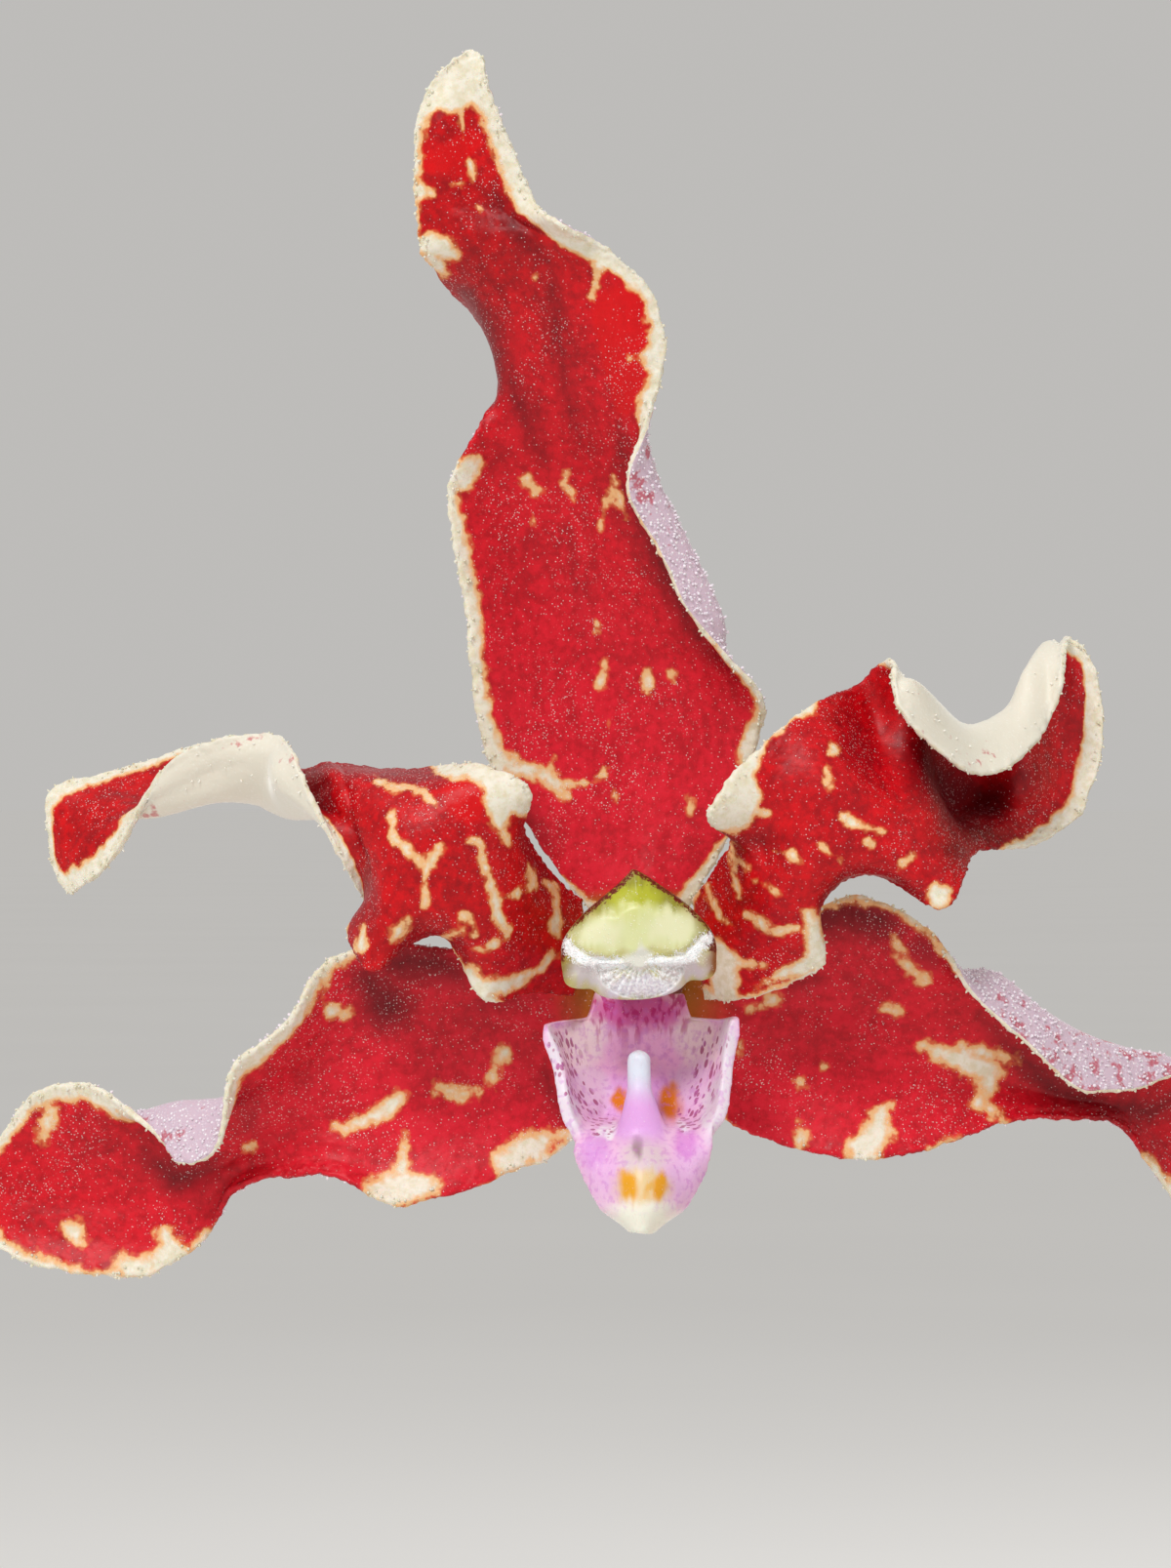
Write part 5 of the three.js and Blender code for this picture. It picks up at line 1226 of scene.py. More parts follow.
LIP_BLOTS = [
    Blot(-3.3, -2.15, 1.2, 0.85, "#A05E1C", 0.95),
    Blot(3.4, -1.8, 1.0, 0.7, "#B98A2E", 0.95),
    Blot(0.0, -2.6, 2.6, 1.1, "#D65CAA", 0.95),
    Blot(0.0, -4.9, 2.9, 1.6, "#F2B6E0", 0.9),
    Blot(0.0, -7.0, 2.6, 1.5, "#E6AAEA", 0.8),
    Blot(-2.9, -4.2, 1.3, 1.5, "#F4E2E4", 0.9, -20),
    Blot(3.0, -4.0, 1.3, 1.5, "#F4E2E4", 0.9, 20),
    Blot(-2.4, -6.4, 1.0, 1.4, "#EAD0E6", 0.7, 30),
    Blot(2.5, -6.3, 1.0, 1.4, "#E6C4E4", 0.7, -30),
    Blot(-1.0, -7.1, 0.42, 0.8, "#E07C0C", 1.0, 6),
    Blot(1.55, -7.15, 0.62, 1.05, "#E07A06", 1.0),
    Blot(-4.3, -5.0, 0.42, 1.9, "#E4DAE4", 0.95, 6),
    Blot(-3.75, -7.2, 0.65, 1.6, "#E4DAE4", 0.95, 20),
    Blot(4.45, -4.6, 0.42, 2.2, "#E4DAE4", 0.95, -2),
    Blot(3.85, -7.2, 0.75, 1.7, "#E4D8E2", 0.95, -18),
    Blot(-2.0, -10.0, 1.1, 1.7, "#E6B2E2", 0.7, 20),
    Blot(2.4, -10.0, 1.0, 1.7, "#E8B6E4", 0.7, -20),
    Blot(-2.2, -9.4, 0.7, 0.9, "#CC78D2", 0.45, -20),
    Blot(2.3, -9.1, 0.6, 0.7, "#D05CCC", 0.5),
    Blot(-1.7, -8.5, 0.5, 0.3, "#F2EEF4", 0.9, 20),
    Blot(2.2, -8.3, 0.4, 0.3, "#F0EAF4", 0.8, -20),
    Blot(0.1, -9.7, 1.2, 1.3, "#DCC8CC", 0.9),
    Blot(0.15, -11.2, 1.5, 1.1, "#E4C88C", 0.9),
    Blot(-0.6, -11.1, 0.42, 0.9, "#E6A21C", 1.0, 14),
    Blot(0.95, -11.1, 0.42, 0.8, "#E8A010", 1.0, -14),
    Blot(0.35, -11.3, 0.25, 0.3, "#E4AC44", 0.8),
    Blot(-0.12, -9.1, 0.3, 0.6, "#8A7468", 0.8),
    Blot(0.15, -13.0, 2.1, 1.4, "#F2F0E0", 1.0),
]
CAP_BLOTS = [
    Blot(0.0, 3.5, 3.6, 1.3, "#8E8A1C", 0.95),
    Blot(-0.3, 3.3, 1.5, 0.9, "#B4B62C", 0.95),
    Blot(-3.0, 1.9, 0.7, 1.2, "#8C861E", 0.9, 35),
    Blot(3.0, 1.9, 0.7, 1.2, "#8A801A", 0.9, -35),
    Blot(-3.75, 0.0, 0.45, 1.1, "#9A8434", 0.9),
    Blot(3.7, 0.1, 0.4, 1.0, "#8E4A18", 0.9),
    Blot(3.2, 0.0, 0.5, 0.8, "#CDBFAE", 0.7),
    Blot(-2.4, -0.4, 1.4, 0.8, "#CFC5C9", 0.9),
    Blot(2.2, -0.3, 1.3, 0.7, "#CFC5C9", 0.9),
    Blot(-0.15, 2.2, 1.8, 0.9, "#D6D894", 0.9),
    Blot(-1.85, 1.5, 1.72, 1.08, "#D9DAA8", 1.0),
    Blot(1.5, 1.7, 1.72, 1.12, "#DADBAA", 1.0),
    Blot(-2.0, 1.5, 1.1, 0.65, "#E2E0B8", 0.8),
    Blot(1.6, 1.75, 1.1, 0.65, "#E2E0B8", 0.8),
    Blot(-0.15, 1.2, 0.7, 0.9, "#D9DBA4", 0.9),
    Blot(-0.1, 0.1, 0.8, 0.8, "#DEDCD2", 0.95),
    Blot(0.0, -1.2, 2.4, 0.7, "#DCD6DE", 1.0),
]
# The rows of dots run down the inner walls of the side lobes
LIP_DOT_LINES = [
    [(-4.05, -4.2), (-3.85, -5.2), (-3.3, -6.4), (-2.6, -7.4), (-1.9, -8.2)],
    [(3.9, -4.0), (3.6, -5.0), (3.35, -6.3), (2.9, -7.2), (2.45, -8.0)],
]


@dataclass
class Lip:
    """The lip: two upright side lobes, a fleshy middle lobe and a finger-shaped callus."""

    net: Net = field(default_factory=lambda: LIP)
    rows: int = 90
    columns: int = 84
    thickness: float = 0.62
    shift: float = 0.0

    def build(self, name: str, spot: Matrix, skin: bpy.types.Material) -> bpy.types.Object:
        """Builds the shell and the callus as one piece, painted.

        Args:
            name: The piece's name.
            spot: The bloom's place on the plant.
            skin: The lip's material.

        Returns:
            The finished piece.
        """
        surface = surface_on(self.net, self.rows, self.columns)
        shell = sheet(name, self.shaped(surface) * MM)
        apply_modifier(shell, "SOLIDIFY", thickness=self.thickness * MM, offset=-0.4)
        finger = self.callus()
        select_only(shell)
        finger.select_set(True)
        bpy.ops.object.join()
        apply_modifier(shell, "REMESH", mode="VOXEL", voxel_size=0.13 * MM * max(1.0, 90 / self.rows))
        apply_modifier(shell, "SMOOTH", factor=0.6, iterations=5)
        points = points_of(shell) / MM
        points = self.pointed(points)
        set_points(shell, points * MM)
        tint(shell, "#EEC2E2", LIP_BLOTS, points[:, 0], points[:, 2])
        self.whiten_finger(shell, points)
        paint(shell, "wall", self.wall(points))
        paint(shell, "mottle", self.mottle(points))
        paint(
            shell, "throat",
            soft_step(-5.4, -2.4, points[:, 2]) * (1 - soft_step(2.2, 2.9, np.abs(points[:, 0])))
        )
        shell.data.materials.clear()
        shell.data.materials.append(skin)
        smooth(shell)
        shell.data.transform(spot @ Matrix.Translation((0, self.shift * MM, 0)))
        shell.data.update()
        return shell

    def shaped(self, surface: np.ndarray) -> np.ndarray:
        """Raises the middle lobe's ridge and ruffles the side lobes' margins."""
        made = surface.copy()
        x, z = made[..., 0].ravel(), made[..., 2].ravel()
        ridge = cavity(x, z, [(0.0, -6.6), (0.1, -9.2), (0.2, -11.6)], 2.0).reshape(made.shape[:2])
        made[..., 1] -= 1.0 * ridge
        folds = cavity(
            x, z, [(-1.9, -8.1), (-2.9, -8.6)], 0.7
        ) + cavity(x, z, [(2.0, -7.9), (3.0, -8.4)], 0.7)
        made[..., 1] += 0.7 * folds.reshape(made.shape[:2])
        u = np.abs(np.linspace(-1, 1, made.shape[1]))[None, :]
        wave = grain(made.reshape(-1, 3), 1.3, 21).reshape(made.shape[:2])
        made[..., 1] += 0.25 * wave * u**4
        return made

    def callus(self) -> bpy.types.Object:
        """The finger that stands up from the floor of the lip and runs out into its middle lobe."""
        path = [
            (-0.05, -4.1, -4.4), (-0.04, -4.2, -5.6), (0.0, -4.5, -6.8), (0.06, -5.1, -8.1),
            (0.12, -5.8, -9.6), (0.15, -6.3, -11.4)
        ]
        radii = np.interp(
            np.linspace(0, 1, 29), [0, 0.02, 0.07, 0.34, 0.54, 0.72, 1],
            [0.14, 0.46, 0.6, 0.62, 1.0, 1.5, 0.9]
        )
        rings = tube_rings(path, radii, 28, 24)
        return lofted("callus", rings * MM)

    def pointed(self, points: np.ndarray) -> np.ndarray:
        """Levels the side lobes' upper margins, sharpens their horns and shapes the middle lobe's tip."""
        made = points.copy()
        side = soft_step(2.2, 2.7, np.abs(made[:, 0]))
        above = np.maximum(made[:, 2] + 3.1, 0)
        made[:, 2] -= 0.85 * above * side
        for tip, reach in (((-4.83, -3.2), 1.1), ((4.95, -2.45), 1.1)):
            gap = np.hypot(made[:, 0] - tip[0], made[:, 2] - tip[1])
            pull = 0.8 * (1 - soft_step(0.0, reach, gap))
            made[:, 0] += (tip[0] - made[:, 0]) * pull
            made[:, 2] += (tip[1] - made[:, 2]) * pull
        low = soft_step(-11.2, -13.6, made[:, 2])
        end = soft_step(-12.2, -13.9, made[:, 2])
        made[:, 0] = 0.15 + (made[:, 0] - 0.15) * (1 + 0.12 * low) * (1 - 0.5 * end)
        made[:, 2] -= 0.12 * end * (1 - np.clip(np.abs(made[:, 0] - 0.15) / 1.2, 0, 1))
        return made

    def whiten_finger(self, obj: bpy.types.Object, points: np.ndarray) -> None:
        """Paints the callus, which stands forward of the wall behind it, from bluish white to lilac."""
        layer = obj.data.color_attributes["tint"]
        shade = np.zeros(len(points) * 4, np.float32)
        layer.data.foreach_get("color", shade)
        shade = shade.reshape(-1, 4)
        x, y, z = points.T
        reach = np.interp(-z, [4.0, 6.8, 8.2, 8.8], [0.75, 0.8, 1.15, 1.3])
        on = (1 - soft_step(0.85, 1.1, np.abs(x) / reach)) * soft_step(-3.1, -3.7, y)
        on *= soft_step(-9.4, -8.2, z) * (1 - soft_step(-4.2, -3.9, z))
        pale = soft_step(-7.4, -5.4, z)[:, None]
        finger = np.array(linear("#DDE2EE")) * pale + np.array(linear("#E0A6E2")) * (1 - pale)
        shade = shade * (1 - on[:, None]) + finger * on[:, None]
        layer.data.foreach_set("color", shade.astype(np.float32).ravel())

    def mottle(self, points: np.ndarray) -> np.ndarray:
        """How much lilac mottling each point takes: none on the callus, the orange patch or the tip."""
        x, y, z = points.T
        clear = Blot(0.15, -11.1, 1.4, 1.2, "#FFFFFF").weight(x, z)
        finger = (1 - soft_step(0.8, 1.2, np.abs(x))) * soft_step(-3.1, -3.7, y) * soft_step(-9.4, -8.2, z)
        return np.clip(1 - clear - finger, 0, 1) * soft_step(-12.6, -11.8, z)

    def wall(self, points: np.ndarray) -> np.ndarray:
        """How much each point lies in the rows of dots on the inner walls of the side lobes."""
        x, z = points[:, 0], points[:, 2]
        rows = sum(cavity(x, z, line, 0.9) for line in LIP_DOT_LINES) * 1.7
        upper = cavity(
            x, z, [(-3.5, -3.7), (-2.9, -5.0)], 1.1
        ) + cavity(x, z, [(3.4, -3.5), (2.9, -5.0)], 1.1)
        return np.clip(rows + 0.35 * upper, 0, 1)


@dataclass
class AntherCap:
    """The domed, beaked cap over the pollen, with its crystalline band and the ridged fan at its mouth."""

    outline: list[tuple[float, float]] = field(default_factory=lambda: CAP_OUTLINE)
    centre: tuple[float, float] = (0.0, 0.6)
    back: float = -3.8
    sides: int = 240
    rings: int = 90

    def build(self, name: str, spot: Matrix, skin: bpy.types.Material) -> bpy.types.Object:
        """Builds the cap as one closed piece, painted.

        Args:
            name: The piece's name.
            spot: The bloom's place on the plant.
            skin: The cap's material.

        Returns:
            The finished piece.
        """
        knots = np.array(self.outline + self.outline[:1], float)
        edge = through(np.concatenate([knots[-4:-1], knots, knots[1:3]]), self.loop_shares(len(knots)))
        middle = np.array(self.centre)
        rows = []
        for scale in (0.0, 0.3, 0.6, 0.86):
            ring = middle + (edge - middle) * scale
            rows.append(np.stack([ring[:, 0], np.full(self.sides, self.back), ring[:, 1]], axis=1))
        for scale, depth in ((0.97, -4.15), (1.0, -4.6), (1.0, -4.95)):
            ring = middle + (edge - middle) * scale
            rows.append(np.stack([ring[:, 0], np.full(self.sides, depth), ring[:, 1]], axis=1))
        for k in range(1, self.rings + 1):
            share = 1 - k / self.rings
            ring = middle + (edge - middle) * share
            rows.append(np.stack([ring[:, 0], self.front(ring, edge), ring[:, 1]], axis=1))
        obj = lofted(name, np.array(rows) * MM, capped=False)
        points = points_of(obj) / MM
        x, z = points[:, 0], points[:, 2]
        tint(obj, "#C9C27A", CAP_BLOTS, x, z)
        spot_xz = np.stack([x, z], axis=1)
        rim = self.rim_gap(spot_xz, edge)
        paint(obj, "rim", rim)
        crest = 0.85 * soft_step(1.5, 2.6, z) * soft_step(0.7, 0.05, rim)
        sides = np.maximum(self.patch(x, z, -3.85, 0.75), self.patch(x, z, 3.5, 1.15))
        paint(
            obj, "speckle",
            np.clip(np.maximum(crest, 0.95 * sides) + 0.55 * soft_step(0.3, 0.1, rim) * (z > 0), 0, 1)
        )
        paint(obj, "crystal", self.crystal(x, z))
        paint(obj, "fan", self.fan(x, z))
        obj.data.materials.append(skin)
        smooth(obj)
        obj.data.transform(spot)
        obj.data.update()
        return obj

    def loop_shares(self, count: int) -> np.ndarray:
        """The shares of the padded loop that run once round the outline."""
        total = count + 4
        return (3 + np.linspace(0, 1, self.sides, endpoint=False) * (count - 1)) / total

    def rim_gap(self, spot: np.ndarray, edge: np.ndarray) -> np.ndarray:
        """How far each point in x and z is from the outline."""
        gaps = np.full(len(spot), 1e9)
        for k in range(0, len(edge), 2):
            gaps = np.minimum(gaps, np.hypot(*(spot - edge[k]).T))
        return gaps

    def front(self, ring: np.ndarray, edge: np.ndarray) -> np.ndarray:
        """The depth of the cap's front at points in x and z."""
        x, z = ring[:, 0], ring[:, 1]
        gap = np.clip(self.rim_gap(ring, edge) / 1.9, 0, 1)
        dome = -4.95 - 1.35 * np.sqrt(1 - (1 - gap) ** 2)
        lens = 0.13 * self.lens(x, z)
        groove = 0.12 * cavity(x, z, [(-3.5, 1.0), (-2.3, 0.22), (-1.0, 0.2)], 0.22)
        groove += 0.12 * cavity(x, z, [(0.8, 0.3), (2.2, 0.5), (3.2, 1.4)], 0.22)
        fan = self.fan(x, z)
        angle = np.arctan2(x + 0.0, -(z - 0.35))
        ribs = 0.07 * fan * np.sin(angle * 26)
        lobes = 0.28 * self.side_lobe(x, z)
        return dome - lens + groove + 0.3 * fan + ribs + lobes

    def patch(self, x: np.ndarray, z: np.ndarray, at_x: float, at_z: float) -> np.ndarray:
        """A small soft patch at one place on the cap's side."""
        return 1 - soft_step(0.2, 0.75, np.hypot(x - at_x, (z - at_z) / 1.2))

    def lens(self, x: np.ndarray, z: np.ndarray) -> np.ndarray:
        """The two pale domes over the pollen masses."""
        left = np.hypot((x + 1.85) / 1.7, (z - 1.45) / 1.2)
        right = np.hypot((x - 1.55) / 1.65, (z - 1.7) / 1.25)
        middle = np.hypot((x + 0.15) / 1.4, (z - 1.75) / 1.35)
        nearest = np.minimum(np.minimum(left, right), middle)
        return 1 - soft_step(0.72, 1.06, nearest)

    def crystal(self, x: np.ndarray, z: np.ndarray) -> np.ndarray:
        """The band of white crystals under the domes, rising at both ends."""
        left = cavity(x, z, [(-3.75, 1.0), (-3.2, 0.42), (-2.3, 0.08), (-1.0, 0.0)], 0.8)
        right = cavity(x, z, [(0.7, 0.08), (1.7, 0.16), (2.6, 0.48), (3.4, 1.3)], 0.8)
        return np.clip(left + right, 0, 1)

    def side_lobe(self, x: np.ndarray, z: np.ndarray) -> np.ndarray:
        """The two translucent lobes at the lower sides."""
        return soft_step(0.1, -0.5, z) * soft_step(1.9, 2.6, np.abs(x))

    def fan(self, x: np.ndarray, z: np.ndarray) -> np.ndarray:
        """The pale ridged fan at the mouth."""
        reach = np.hypot(x / 2.35, (z - 0.1) / 1.95)
        return soft_step(0.1, -0.25, z - 0.0) * (1 - soft_step(0.92, 1.0, reach)) * soft_step(0.1, 0.3, reach)


@dataclass
class Column:
    """The short thick column behind the cap, with its foot on which the lip stands."""

    back: float = 2.0
    front: float = -3.5

    def build(self, name: str, spot: Matrix, skin: bpy.types.Material) -> bpy.types.Object:
        """Builds the column as one closed piece.

        Args:
            name: The piece's name.
            spot: The bloom's place on the plant.
            skin: The column's material.

        Returns:
            The finished piece.
        """
        path = [(0, self.back, 0.4), (0, -0.8, 0.9), (0, self.front, 1.2)]
        steps, sides = 40, 72
        radii = np.interp(np.linspace(0, 1, steps + 1), [0, 0.06, 0.9, 1], [1.7, 2.1, 2.4, 2.1])
        rings = tube_rings(path, radii, steps, sides)
        drop = soft_step(0.9, -1.6, rings[..., 2]) * soft_step(2.2, 0.4, rings[..., 1])
        rings[..., 2] -= 0.35 * drop
        rings += 0.05 * grain(rings.reshape(-1, 3), 0.6, 31).reshape(rings.shape[:2])[..., None]
        obj = lofted(name, rings * MM)
        obj.data.materials.append(skin)
        smooth(obj)
        obj.data.transform(spot)
        obj.data.update()
        return obj


@dataclass
class Bloom:
    """One open flower on the spike."""

    name: str
    at: Point
    turn: float = 0.0
    tilt: float = 0.0
    roll: float = 0.0
    size: float = 1.0
    mirror: bool = False
    yellow: bool = False
    share: float = 0.0

    def spot(self) -> Matrix:
        """The bloom's place: moved, turned about Z, tilted, rolled and scaled, and mirrored if it is."""
        place = Matrix.Translation(Vector(self.at) * MM)
        for angle, axis in ((self.turn, "Z"), (-self.tilt, "X"), (self.roll, "Y")):
            place = place @ Matrix.Rotation(math.radians(angle), 4, axis)
        across = -self.size if self.mirror else self.size
        return place @ Matrix.Diagonal((across, self.size, self.size, 1.0))

    def build(self, looks: dict[str, bpy.types.Material]) -> list[bpy.types.Object]:
        """Builds the five tepals as one piece, and the lip, the column and the cap.

        Args:
            looks: The materials by short name.

        Returns:
            The pieces.
        """
        spot = self.spot()
        face, back = (looks["yellow_face"], looks["yellow_back"]) if self.yellow else (
            looks["red_face"], looks["red_back"])
        sheets = []
        for organ, net, marks, reverse in TEPAL_PLANS:
            rows, columns = counts(net, 0.8)
            tepal = Tepal(f"{self.name}_{organ}", net, marks, rows, columns, reverse=reverse)
            sheets.append(tepal.build(Matrix.Identity(4), face, back))
        sheets.append(self.hub(back))
        select_only(sheets[0])
        for other in sheets[1:]:
            other.select_set(True)
        bpy.ops.object.join()
        tepals = sheets[0]
        tepals.name = tepals.data.name = self.name + "_tepal_skins"
        lip = Lip(rows=46, columns=42, shift=-0.8).build(
            self.name + "_lip_skin", Matrix.Identity(4), looks["lip"]
        )
        column = Column(front=-3.7).build(self.name + "_column_skin", Matrix.Identity(4), looks["column"])
        cap = AntherCap(sides=96, rings=24).build(self.name + "_cap", Matrix.Identity(4), looks["cap"])
        for piece in (tepals, lip, column, cap):
            piece.data.transform(spot)
            if self.mirror:
                piece.data.flip_normals()
            piece.data.update()
        slot = Slot.YELLOW_TEPAL if self.yellow else Slot.RED_TEPAL
        return [
            seat(tepals, slot, self.name + "_tepals"),
            seat(lip, Slot.LIP, self.name + "_lip"),
            seat(column, Slot.COLUMN, self.name + "_column"),
            seat(cap, Slot.ANTHER_CAP),
        ]

    def hub(self, skin: bpy.types.Material) -> bpy.types.Object:
        """The small round base behind the column where the five tepals meet."""
        path = [(0, 3.0, 0.8), (0, 1.9, 0.8), (0, 1.0, 0.8)]
        rings = tube_rings(path, np.array([1.0, 2.2, 3.0, 3.3, 3.3, 2.9, 2.0]), 6, 40)
        rings += 0.12 * grain(rings.reshape(-1, 3), 1.1, 33).reshape(rings.shape[:2])[..., None]
        obj = lofted(self.name + "_hub", rings * MM)
        for name in ("cream", "edge", "across_mm", "along_mm", "base", "blush", "steep", "dark"):
            paint(obj, name, np.full(len(obj.data.vertices), {"edge": 3.0, "cream": -2.0}.get(name, 0.0)))
        obj.data.materials.append(skin)
        smooth(obj)
        return obj


def counts(net: Net, pitch: float) -> tuple[int, int]:
    """How many rows and columns of faces a net needs, so that a face is about one pitch long."""
    surface = surface_on(net, 60, 24)
    along = np.linalg.norm(np.diff(surface, axis=0), axis=2).sum(axis=0).max()
    across = np.linalg.norm(np.diff(surface, axis=1), axis=2).sum(axis=1).max()
    return int(along / pitch), int(across / pitch)


TEPAL_PLANS = [
    ("dorsal_sepal", DORSAL_SEPAL, DORSAL_MARKS, False),
    ("left_petal", LEFT_PETAL, LEFT_PETAL_MARKS, False),
    ("right_petal", RIGHT_PETAL, RIGHT_PETAL_MARKS, True),
    ("left_sepal", LEFT_SEPAL, LEFT_SEPAL_MARKS, False),
    ("right_sepal", RIGHT_SEPAL, RIGHT_SEPAL_MARKS, True),
]


@dataclass
class LeadBloom:
    """The red and cream bloom that faces the camera, worked much more finely than the rest."""

    at: Point = (-185, -90, 195)
    pitch: float = 0.3

    def build(self, looks: dict[str, bpy.types.Material]) -> list[bpy.types.Object]:
        """Builds the bloom's organs.

        Args:
            looks: The materials by short name.

        Returns:
            The pieces.
        """
        spot = Matrix.Translation(Vector(self.at) * MM)
        pieces = []
        for organ, net, marks, reverse in TEPAL_PLANS:
            rows, columns = counts(net, self.pitch)
            hairs = Papillae(per_mm2=0.6, radius=(0.04, 0.07)) if "petal" in organ else Papillae()
            tepal = Tepal(f"lead_{organ}_skin", net, marks, rows, columns, reverse=reverse, hairs=hairs)
            back = looks["petal_back"] if "petal" in organ else looks["red_back"]
            pieces.append(seat(tepal.build(spot, looks["red_face"], back), Slot.RED_TEPAL, "lead_" + organ))
        lip = Lip().build("lead_lip_skin", spot, looks["lip"])
        pieces.append(seat(lip, Slot.LIP, "lead_lip"))
        column = Column().build("lead_column_skin", spot, looks["column"])
        pieces.append(seat(column, Slot.COLUMN, "lead_column"))
        cap = AntherCap().build("lead_cap_skin", spot, looks["cap"])
        pieces.append(seat(cap, Slot.ANTHER_CAP, "lead_anther_cap"))
        return pieces


STEM_PATH: list[Point] = [(0, 0, 92), (2, 1, 170), (3, 2, 250), (0, 3, 312)]
STEM_RADIUS, STEM_SWELL, STEM_TOP = 7.0, 1.5, 312.0
LEAF_COUNT, LEAF_FIRST, LEAF_STEP = 11, 158.0, 14.5


def mix(a: float, b: float, share: float) -> float:
    """The value a share of the way from a to b."""
    return a + (b - a) * share


def ease(share: float) -> float:
    """A share that starts and ends gently."""
    k = min(1.0, max(0.0, share))
    return k * k * (3 - 2 * k)


def stem_taper(z: float) -> float:
    """How much the stem has thinned at a height."""
    return mix(1.0, 0.62, ease((z - 240) / (STEM_TOP - 240)))


def stem_axis(z: float) -> np.ndarray:
    """The middle of the stem at a height."""
    share = (z - STEM_PATH[0][2]) / (STEM_TOP - STEM_PATH[0][2])
    return through(np.array(STEM_PATH, float), np.array([share]))[0]


@dataclass
class Stem:
    """The upright stem, wrapped in overlapping sheaths from which the leaves leave."""

    steps: int = 440
    sides: int = 64

    def build(self, looks: dict[str, bpy.types.Material]) -> list[bpy.types.Object]:
        """Builds the stem as one closed piece."""
        shares = np.linspace(0, 1, self.steps + 1)
        height = through(np.array(STEM_PATH, float), shares)[:, 2]
        rings = tube_rings(STEM_PATH, np.ones(self.steps + 1), self.steps, self.sides)
        centre = through(np.array(STEM_PATH, float), shares)
        taper = np.array([stem_taper(z) for z in height])
        turn = np.linspace(0, 2 * math.pi, self.sides, endpoint=False)
        for i, z in enumerate(height):
            slope = 2.6 * np.sin(turn + (math.pi if int((z - LEAF_FIRST) / LEAF_STEP) % 2 else 0))
            k = (z + slope - (96 if z < LEAF_FIRST else LEAF_FIRST)) / LEAF_STEP
            lap = STEM_SWELL * np.clip((k % 1.0) * 1.08, 0, 1) - 0.3 * (k % 1.0 > 0.985)
            ribs = 0.09 * np.sin(turn * 19 + 2 * np.floor(k))
            rings[i] = centre[i] + (rings[i] - centre[i]) * ((STEM_RADIUS + lap + ribs) * taper[i])[:, None]
        rings += 0.1 * grain(rings.reshape(-1, 3), 4.0, 41).reshape(rings.shape[:2])[..., None]
        obj = lofted("stem_sheath_skins", rings * MM)
        z = points_of(obj)[:, 2] / MM
        k = (z - LEAF_FIRST) / LEAF_STEP
        paint(obj, "old", soft_step(172, 128, z))
        paint(obj, "lip", soft_step(0.72, 0.99, k % 1.0))
        obj.data.materials.append(looks["sheath"])
        smooth(obj)
        return [seat(obj, Slot.STEM_SHEATHS, "stem")]


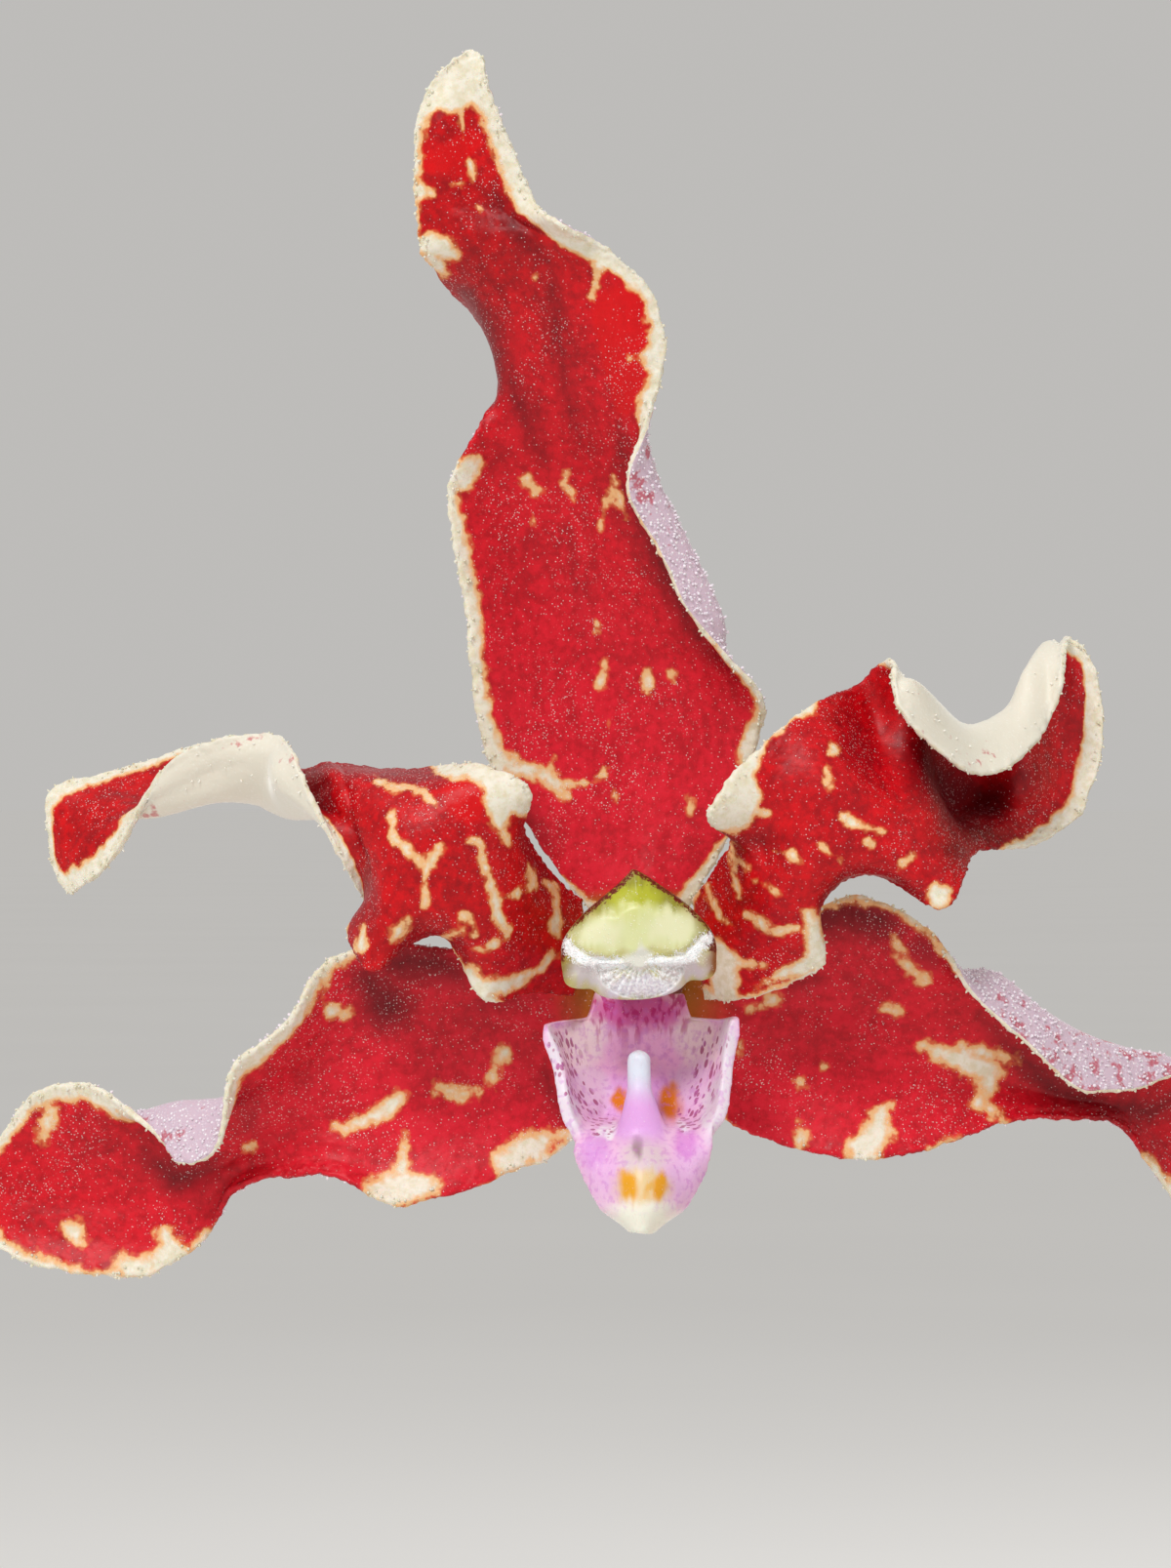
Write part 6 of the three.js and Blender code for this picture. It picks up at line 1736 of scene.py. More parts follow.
@dataclass
class Leaf:
    """One strap leaf: folded at the stem, channelled, arching, and unevenly two-lobed at its tip."""

    number: int
    width: float = 38.0
    thickness: float = 1.6
    longest: float = 236.0
    shortest: float = 96.0
    low: tuple[float, float] = (0.84, 0.6)
    notch: tuple[float, float, float] = (-0.045, 0.0, -0.035)
    uneven: float = 0.028

    def net(self) -> np.ndarray:
        """The control net, 13 rows by 5 columns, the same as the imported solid's."""
        k = self.number
        share = k / (LEAF_COUNT - 1)
        foot = LEAF_FIRST + LEAF_STEP * k
        heading = math.radians((0 if k % 2 == 0 else 180) + 8 * math.sin(2.3 * k + 0.4) - 10)
        length = mix(self.longest, self.shortest, share**2.2) * (self.low[k] if k < 2 else 1)
        first, last = mix(52, 80, share), mix(-42, 52, share**1.4)
        width = self.width * mix(1, 0.72, share**2)
        lean = 5 * math.sin(1.7 * k)
        clasp = (STEM_RADIUS + STEM_SWELL) * stem_taper(foot) + 1.6
        steps, rows = 60, 13
        spine = [(0.0, 0.0, math.radians(first))]
        for i in range(steps):
            r, z, _ = spine[i]
            pitch = math.radians(mix(first, last, ((i + 0.5) / steps) ** 1.25))
            ds = length / steps
            spine.append((r + math.cos(pitch) * ds, z + math.sin(pitch) * ds, pitch))
        axis = stem_axis(foot)
        net = []
        for i in range(rows):
            s = i / (rows - 1)
            open_ = ease(s / 0.22)
            fold = math.radians(mix(72, mix(24, 10, s), open_))
            taper = 1 if s < 0.72 else mix(1, 0.5, ((s - 0.72) / 0.28) ** 2)
            half = (width / 2) * mix(0.58, 1, ease(s / 0.3)) * taper
            lobes = ease((s - 0.8) / 0.2)
            row = []
            for c in (-1, -0.5, 0, 0.5, 1):
                nick = lobes * (self.notch[int(2 * abs(c))] - (self.uneven if c > 0 else 0))
                place = min(steps - 1e-6, max(0.0, (s + nick) * steps))
                low = int(place)
                t = place - low
                r = mix(spine[low][0], spine[low + 1][0], t)
                z = mix(spine[low][1], spine[low + 1][1], t)
                pitch = spine[low + 1][2]
                away, sign = abs(c) * half, float(np.sign(c))
                out = math.cos(fold) * away * sign + lean * s * s
                rise = math.sin(fold) * away * mix(1, 0.85, abs(c))
                radial = clasp + r - math.sin(pitch) * rise
                out += sign * (1 - open_) * abs(c) * 6.2
                x = axis[0] + radial * math.cos(heading) - out * math.sin(heading)
                y = axis[1] + radial * math.sin(heading) + out * math.cos(heading)
                row.append((x, y, foot + z + math.cos(pitch) * rise))
            net.append(row)
        return np.array(net)

    def build(self, looks: dict[str, bpy.types.Material]) -> bpy.types.Object:
        """Builds the leaf as one closed piece with a grooved midrib above and a keel below."""
        surface = surface_on(self.net(), 68, 24)
        surface = self.shaped(surface)
        obj = sheet(f"leaf_{self.number + 1}_blade", surface * MM)
        along, across = painted(obj, "along"), painted(obj, "across") * 2 - 1
        group = obj.vertex_groups.new(name="thick")
        weight = np.clip((1 - np.abs(across) ** 3) * np.clip((1 - along) * 14, 0, 1), 0, 1)
        for k, w in enumerate(weight):
            group.add([k], float(w), "REPLACE")
        paint(obj, "rib", np.exp(-((across / 0.045) ** 2)))
        paint(obj, "margin", soft_step(0.9, 1.0, np.abs(across)))
        paint(obj, "tip", soft_step(0.93, 1.0, along) * (1 if self.number < 3 else 0.4))
        paint(obj, "across_mm", across * self.width / 2)
        paint(obj, "age", np.full(len(across), max(0.0, 1 - self.number / 3.0)))
        obj.data.materials.append(looks["leaf"])
        apply_modifier(
            obj, "SOLIDIFY", thickness=self.thickness * MM, offset=0.0, vertex_group="thick",
            thickness_vertex_group=0.42,
        )
        apply_modifier(obj, "SUBSURF", levels=1, render_levels=1)
        smooth(obj)
        return seat(obj, Slot.LEAF, f"leaf_{self.number + 1}")

    def shaped(self, surface: np.ndarray) -> np.ndarray:
        """Adds the midrib's groove, faint veins, long waves and small nicks in the margin."""
        across, along = np.gradient(surface, axis=1), np.gradient(surface, axis=0)
        normal = np.cross(across, along)
        normal /= np.linalg.norm(normal, axis=2)[..., None] + 1e-9
        u = np.linspace(-1, 1, surface.shape[1])[None, :]
        v = np.linspace(0, 1, surface.shape[0])[:, None]
        wave = grain(surface.reshape(-1, 3) + 40 * self.number, 34.0, 51).reshape(surface.shape[:2])
        fine = grain(surface.reshape(-1, 3), 7.0, 52).reshape(surface.shape[:2])
        lift = -0.55 * np.exp(-((u / 0.09) ** 2)) * np.clip(v * 6, 0, 1)
        lift = lift + 1.2 * wave * np.abs(u) ** 1.5 * np.clip(v * 4 - 0.6, 0, 1) + 0.18 * fine * np.abs(u)
        return surface + normal * lift[..., None]


ROOT_PLANS: list[tuple[float, list[Point]]] = [
    (3.0, [(2, 0, 148), (20, -14, 152), (38, -26, 140), (48, -32, 116), (49, -34, 98)]),
    (3.2, [(1, 0, 140), (-14, 20, 146), (-28, 40, 134), (-34, 50, 110), (-34, 52, 94)]),
    (2.8, [(1, 0, 134), (-16, -14, 140), (-32, -34, 130), (-38, -44, 108), (-38, -46, 94)]),
    (3.1, [(2, 1, 147), (24, 20, 156), (56, 42, 160), (84, 58, 142), (96, 64, 104), (93, 61, 66),
     (94, 64, 40)]),
    (2.9, [(1, 2, 152), (8, 30, 162), (10, 64, 160), (6, 94, 144), (2, 105, 110), (5, 103, 74)]),
]


@dataclass
class Roots:
    """The thick aerial roots in silvery spongy skin, with green growing tips on those that hang free."""

    sides: int = 36

    def build(self, looks: dict[str, bpy.types.Material]) -> list[bpy.types.Object]:
        """Builds each root as a closed piece."""
        pieces = []
        for number, (radius, path) in enumerate(ROOT_PLANS):
            steps = 44 * (len(path) - 1)
            shares = np.linspace(0, 1, steps + 1)
            swell = 1 + 0.05 * np.sin(shares * 31 + number) + 0.04 * np.sin(shares * 57 + 2 * number)
            taper = np.array([mix(1, 0.8, ease((t - 0.9) / 0.1)) for t in shares])
            end = np.sqrt(np.clip(1 - ((shares - 0.975) / 0.025) ** 2, 0.0004, 1)) * (shares > 0.975)
            radii = radius * swell * taper * np.where(shares > 0.975, end, 1)
            rings = tube_rings(path, radii, steps, self.sides)
            lumps = grain(rings.reshape(-1, 3), 3.0, 61) + 0.5 * grain(rings.reshape(-1, 3), 1.2, 62)
            centre = rings.mean(axis=1, keepdims=True)
            rings = centre + (rings - centre) * (1 + 0.045 * lumps.reshape(rings.shape[:2])[..., None])
            obj = lofted(f"root_{number + 1}_velamen", rings * MM)
            hanging = 1.0 if number >= 3 else 0.0
            paint(obj, "tip", hanging * soft_step(0.93, 0.965, painted(obj, "along")))
            obj.data.materials.append(looks["root"])
            smooth(obj)
            pieces.append(seat(obj, Slot.AERIAL_ROOT, f"root_{number + 1}"))
        return pieces


@dataclass
class Pot:
    """The terracotta pot, turned on a wheel, with a heavy rim and four holes in its floor."""

    height: float = 136.0
    base: float = 61.0
    rim_base: float = 79.0
    rim: float = 86.0
    rim_height: float = 24.0
    wall: float = 6.0
    floor: float = 8.0
    sides: int = 176

    def profile(self) -> list[tuple[float, float]]:
        """The pot's half section, from the middle of its foot round to the middle of its floor."""
        shoulder = self.height - self.rim_height
        return [
            (0, 0), (self.base - 1.5, 0), (self.base, 1.5), (self.rim_base, shoulder),
            (self.rim - 1.5, shoulder + 0.5), (self.rim - 0.5, shoulder + 2.5), (self.rim, self.height - 3),
            (self.rim - 2, self.height), (self.rim - self.wall - 1, self.height),
            (self.rim - self.wall - 2.5, self.height - 2), (self.rim_base - self.wall, shoulder - 2),
            (self.base - self.wall + 0.6, self.floor), (0, self.floor),
        ]

    def inside(self, z: float) -> float:
        """The inner radius at a height."""
        shoulder = self.height - self.rim_height - 2
        share = (z - self.floor) / (shoulder - self.floor)
        return mix(self.base - self.wall + 0.6, self.rim_base - self.wall, share)

    def build(self, looks: dict[str, bpy.types.Material]) -> list[bpy.types.Object]:
        """Builds the pot as one closed piece."""
        fine = self.rounded()
        turn = np.linspace(0, 2 * math.pi, self.sides, endpoint=False)
        rings = np.array(
            [np.stack([r * np.cos(turn), r * np.sin(turn), np.full(self.sides, z)], 1) for r, z in fine]
        )
        flat = rings.reshape(-1, 3)
        wobble = 0.22 * grain(flat, 28.0, 71) + 0.07 * grain(flat, 5.0, 72) + 0.1 * np.sin(
            flat[:, 2] * 1.9
        ) * (grain(flat, 30.0, 73))
        out = np.stack([flat[:, 0], flat[:, 1], np.zeros(len(flat))], 1)
        out /= np.linalg.norm(out, axis=1)[:, None] + 1e-9
        steady = soft_step(0.5, 6.0, flat[:, 2]) * (np.hypot(flat[:, 0], flat[:, 1]) > 40)
        flat += out * (wobble * steady)[:, None]
        obj = lofted("pot_body", flat.reshape(rings.shape) * MM, capped=False)
        obj.data.materials.append(looks["terracotta"])
        self.drill(obj)
        obj.data.update()
        self.salt(obj)
        smooth(obj)
        select_only(obj)
        bpy.ops.object.shade_smooth_by_angle(angle=math.radians(42))
        return [seat(obj, Slot.TERRACOTTA, "pot")]

    def rounded(self) -> list[tuple[float, float]]:
        """The profile with its corners rounded and its long sides split into short steps."""
        corners = [np.array(p, float) for p in self.profile()]
        made = [corners[0]]
        for a, b, c in zip(corners[:-2], corners[1:-1], corners[2:]):
            r = min(1.1, 0.42 * np.linalg.norm(b - a), 0.42 * np.linalg.norm(c - b))
            p = b + (a - b) / np.linalg.norm(a - b) * r
            q = b + (c - b) / np.linalg.norm(c - b) * r
            for t in (0, 0.25, 0.5, 0.75, 1):
                made.append((1 - t) ** 2 * p + 2 * t * (1 - t) * b + t * t * q)
        made.append(corners[-1])
        fine = [made[0]]
        for a, b in zip(made[:-1], made[1:]):
            count = max(1, int(np.linalg.norm(b - a) / 2.2))
            fine += [a + (b - a) * k / count for k in range(1, count + 1)]
        return [(float(r), float(z)) for r, z in fine]

    def salt(self, obj: bpy.types.Object) -> None:
        """Paints the uneven bands of dried salts near the foot and under the rim."""
        points = points_of(obj) / MM
        z = points[:, 2] + 9 * grain(points, 22.0, 74)
        bands = soft_step(34, -6, z) + 0.6 * soft_step(84, 112, z) * (points[:, 2] < 112)
        paint(
            obj, "salt",
            np.clip(0.5 * bands * (1 + 0.9 * grain(points, 11.0, 75) + 0.6 * grain(points, 3.0, 76)), 0, 1)
        )

    def drill(self, obj: bpy.types.Object) -> None:
        """Cuts the four holes through the floor."""
        for k in range(4):
            angle = (k + 0.5) * math.pi / 2
            bpy.ops.object.select_all(action="DESELECT")
            bpy.ops.mesh.primitive_cylinder_add(
                vertices=48, radius=6 * MM, depth=32 * MM,
                location=(36 * MM * math.cos(angle), 36 * MM * math.sin(angle), 0),
            )
            tool = bpy.context.object
            apply_modifier(obj, "BOOLEAN", operation="DIFFERENCE", object=tool, solver="EXACT")
            bpy.data.objects.remove(tool, do_unlink=True)


@dataclass
class Bark:
    """Coarse bark in which the plant is potted: a dark fill under big and small rough chips."""

    top: float = 116.0
    crown: float = 6.0
    chip: float = 23.0
    big: int = 28
    small: int = 120
    seed: int = 7

    def build(self, pot: Pot, looks: dict[str, bpy.types.Material]) -> list[bpy.types.Object]:
        """Builds the fill and the chips as one piece."""
        random_of = self.dice(self.seed)
        top = self.top - self.crown
        pieces = [self.fill(pot, top)]
        template = self.template()
        for k in range(self.big):
            ring = math.sqrt((k + 0.5) / self.big)
            reach = ring * (pot.inside(top) - self.chip * 0.78)
            angle = k * 2.39996
            turn = [(random_of() - 0.5) * 1.0, (random_of() - 0.5) * 1.0, random_of() * math.pi]
            lift = top + 1.5 + random_of() * 3.5
            size = self.chip * mix(0.65, 1.15, random_of())
            sides = (size, size * mix(0.5, 0.8, random_of()), size * mix(0.22, 0.36, random_of()))
            place = (reach * math.cos(angle), reach * math.sin(angle), lift)
            pieces.append(self.rough_chip(template, place, turn, sides, k))
        dice = random.Random(self.seed)
        for k in range(self.small):
            ring = math.sqrt((k + 0.5) / self.small)
            reach, angle = ring * (pot.inside(top) - 6), k * 2.39996 + 0.7
            size = dice.uniform(6, 13)
            sides = (size, size * dice.uniform(0.45, 0.8), size * dice.uniform(0.25, 0.45))
            turn = [dice.uniform(-0.6, 0.6), dice.uniform(-0.6, 0.6), dice.uniform(0, math.pi)]
            place = (reach * math.cos(angle), reach * math.sin(angle), top + dice.uniform(1.0, 5.5))
            pieces.append(self.rough_chip(template, place, turn, sides, 100 + k))
        bpy.data.objects.remove(template, do_unlink=True)
        select_only(pieces[0])
        for piece in pieces[1:]:
            piece.select_set(True)
        bpy.ops.object.join()
        obj = pieces[0]
        obj.data.materials.append(looks["bark"])
        smooth(obj)
        select_only(obj)
        bpy.ops.object.shade_smooth_by_angle(angle=math.radians(38))
        return [seat(obj, Slot.BARK, "bark")]

    def dice(self, seed: int):
        """The part source's own random numbers, from 0 to 1."""
        state = [seed]

        def throw() -> float:
            """One number."""
            state[0] = (state[0] * 1664525 + 1013904223) % 4294967296
            return state[0] / 4294967296

        return throw

    def fill(self, pot: Pot, top: float) -> bpy.types.Object:
        """The dark fill under the chips, inside the pot's wall."""
        turn = np.linspace(0, 2 * math.pi, 72, endpoint=False)
        low, high = pot.inside(pot.floor) - 0.5, pot.inside(top) - 0.5
        outline = [(0, pot.floor + 0.3), (low, pot.floor + 0.3), (high, top)]
        outline += [(high * s, top + 2 * (1 - s)) for s in (0.9, 0.8, 0.7, 0.6, 0.5, 0.4, 0.3, 0.2, 0.1, 0.0)]
        rings = np.array(
            [np.stack([r * np.cos(turn), r * np.sin(turn), np.full(72, float(z))], 1) for r, z in outline]
        )
        rings[3:-1, :, 2] += 0.9 * grain(rings[3:-1].reshape(-1, 3), 4.0, 81).reshape(-1, 72)
        obj = lofted("bark_chips", rings * MM, capped=False)
        paint(obj, "tone", np.full(len(obj.data.vertices), 0.1))
        return obj

    def template(self) -> bpy.types.Object:
        """A unit block, split finely, that every chip is copied from."""
        bpy.ops.object.select_all(action="DESELECT")
        bpy.ops.mesh.primitive_cube_add(size=1)
        obj = bpy.context.object
        bpy.ops.object.mode_set(mode="EDIT")
        bpy.ops.mesh.subdivide(number_cuts=4)
        bpy.ops.object.mode_set(mode="OBJECT")
        return obj

    def rough_chip(self, template, place, turn, sides, number) -> bpy.types.Object:
        """Copies the block and shapes it as one broken, layered chip."""
        obj = bpy.data.objects.new("chip", template.data.copy())
        bpy.context.collection.objects.link(obj)
        unit = points_of(obj)
        rounded = unit * (1 - 0.16 * (np.linalg.norm(unit, axis=1)[:, None] / 0.866) ** 4)
        points = rounded * np.array(sides)
        key = points + 50 * number
        points = points + 0.09 * sides[0] * np.stack(
            [grain(key, sides[0] * 0.5, 91 + a) for a in range(3)], 1
        )
        points[:, 2] += 0.5 * np.sin(key[:, 0] * 2.2) * grain(key, 3.0, 95)
        matrix = Matrix.Translation(Vector(place)) @ (Matrix.Rotation(turn[2], 4, "Z") @ Matrix.Rotation(
            turn[1], 4, "Y"
        ) @ Matrix.Rotation(turn[0], 4, "X"))
        m = np.array(matrix)
        set_points(obj, (points @ m[:3, :3].T + m[:3, 3]) * MM)
        paint(obj, "tone", np.full(len(unit), (number * 0.618) % 1.0))
        return obj


SPIKE_PATH: list[Point] = [
    (-1, -4, 194), (-9, -19, 206), (-26, -27, 226), (-54, -31, 243), (-95, -40, 247), (-128, -50, 228),
    (-139, -56, 196), (-144, -56, 150), (-146, -56, 95), (-144, -57, 50),
]
LEAD_PEDICEL: list[Point] = [(6, 10, -3), (15, 18, -5), (26, 23, -7.5)]
BUD_PLANS: list[tuple[Point, float, float, float]] = [
    ((-117, -64, 96), 0.86, 15, 4.2), ((-163, -60, 58), 0.95, 12, 3.5), ((-144, -57, 49.4), 1.0, 9, 2.7),
]


@dataclass
class Spike:
    """The long hanging flower stalk with the stalks of its blooms and buds and a bract under each."""

    foot: float = 2.6
    tip: float = 1.3

    def build(self, blooms: list[Bloom], looks: dict[str, bpy.types.Material]) -> list[bpy.types.Object]:
        """Builds the axis, the stalks and the bracts as one piece."""
        axis = np.array(SPIKE_PATH, float)
        parts = [self.stalk("spike_stalk", SPIKE_PATH, lambda t: mix(self.foot, self.tip, t), 420, 22)]
        for bloom in blooms:
            foot = through(axis, np.array([bloom.share]))[0]
            spot = np.array(bloom.spot())
            lead = bloom.name == "lead"
            behind = [(0, 3.0, -0.4)] + (LEAD_PEDICEL if lead else [(0, 15, -3)])
            own = [tuple((spot[:3, :3] @ np.array(p)) + spot[:3, 3] / MM) for p in behind]
            sag = (foot + np.array(own[-1])) / 2 - (0, 0, 2)
            path = [tuple(foot), tuple(sag), *own[::-1]]
            size = bloom.size
            parts.append(self.stalk("pedicel", path, lambda t, s=size: self.ovary(t, s), 110, 22))
            parts.append(self.bract(foot, sag, 7.5))
        for at, share, length, radius in BUD_PLANS:
            if share < 1:
                foot, end = through(axis, np.array([share]))[0], np.array(at, float)
                path = [tuple(foot), tuple((foot + end) / 2), tuple(end + (0, 0, radius * 0.2))]
                parts.append(self.stalk("bud_stalk", path, lambda t: mix(0.9, 1.3, t), 50, 18))
                parts.append(self.bract(foot, end, 6.0))
        for share in (0.03, 0.09, 0.15):
            foot = through(axis, np.array([share]))[0]
            ahead = through(axis, np.array([share + 0.05]))[0]
            parts.append(self.bract(foot, ahead + (0, 0, 6), 8.5))
        select_only(parts[0])
        for part in parts[1:]:
            part.select_set(True)
        bpy.ops.object.join()
        obj = parts[0]
        points = points_of(obj)
        hair = grain(points / MM, 0.5, 101) * 0.05 + grain(points / MM, 2.5, 102) * 0.08
        set_points(obj, points + normals_of(obj) * (hair * MM)[:, None])
        obj.data.materials.append(looks["spike"])
        smooth(obj)
        return [seat(obj, Slot.SPIKE, "spike")]

    def ovary(self, share: float, size: float) -> float:
        """The radius of a flower's stalk, which thickens into its ovary."""
        return mix(0.9, 1.55 * size, ease(share)) * (1 + 0.05 * math.sin(share * 40))

    def stalk(self, name: str, path, radius_at, steps: int, sides: int) -> bpy.types.Object:
        """Builds one faintly ribbed stalk."""
        radii = np.array([radius_at(t) for t in np.linspace(0, 1, steps + 1)])
        rings = tube_rings(path, radii, steps, sides)
        centre = rings.mean(axis=1, keepdims=True)
        turn = np.linspace(0, 2 * math.pi, sides, endpoint=False)
        rings = centre + (rings - centre) * (1 + 0.05 * np.cos(turn * 6))[None, :, None]
        obj = lofted(name, rings * MM)
        paint(
            obj, "red",
            painted(obj, "along") if name == "pedicel" else np.full(len(obj.data.vertices), 0.25)
        )
        return obj

    def bract(self, foot: np.ndarray, ahead: np.ndarray, length: float) -> bpy.types.Object:
        """Builds the small pointed cup-shaped bract at a stalk's foot."""
        way = Vector(ahead - foot).normalized()
        side = way.cross(Vector((0.1, -1, 0.2))).normalized()
        up = side.cross(way).normalized()
        rows, columns = 22, 14
        surface = np.zeros((rows + 1, columns + 1, 3))
        for i in range(rows + 1):
            s = i / rows
            half = 2.5 * math.sqrt(max(1e-4, 1 - s**1.7)) * (0.75 + 0.25 * math.sin(s * 3))
            for j in range(columns + 1):
                u = 2 * j / columns - 1
                angle = u * (1.5 - 0.7 * s)
                cup = half * (1 - math.cos(angle)) * 0.8
                p = way * (s * length - 1.4) + side * (half * math.sin(angle)) + up * (
                    cup - 1.9 - 1.6 * s * s
                )
                surface[i, j] = foot + np.array(p)
        obj = sheet("bract", surface * MM)
        apply_modifier(obj, "SOLIDIFY", thickness=0.4 * MM, offset=0.0)
        paint(obj, "red", 0.35 + 0.6 * painted(obj, "along"))
        return obj


@dataclass
class Buds:
    """The unopened buds at the end of the spike: curved drops with the sepals' seams on them."""

    def build(self, looks: dict[str, bpy.types.Material]) -> list[bpy.types.Object]:
        """Builds each bud as a closed piece."""
        pieces = []
        for number, (at, _, length, radius) in enumerate(BUD_PLANS):
            x, y, z = at
            middle, half = z - length / 2 - radius * 0.1, length / 2
            steps, sides = 72, 60
            turn = np.linspace(0, 2 * math.pi, sides, endpoint=False)
            rings = []
            for s in np.linspace(0, 1, steps + 1):
                height = math.cos(math.pi * s)
                wide = math.sin(math.pi * s) ** 0.9 * (1 + 0.12 * height)
                seams = 1 - 0.07 * np.exp(
                    -((((turn * 3 / (2 * math.pi)) % 1) - 0.5) / 0.07) ** 2
                ) * min(1, 3 * s)
                r = radius * 0.97 * wide * seams * (1 + 0.04 * np.cos(3 * turn))
                bend = 0.06 * length * (s**2 - 0.4)
                rings.append(
                    np.stack([x + r * np.cos(turn) + bend * 0.3, y + r * np.sin(turn),
                              np.full(sides, middle + half * height)], 1)
                )
            obj = lofted(f"bud_{number + 1}_skin", np.array(rings) * MM, capped=False)
            points = points_of(obj)
            set_points(obj, points + normals_of(obj) * (grain(points / MM, 0.5, 111) * 0.05 * MM)[:, None])
            paint(obj, "tip", soft_step(0.35, 1.0, painted(obj, "along")))
            obj.data.materials.append(looks["bud"])
            smooth(obj)
            pieces.append(seat(obj, Slot.BUD, f"bud_{number + 1}"))
        return pieces


@dataclass(frozen=True)
class SpottedFace:
    """The yellow face of a basal bloom, finely freckled with dark red."""

    name: str
    ground: str
    pale: str
    freckle: str

    def build(self) -> bpy.types.Material:
        """Makes the material."""
        g = Shades(self.name)
        at = g.coords()
        cloud = g.noise(at, 180, 3.0)
        ground = g.mix(g.ramp(cloud, 0.3, 0.7), self.ground, self.pale)
        # Freckles about 1.5 mm apart and 0.5 mm wide
        spots = g.cells(at, 620)
        size = g.ramp(g.noise(at, 900, 2.0), 0.3, 0.7, 0.12, 0.42)
        shape = g.sum("ADD", spots.outputs["Distance"], g.times(cloud, 0.12))
        is_spot = g.ramp(g.sum("SUBTRACT", size, shape), -0.09, 0.03)
        is_spot = g.times(is_spot, g.ramp(g.painted("edge"), 0.3, 1.0))
        colour = g.mix(is_spot, ground, self.freckle)
        g.dress({
            "Base Color": colour, "Roughness": 0.42, "Subsurface Weight": 0.15,
            "Subsurface Radius": (1.0, 0.7, 0.3), "Subsurface Scale": 0.0008,
        })
        grains = g.cells(at, 2600)
        g.dress({"Normal": g.bump(grains.outputs["Distance"], 0.4, 0.00012)})
        return g.material


@dataclass(frozen=True)
class FleshSkin:
    """Thin moist flower flesh with painted patches, as on the lip and the cap."""

    name: str

    def build(self) -> bpy.types.Material:
        """Makes the material."""
        g = Shades(self.name)
        at = g.coords()
        ground = g.node("ShaderNodeAttribute", attribute_name="tint").outputs["Color"]
        colour, rough, height = self.dress(g, at, ground)
        g.dress({
            "Base Color": colour, "Roughness": rough, "Normal": height, "IOR": 1.4,
            "Subsurface Weight": 0.22, "Subsurface Radius": (1.0, 0.6, 0.6), "Subsurface Scale": 0.0005,
        })
        return g.material

    def dress(self, g, at, ground):
        """The colour, roughness and normal sockets over the painted ground."""
        raise NotImplementedError


@dataclass(frozen=True)
class LipSkin(FleshSkin):
    """The lip's flesh: lilac, with magenta dots on its inner walls and streaks in its throat."""

    name: str = "lip_flesh"

    def dress(self, g, at, ground):
        """The colour, roughness and normal sockets over the painted ground."""
        tall = g.stretched(at, (1.0, 1.0, 0.55))
        spots = g.cells(tall, 2900)
        size = g.ramp(spots.outputs["Color"], 0.3, 0.8, 0.26, 0.48)
        dot = g.ramp(g.sum("SUBTRACT", size, spots.outputs["Distance"]), -0.05, 0.05)
        dot = g.times(dot, g.ramp(g.painted("wall"), 0.05, 0.7))
        colour = g.mix(g.times(dot, 0.8), ground, "#9E1466")
        streaks = g.noise(g.stretched(at, (1.0, 1.0, 0.3)), 3000, 2.0)
        streak = g.times(g.ramp(streaks, 0.46, 0.62), g.painted("throat"))
        colour = g.mix(g.times(streak, 0.8), colour, "#B80C70")
        mottle = g.ramp(g.noise(at, 3000, 2.0, 0.5), 0.48, 0.68)
        mottle = g.times(mottle, g.painted("mottle"))
        colour = g.mix(g.times(mottle, 0.4), colour, "#CC74CC")
        glint = g.ramp(g.cells(at, 8200).outputs["Distance"], 0.3, 0.08)
        lit = g.times(glint, g.ramp(g.noise(at, 4200, 1.0), 0.5, 0.66))
        colour = g.mix(g.times(lit, 0.6), colour, "#FBF5FB")
        rough = g.ramp(lit, 0.0, 1.0, 0.38, 0.2)
        return colour, rough, g.bump(glint, 0.5, 0.00004)


@dataclass(frozen=True)
class CapSkin(FleshSkin):
    """The cap's skin: pale yellow domes, dark brown speckles, white crystals and a ribbed fan."""

    name: str = "anther_cap_skin"

    def dress(self, g, at, ground):
        """The colour, roughness and normal sockets over the painted ground."""
        rough_spots = g.noise(at, 5200, 4.0, 0.75)
        brown = g.sum("MULTIPLY_ADD", g.painted("speckle"), 0.34, rough_spots)
        colour = g.mix(g.ramp(brown, 0.74, 0.81), ground, "#6A1408")
        crystals = g.cells(at, 9500)
        flash = g.ramp(crystals.outputs["Distance"], 0.6, 0.2)
        rough_edge = g.sum("ADD", g.times(flash, 0.4), g.noise(at, 3000, 2.0))
        white = g.ramp(g.sum("ADD", g.painted("crystal"), rough_edge), 1.05, 1.5)
        colour = g.mix(white, colour, "#FFFFFF")
        fan = g.painted("fan")
        sheen = g.times(fan, g.ramp(g.noise(at, 6200, 2.0), 0.42, 0.6))
        colour = g.mix(g.times(sheen, 0.8), colour, "#FFFFFF")
        dots = g.ramp(g.cells(at, 6800).outputs["Distance"], 0.32, 0.12)
        dots = g.times(dots, g.ramp(g.noise(at, 2400, 2.0), 0.42, 0.6))
        dots = g.times(dots, g.ramp(g.painted("speckle"), 0.1, 0.5, 1.0, 0.2))
        colour = g.mix(g.times(dots, 0.5), colour, "#FFFDF0")
        rough = g.ramp(g.sum("ADD", white, sheen), 0.0, 1.0, 0.36, 0.16)
        relief = g.times(flash, g.painted("crystal"))
        return colour, rough, g.bump(g.sum("ADD", relief, g.times(dots, 0.3)), 0.7, 0.00008)


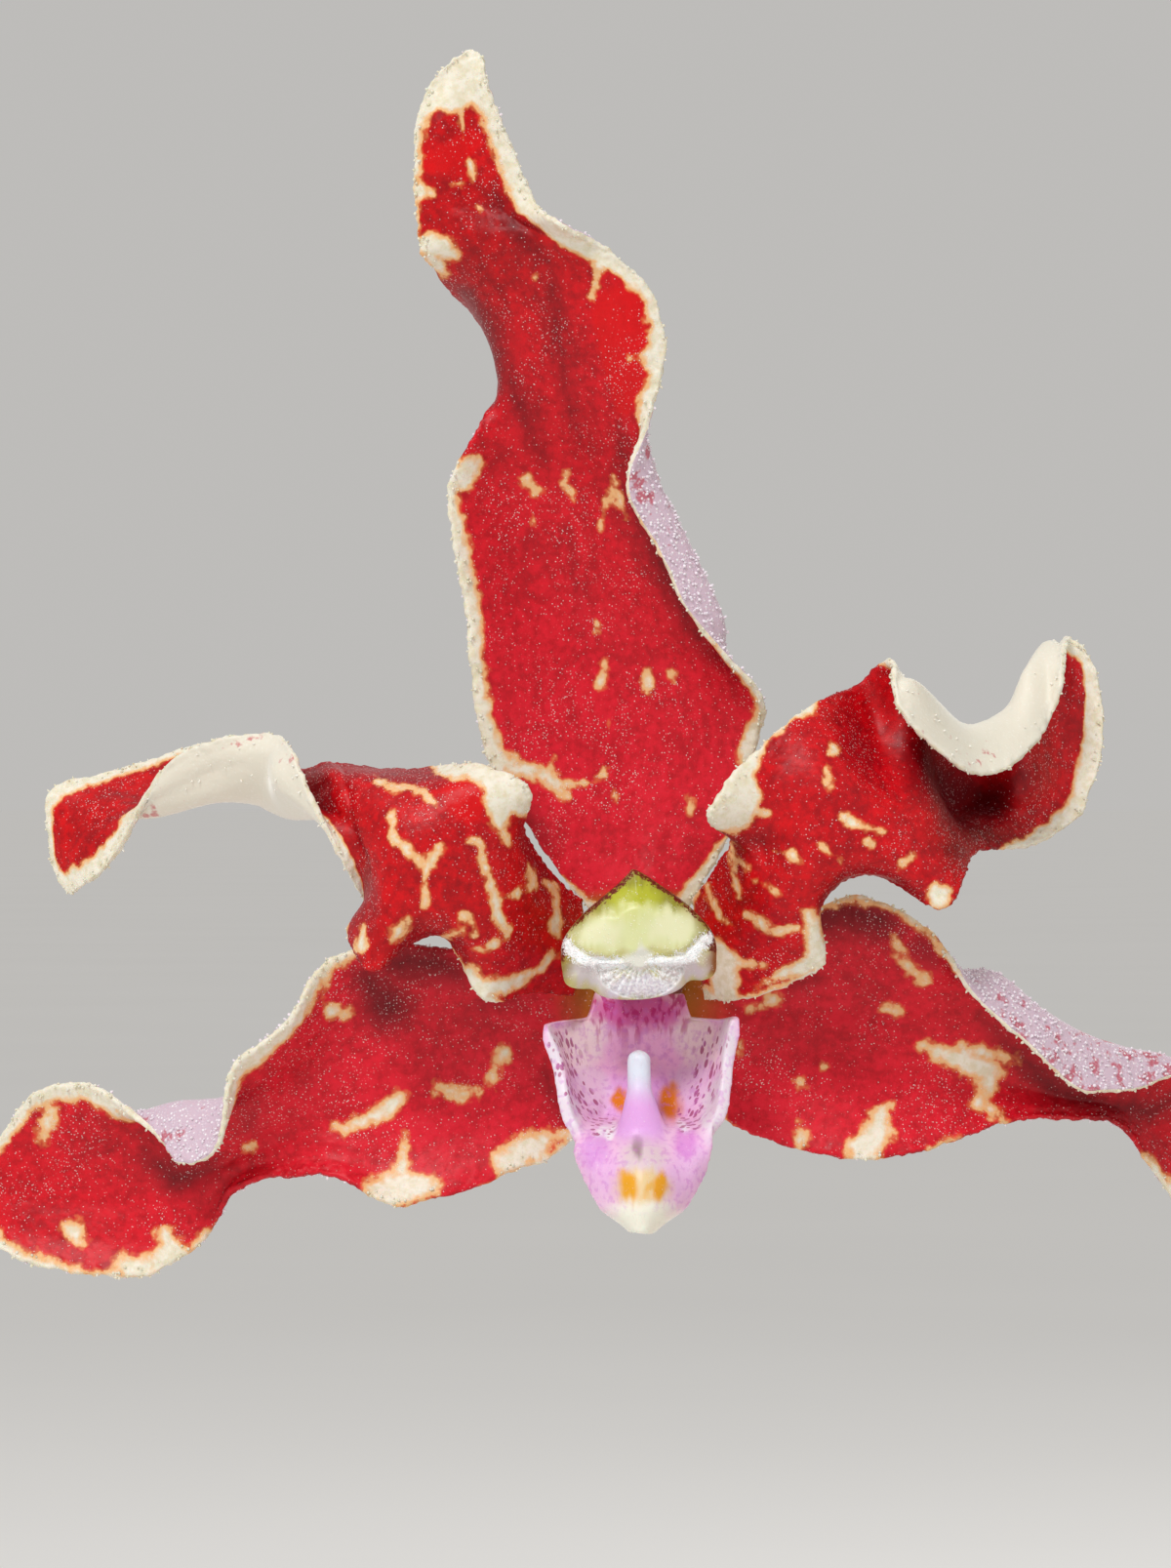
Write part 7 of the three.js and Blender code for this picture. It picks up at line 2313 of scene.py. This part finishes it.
@dataclass(frozen=True)
class PlainSkin:
    """A grown or fired surface whose colour wanders between two tones, with small marks of a third."""

    name: str
    dark: str
    light: str
    mark: str
    cell: float
    mark_cell: float
    mark_share: float
    rough: float
    relief: float
    stretch: Point = (1.0, 1.0, 1.0)
    painted: str = ""
    painted_colour: str = "#000000"
    coat: float = 0.0
    subsurface: float = 0.0

    def build(self) -> bpy.types.Material:
        """Makes the material."""
        g = Shades(self.name)
        at = g.stretched(g.coords(), self.stretch)
        broad = g.noise(at, 1 / self.cell, 4.0, 0.6)
        marks = g.noise(at, 1 / self.mark_cell, 4.0, 0.65)
        colour = g.mix(g.ramp(broad, 0.32, 0.68), self.dark, self.light)
        is_mark = g.ramp(marks, self.mark_share, self.mark_share + 0.1)
        colour = g.mix(is_mark, colour, self.mark)
        if self.painted:
            share = g.sum("MULTIPLY_ADD", broad, 0.5, g.painted(self.painted))
            colour = g.mix(g.ramp(share, 0.3, 1.1), colour, self.painted_colour)
        g.dress({
            "Base Color": colour,
            "Roughness": g.ramp(marks, 0.3, 0.7, self.rough - 0.08, self.rough + 0.08),
            "Coat Weight": self.coat, "Coat Roughness": 0.25, "Subsurface Weight": self.subsurface,
            "Subsurface Radius": (1.0, 0.8, 0.4), "Subsurface Scale": 0.001,
        })
        low = g.bump(broad, 0.5, self.relief)
        g.dress({"Normal": g.bump(marks, 0.6, self.relief * 0.6, low)})
        return g.material


@dataclass(frozen=True)
class LeafSkin:
    """A thick leathery leaf: parallel veins, a pale midrib and margin, a waxy gloss and some old stains."""

    name: str = "leaf_cuticle"

    def build(self) -> bpy.types.Material:
        """Makes the material."""
        g = Shades(self.name)
        at = g.coords()
        across = g.times(g.painted("across_mm"), 0.001)
        lines = g.node("ShaderNodeCombineXYZ", {0: across, 1: g.times(g.painted("along"), 0.004)})
        veins = g.noise(lines.outputs[0], 900, 3.0, 0.6)
        cloud = g.noise(at, 26, 3.0)
        colour = g.mix(g.ramp(cloud, 0.35, 0.65), "#2F5A20", "#47772E")
        colour = g.mix(g.times(g.ramp(veins, 0.42, 0.66), 0.4), colour, "#6C9444")
        colour = g.mix(g.times(g.painted("rib"), 0.5), colour, "#86A45A")
        colour = g.mix(g.times(g.painted("margin"), 0.5), colour, "#8C9A4C")
        age = g.times(g.painted("age"), g.ramp(cloud, 0.45, 0.7))
        colour = g.mix(g.times(age, 0.5), colour, "#9A9A3C")
        scorch = g.sum("MULTIPLY_ADD", g.noise(at, 160, 3.0), 0.6, g.painted("tip"))
        colour = g.mix(g.ramp(scorch, 0.95, 1.15), colour, "#6E4A26")
        specks = g.ramp(g.noise(at, 240, 4.0, 0.7), 0.68, 0.74)
        colour = g.mix(g.times(specks, 0.5), colour, "#57602A")
        g.dress({
            "Base Color": colour, "Roughness": g.ramp(cloud, 0.3, 0.7, 0.3, 0.44), "Coat Weight": 0.12,
            "Coat Roughness": 0.35,
        })
        low = g.bump(veins, 0.5, 0.00025)
        g.dress({"Normal": g.bump(g.noise(at, 420, 3.0), 0.35, 0.0002, low)})
        return g.material


@dataclass(frozen=True)
class BarkSkin:
    """Conifer bark: each chip its own brown, layered and crumbly, with pale broken fibres."""

    name: str = "bark_chip"

    def build(self) -> bpy.types.Material:
        """Makes the material."""
        g = Shades(self.name)
        at = g.coords()
        tone = g.painted("tone")
        grainy = g.noise(g.stretched(at, (1.0, 1.0, 3.0)), 260, 5.0, 0.65)
        base = g.mix(tone, "#3A2216", "#6E4628")
        colour = g.mix(g.ramp(grainy, 0.4, 0.68), base, "#8A5E3A")
        colour = g.mix(g.ramp(g.noise(at, 700, 3.0), 0.62, 0.72), colour, "#24140C")
        dust = g.ramp(g.noise(at, 90, 3.0), 0.6, 0.75)
        colour = g.mix(g.times(dust, 0.35), colour, "#A08C78")
        g.dress({"Base Color": colour, "Roughness": 0.88})
        low = g.bump(grainy, 0.8, 0.0008)
        g.dress({"Normal": g.bump(g.noise(at, 1200, 3.0), 0.5, 0.0003, low)})
        return g.material


@dataclass
class Studio:
    """The camera at the photograph's place, a pale floor and plain soft light."""

    camera_at: Point = (-187.75, -490.0, 204.075)
    lens: float = 179.2
    reach: float = 60.0
    sky: float = 0.6

    def build(self) -> None:
        """Makes the camera, the floor, the lights and the sky's even light."""
        self.camera()
        self.floor()
        self.lights()
        self.even_sky()

    def camera(self) -> None:
        """Makes the camera, which looks straight along +Y at the lead bloom."""
        bpy.ops.object.camera_add(location=Vector(self.camera_at) * MM, rotation=(math.radians(90), 0, 0))
        made = bpy.context.object
        made.data.lens = self.lens
        made.data.sensor_width = 36
        made.data.clip_start, made.data.clip_end = 0.02, 500
        bpy.context.scene.camera = made

    def floor(self) -> None:
        """Makes the floor, wide enough that no view finds its end."""
        bpy.ops.mesh.primitive_grid_add(x_subdivisions=2, y_subdivisions=2, size=2 * self.reach)
        made = bpy.context.object
        made.name = "floor"
        g = Shades("floor_card")
        tint_of = g.noise(g.coords(), 3.0, 3.0)
        g.dress({
            "Base Color": g.mix(tint_of, "#ECEAE7", "#F0EEEB"), "Roughness": 1.0,
            "Specular IOR Level": 0.0,
        })
        made.data.materials.append(g.material)

    def lights(self) -> None:
        """Makes a soft key from upper left in front, a weaker fill from the right and a light behind."""
        target = Vector((-120, -60, 190)) * MM
        for name, offset, size, power in (
            ("key", (-0.55, -1.0, 1.15), 0.5, 14.0),
            ("fill", (1.2, -0.7, 0.5), 1.0, 1.6),
            ("back", (0.5, 1.3, 1.1), 0.9, 7.0),
        ):
            bpy.ops.object.light_add(type="AREA", location=target + Vector(offset))
            lamp = bpy.context.object
            lamp.name = name
            lamp.data.shape, lamp.data.size = "DISK", size
            lamp.data.energy = power
            lamp.rotation_mode = "QUATERNION"
            lamp.rotation_quaternion = (-Vector(offset)).to_track_quat("-Z", "Y")

    def even_sky(self) -> None:
        """Makes the sky's light and shows it in the far floor's tone, so that no horizon is seen."""
        world = bpy.data.worlds.new("sky")
        bpy.context.scene.world = world
        world.use_nodes = True
        tree = world.node_tree
        tree.nodes.clear()
        lit = add_node(tree, "ShaderNodeBackground", {0: (1.0, 0.995, 0.985, 1.0), 1: self.sky})
        shown = add_node(tree, "ShaderNodeBackground", {0: linear("#EEECE9"), 1: self.sky})
        seen = add_node(tree, "ShaderNodeLightPath").outputs["Is Camera Ray"]
        mixed = add_node(tree, "ShaderNodeMixShader", {0: seen, 1: lit.outputs[0], 2: shown.outputs[0]})
        add_node(tree, "ShaderNodeOutputWorld", {"Surface": mixed.outputs[0]})


def all_materials() -> dict[str, bpy.types.Material]:
    """Makes every material once, by short name."""
    finishes = {
        "red_face": TepalFace(
            "red_tepal_skin", "#960008", "#D40008", "#DE1C34", "#DDD4B8", "#E0904E", 0.85
        ),
        "red_back": TepalBack("sepal_outer_hairs", "#CDB4C2", "#EFE2EA", "#B8384E", 1.08),
        "petal_back": TepalBack("petal_outer_skin", "#E4DDCC", "#F3EEE2", "#C86468", 1.16, 0.15),
        "yellow_face": SpottedFace("yellow_tepal_skin", "#E0B62C", "#EFD873", "#8E1A1C"),
        "yellow_back": TepalBack("yellow_tepal_outer_hairs", "#DDC870", "#F0E6B4", "#A8403A", 1.1),
        "lip": LipSkin(),
        "cap": CapSkin(),
        "column": PlainSkin(
            "column_flesh", "#B8A838", "#D9CC74", "#E9DFA8", 0.0012, 0.0004, 0.58, 0.4, 0.00006,
             subsurface=0.2
        ),
        "leaf": LeafSkin(),
        "sheath": PlainSkin(
            "leaf_sheath", "#5E7236", "#84924C", "#8E7A48", 0.006, 0.0011, 0.62, 0.5, 0.0003,
            stretch=(2.5, 2.5, 0.18), painted="old", painted_colour="#8C6B44",
        ),
        "root": PlainSkin(
            "root_velamen", "#A8A690", "#CBC9B8", "#7E8468", 0.005, 0.0012, 0.6, 0.8, 0.0003,
            painted="tip", painted_colour="#5E8A34",
        ),
        "bark": BarkSkin(),
        "terracotta": PlainSkin(
            "terracotta", "#AE5E38", "#BE7048", "#D2A888", 0.012, 0.0016, 0.6, 0.85, 0.00025,
            stretch=(1.0, 1.0, 2.4), painted="salt", painted_colour="#D6C0A8",
        ),
        "spike": PlainSkin(
            "spike_skin", "#6F7B34", "#8E8E46", "#7A3A34", 0.004, 0.0007, 0.58, 0.55, 0.00015,
            painted="red", painted_colour="#8A4A3E",
        ),
        "bud": PlainSkin(
            "bud_skin", "#9C8E3E", "#BDB062", "#8E2E30", 0.003, 0.0008, 0.57, 0.55, 0.00015,
            painted="tip", painted_colour="#8E6A3C", subsurface=0.1,
        ),
    }
    return {name: finish.build() for name, finish in finishes.items()}


BLOOMS = [
    Bloom("bloom_2", (-104, -80, 164), 14, 6, 7, 0.96, mirror=True, share=0.66),
    Bloom("bloom_3", (-178, -74, 102), -22, 4, -6, 0.93, share=0.84),
    Bloom("yellow_bloom_1", (-60, -66, 226), 10, 2, -5, 0.84, mirror=True, yellow=True, share=0.2),
    Bloom("yellow_bloom_2", (-112, -72, 272), -8, -6, 8, 0.84, yellow=True, share=0.37),
]
LEAD_STALK = Bloom("lead", (-185, -90, 195), share=0.69)


def main() -> None:
    """Builds the studio and the plant, piece by piece, and reports them."""
    logging.basicConfig(level=logging.INFO, format="%(name)s: %(message)s")
    bpy.ops.object.select_all(action="DESELECT")
    bpy.context.scene.view_settings.view_transform = "Standard"
    Studio().build()
    looks = all_materials()
    LeadBloom().build(looks)
    for bloom in BLOOMS:
        bloom.build(looks)
    Spike().build([LEAD_STALK, *BLOOMS], looks)
    Buds().build(looks)
    for number in range(LEAF_COUNT):
        Leaf(number).build(looks)
    Stem().build(looks)
    Roots().build(looks)
    pot = Pot()
    pot.build(looks)
    Bark().build(pot, looks)


if __name__ == "__main__":
    main()
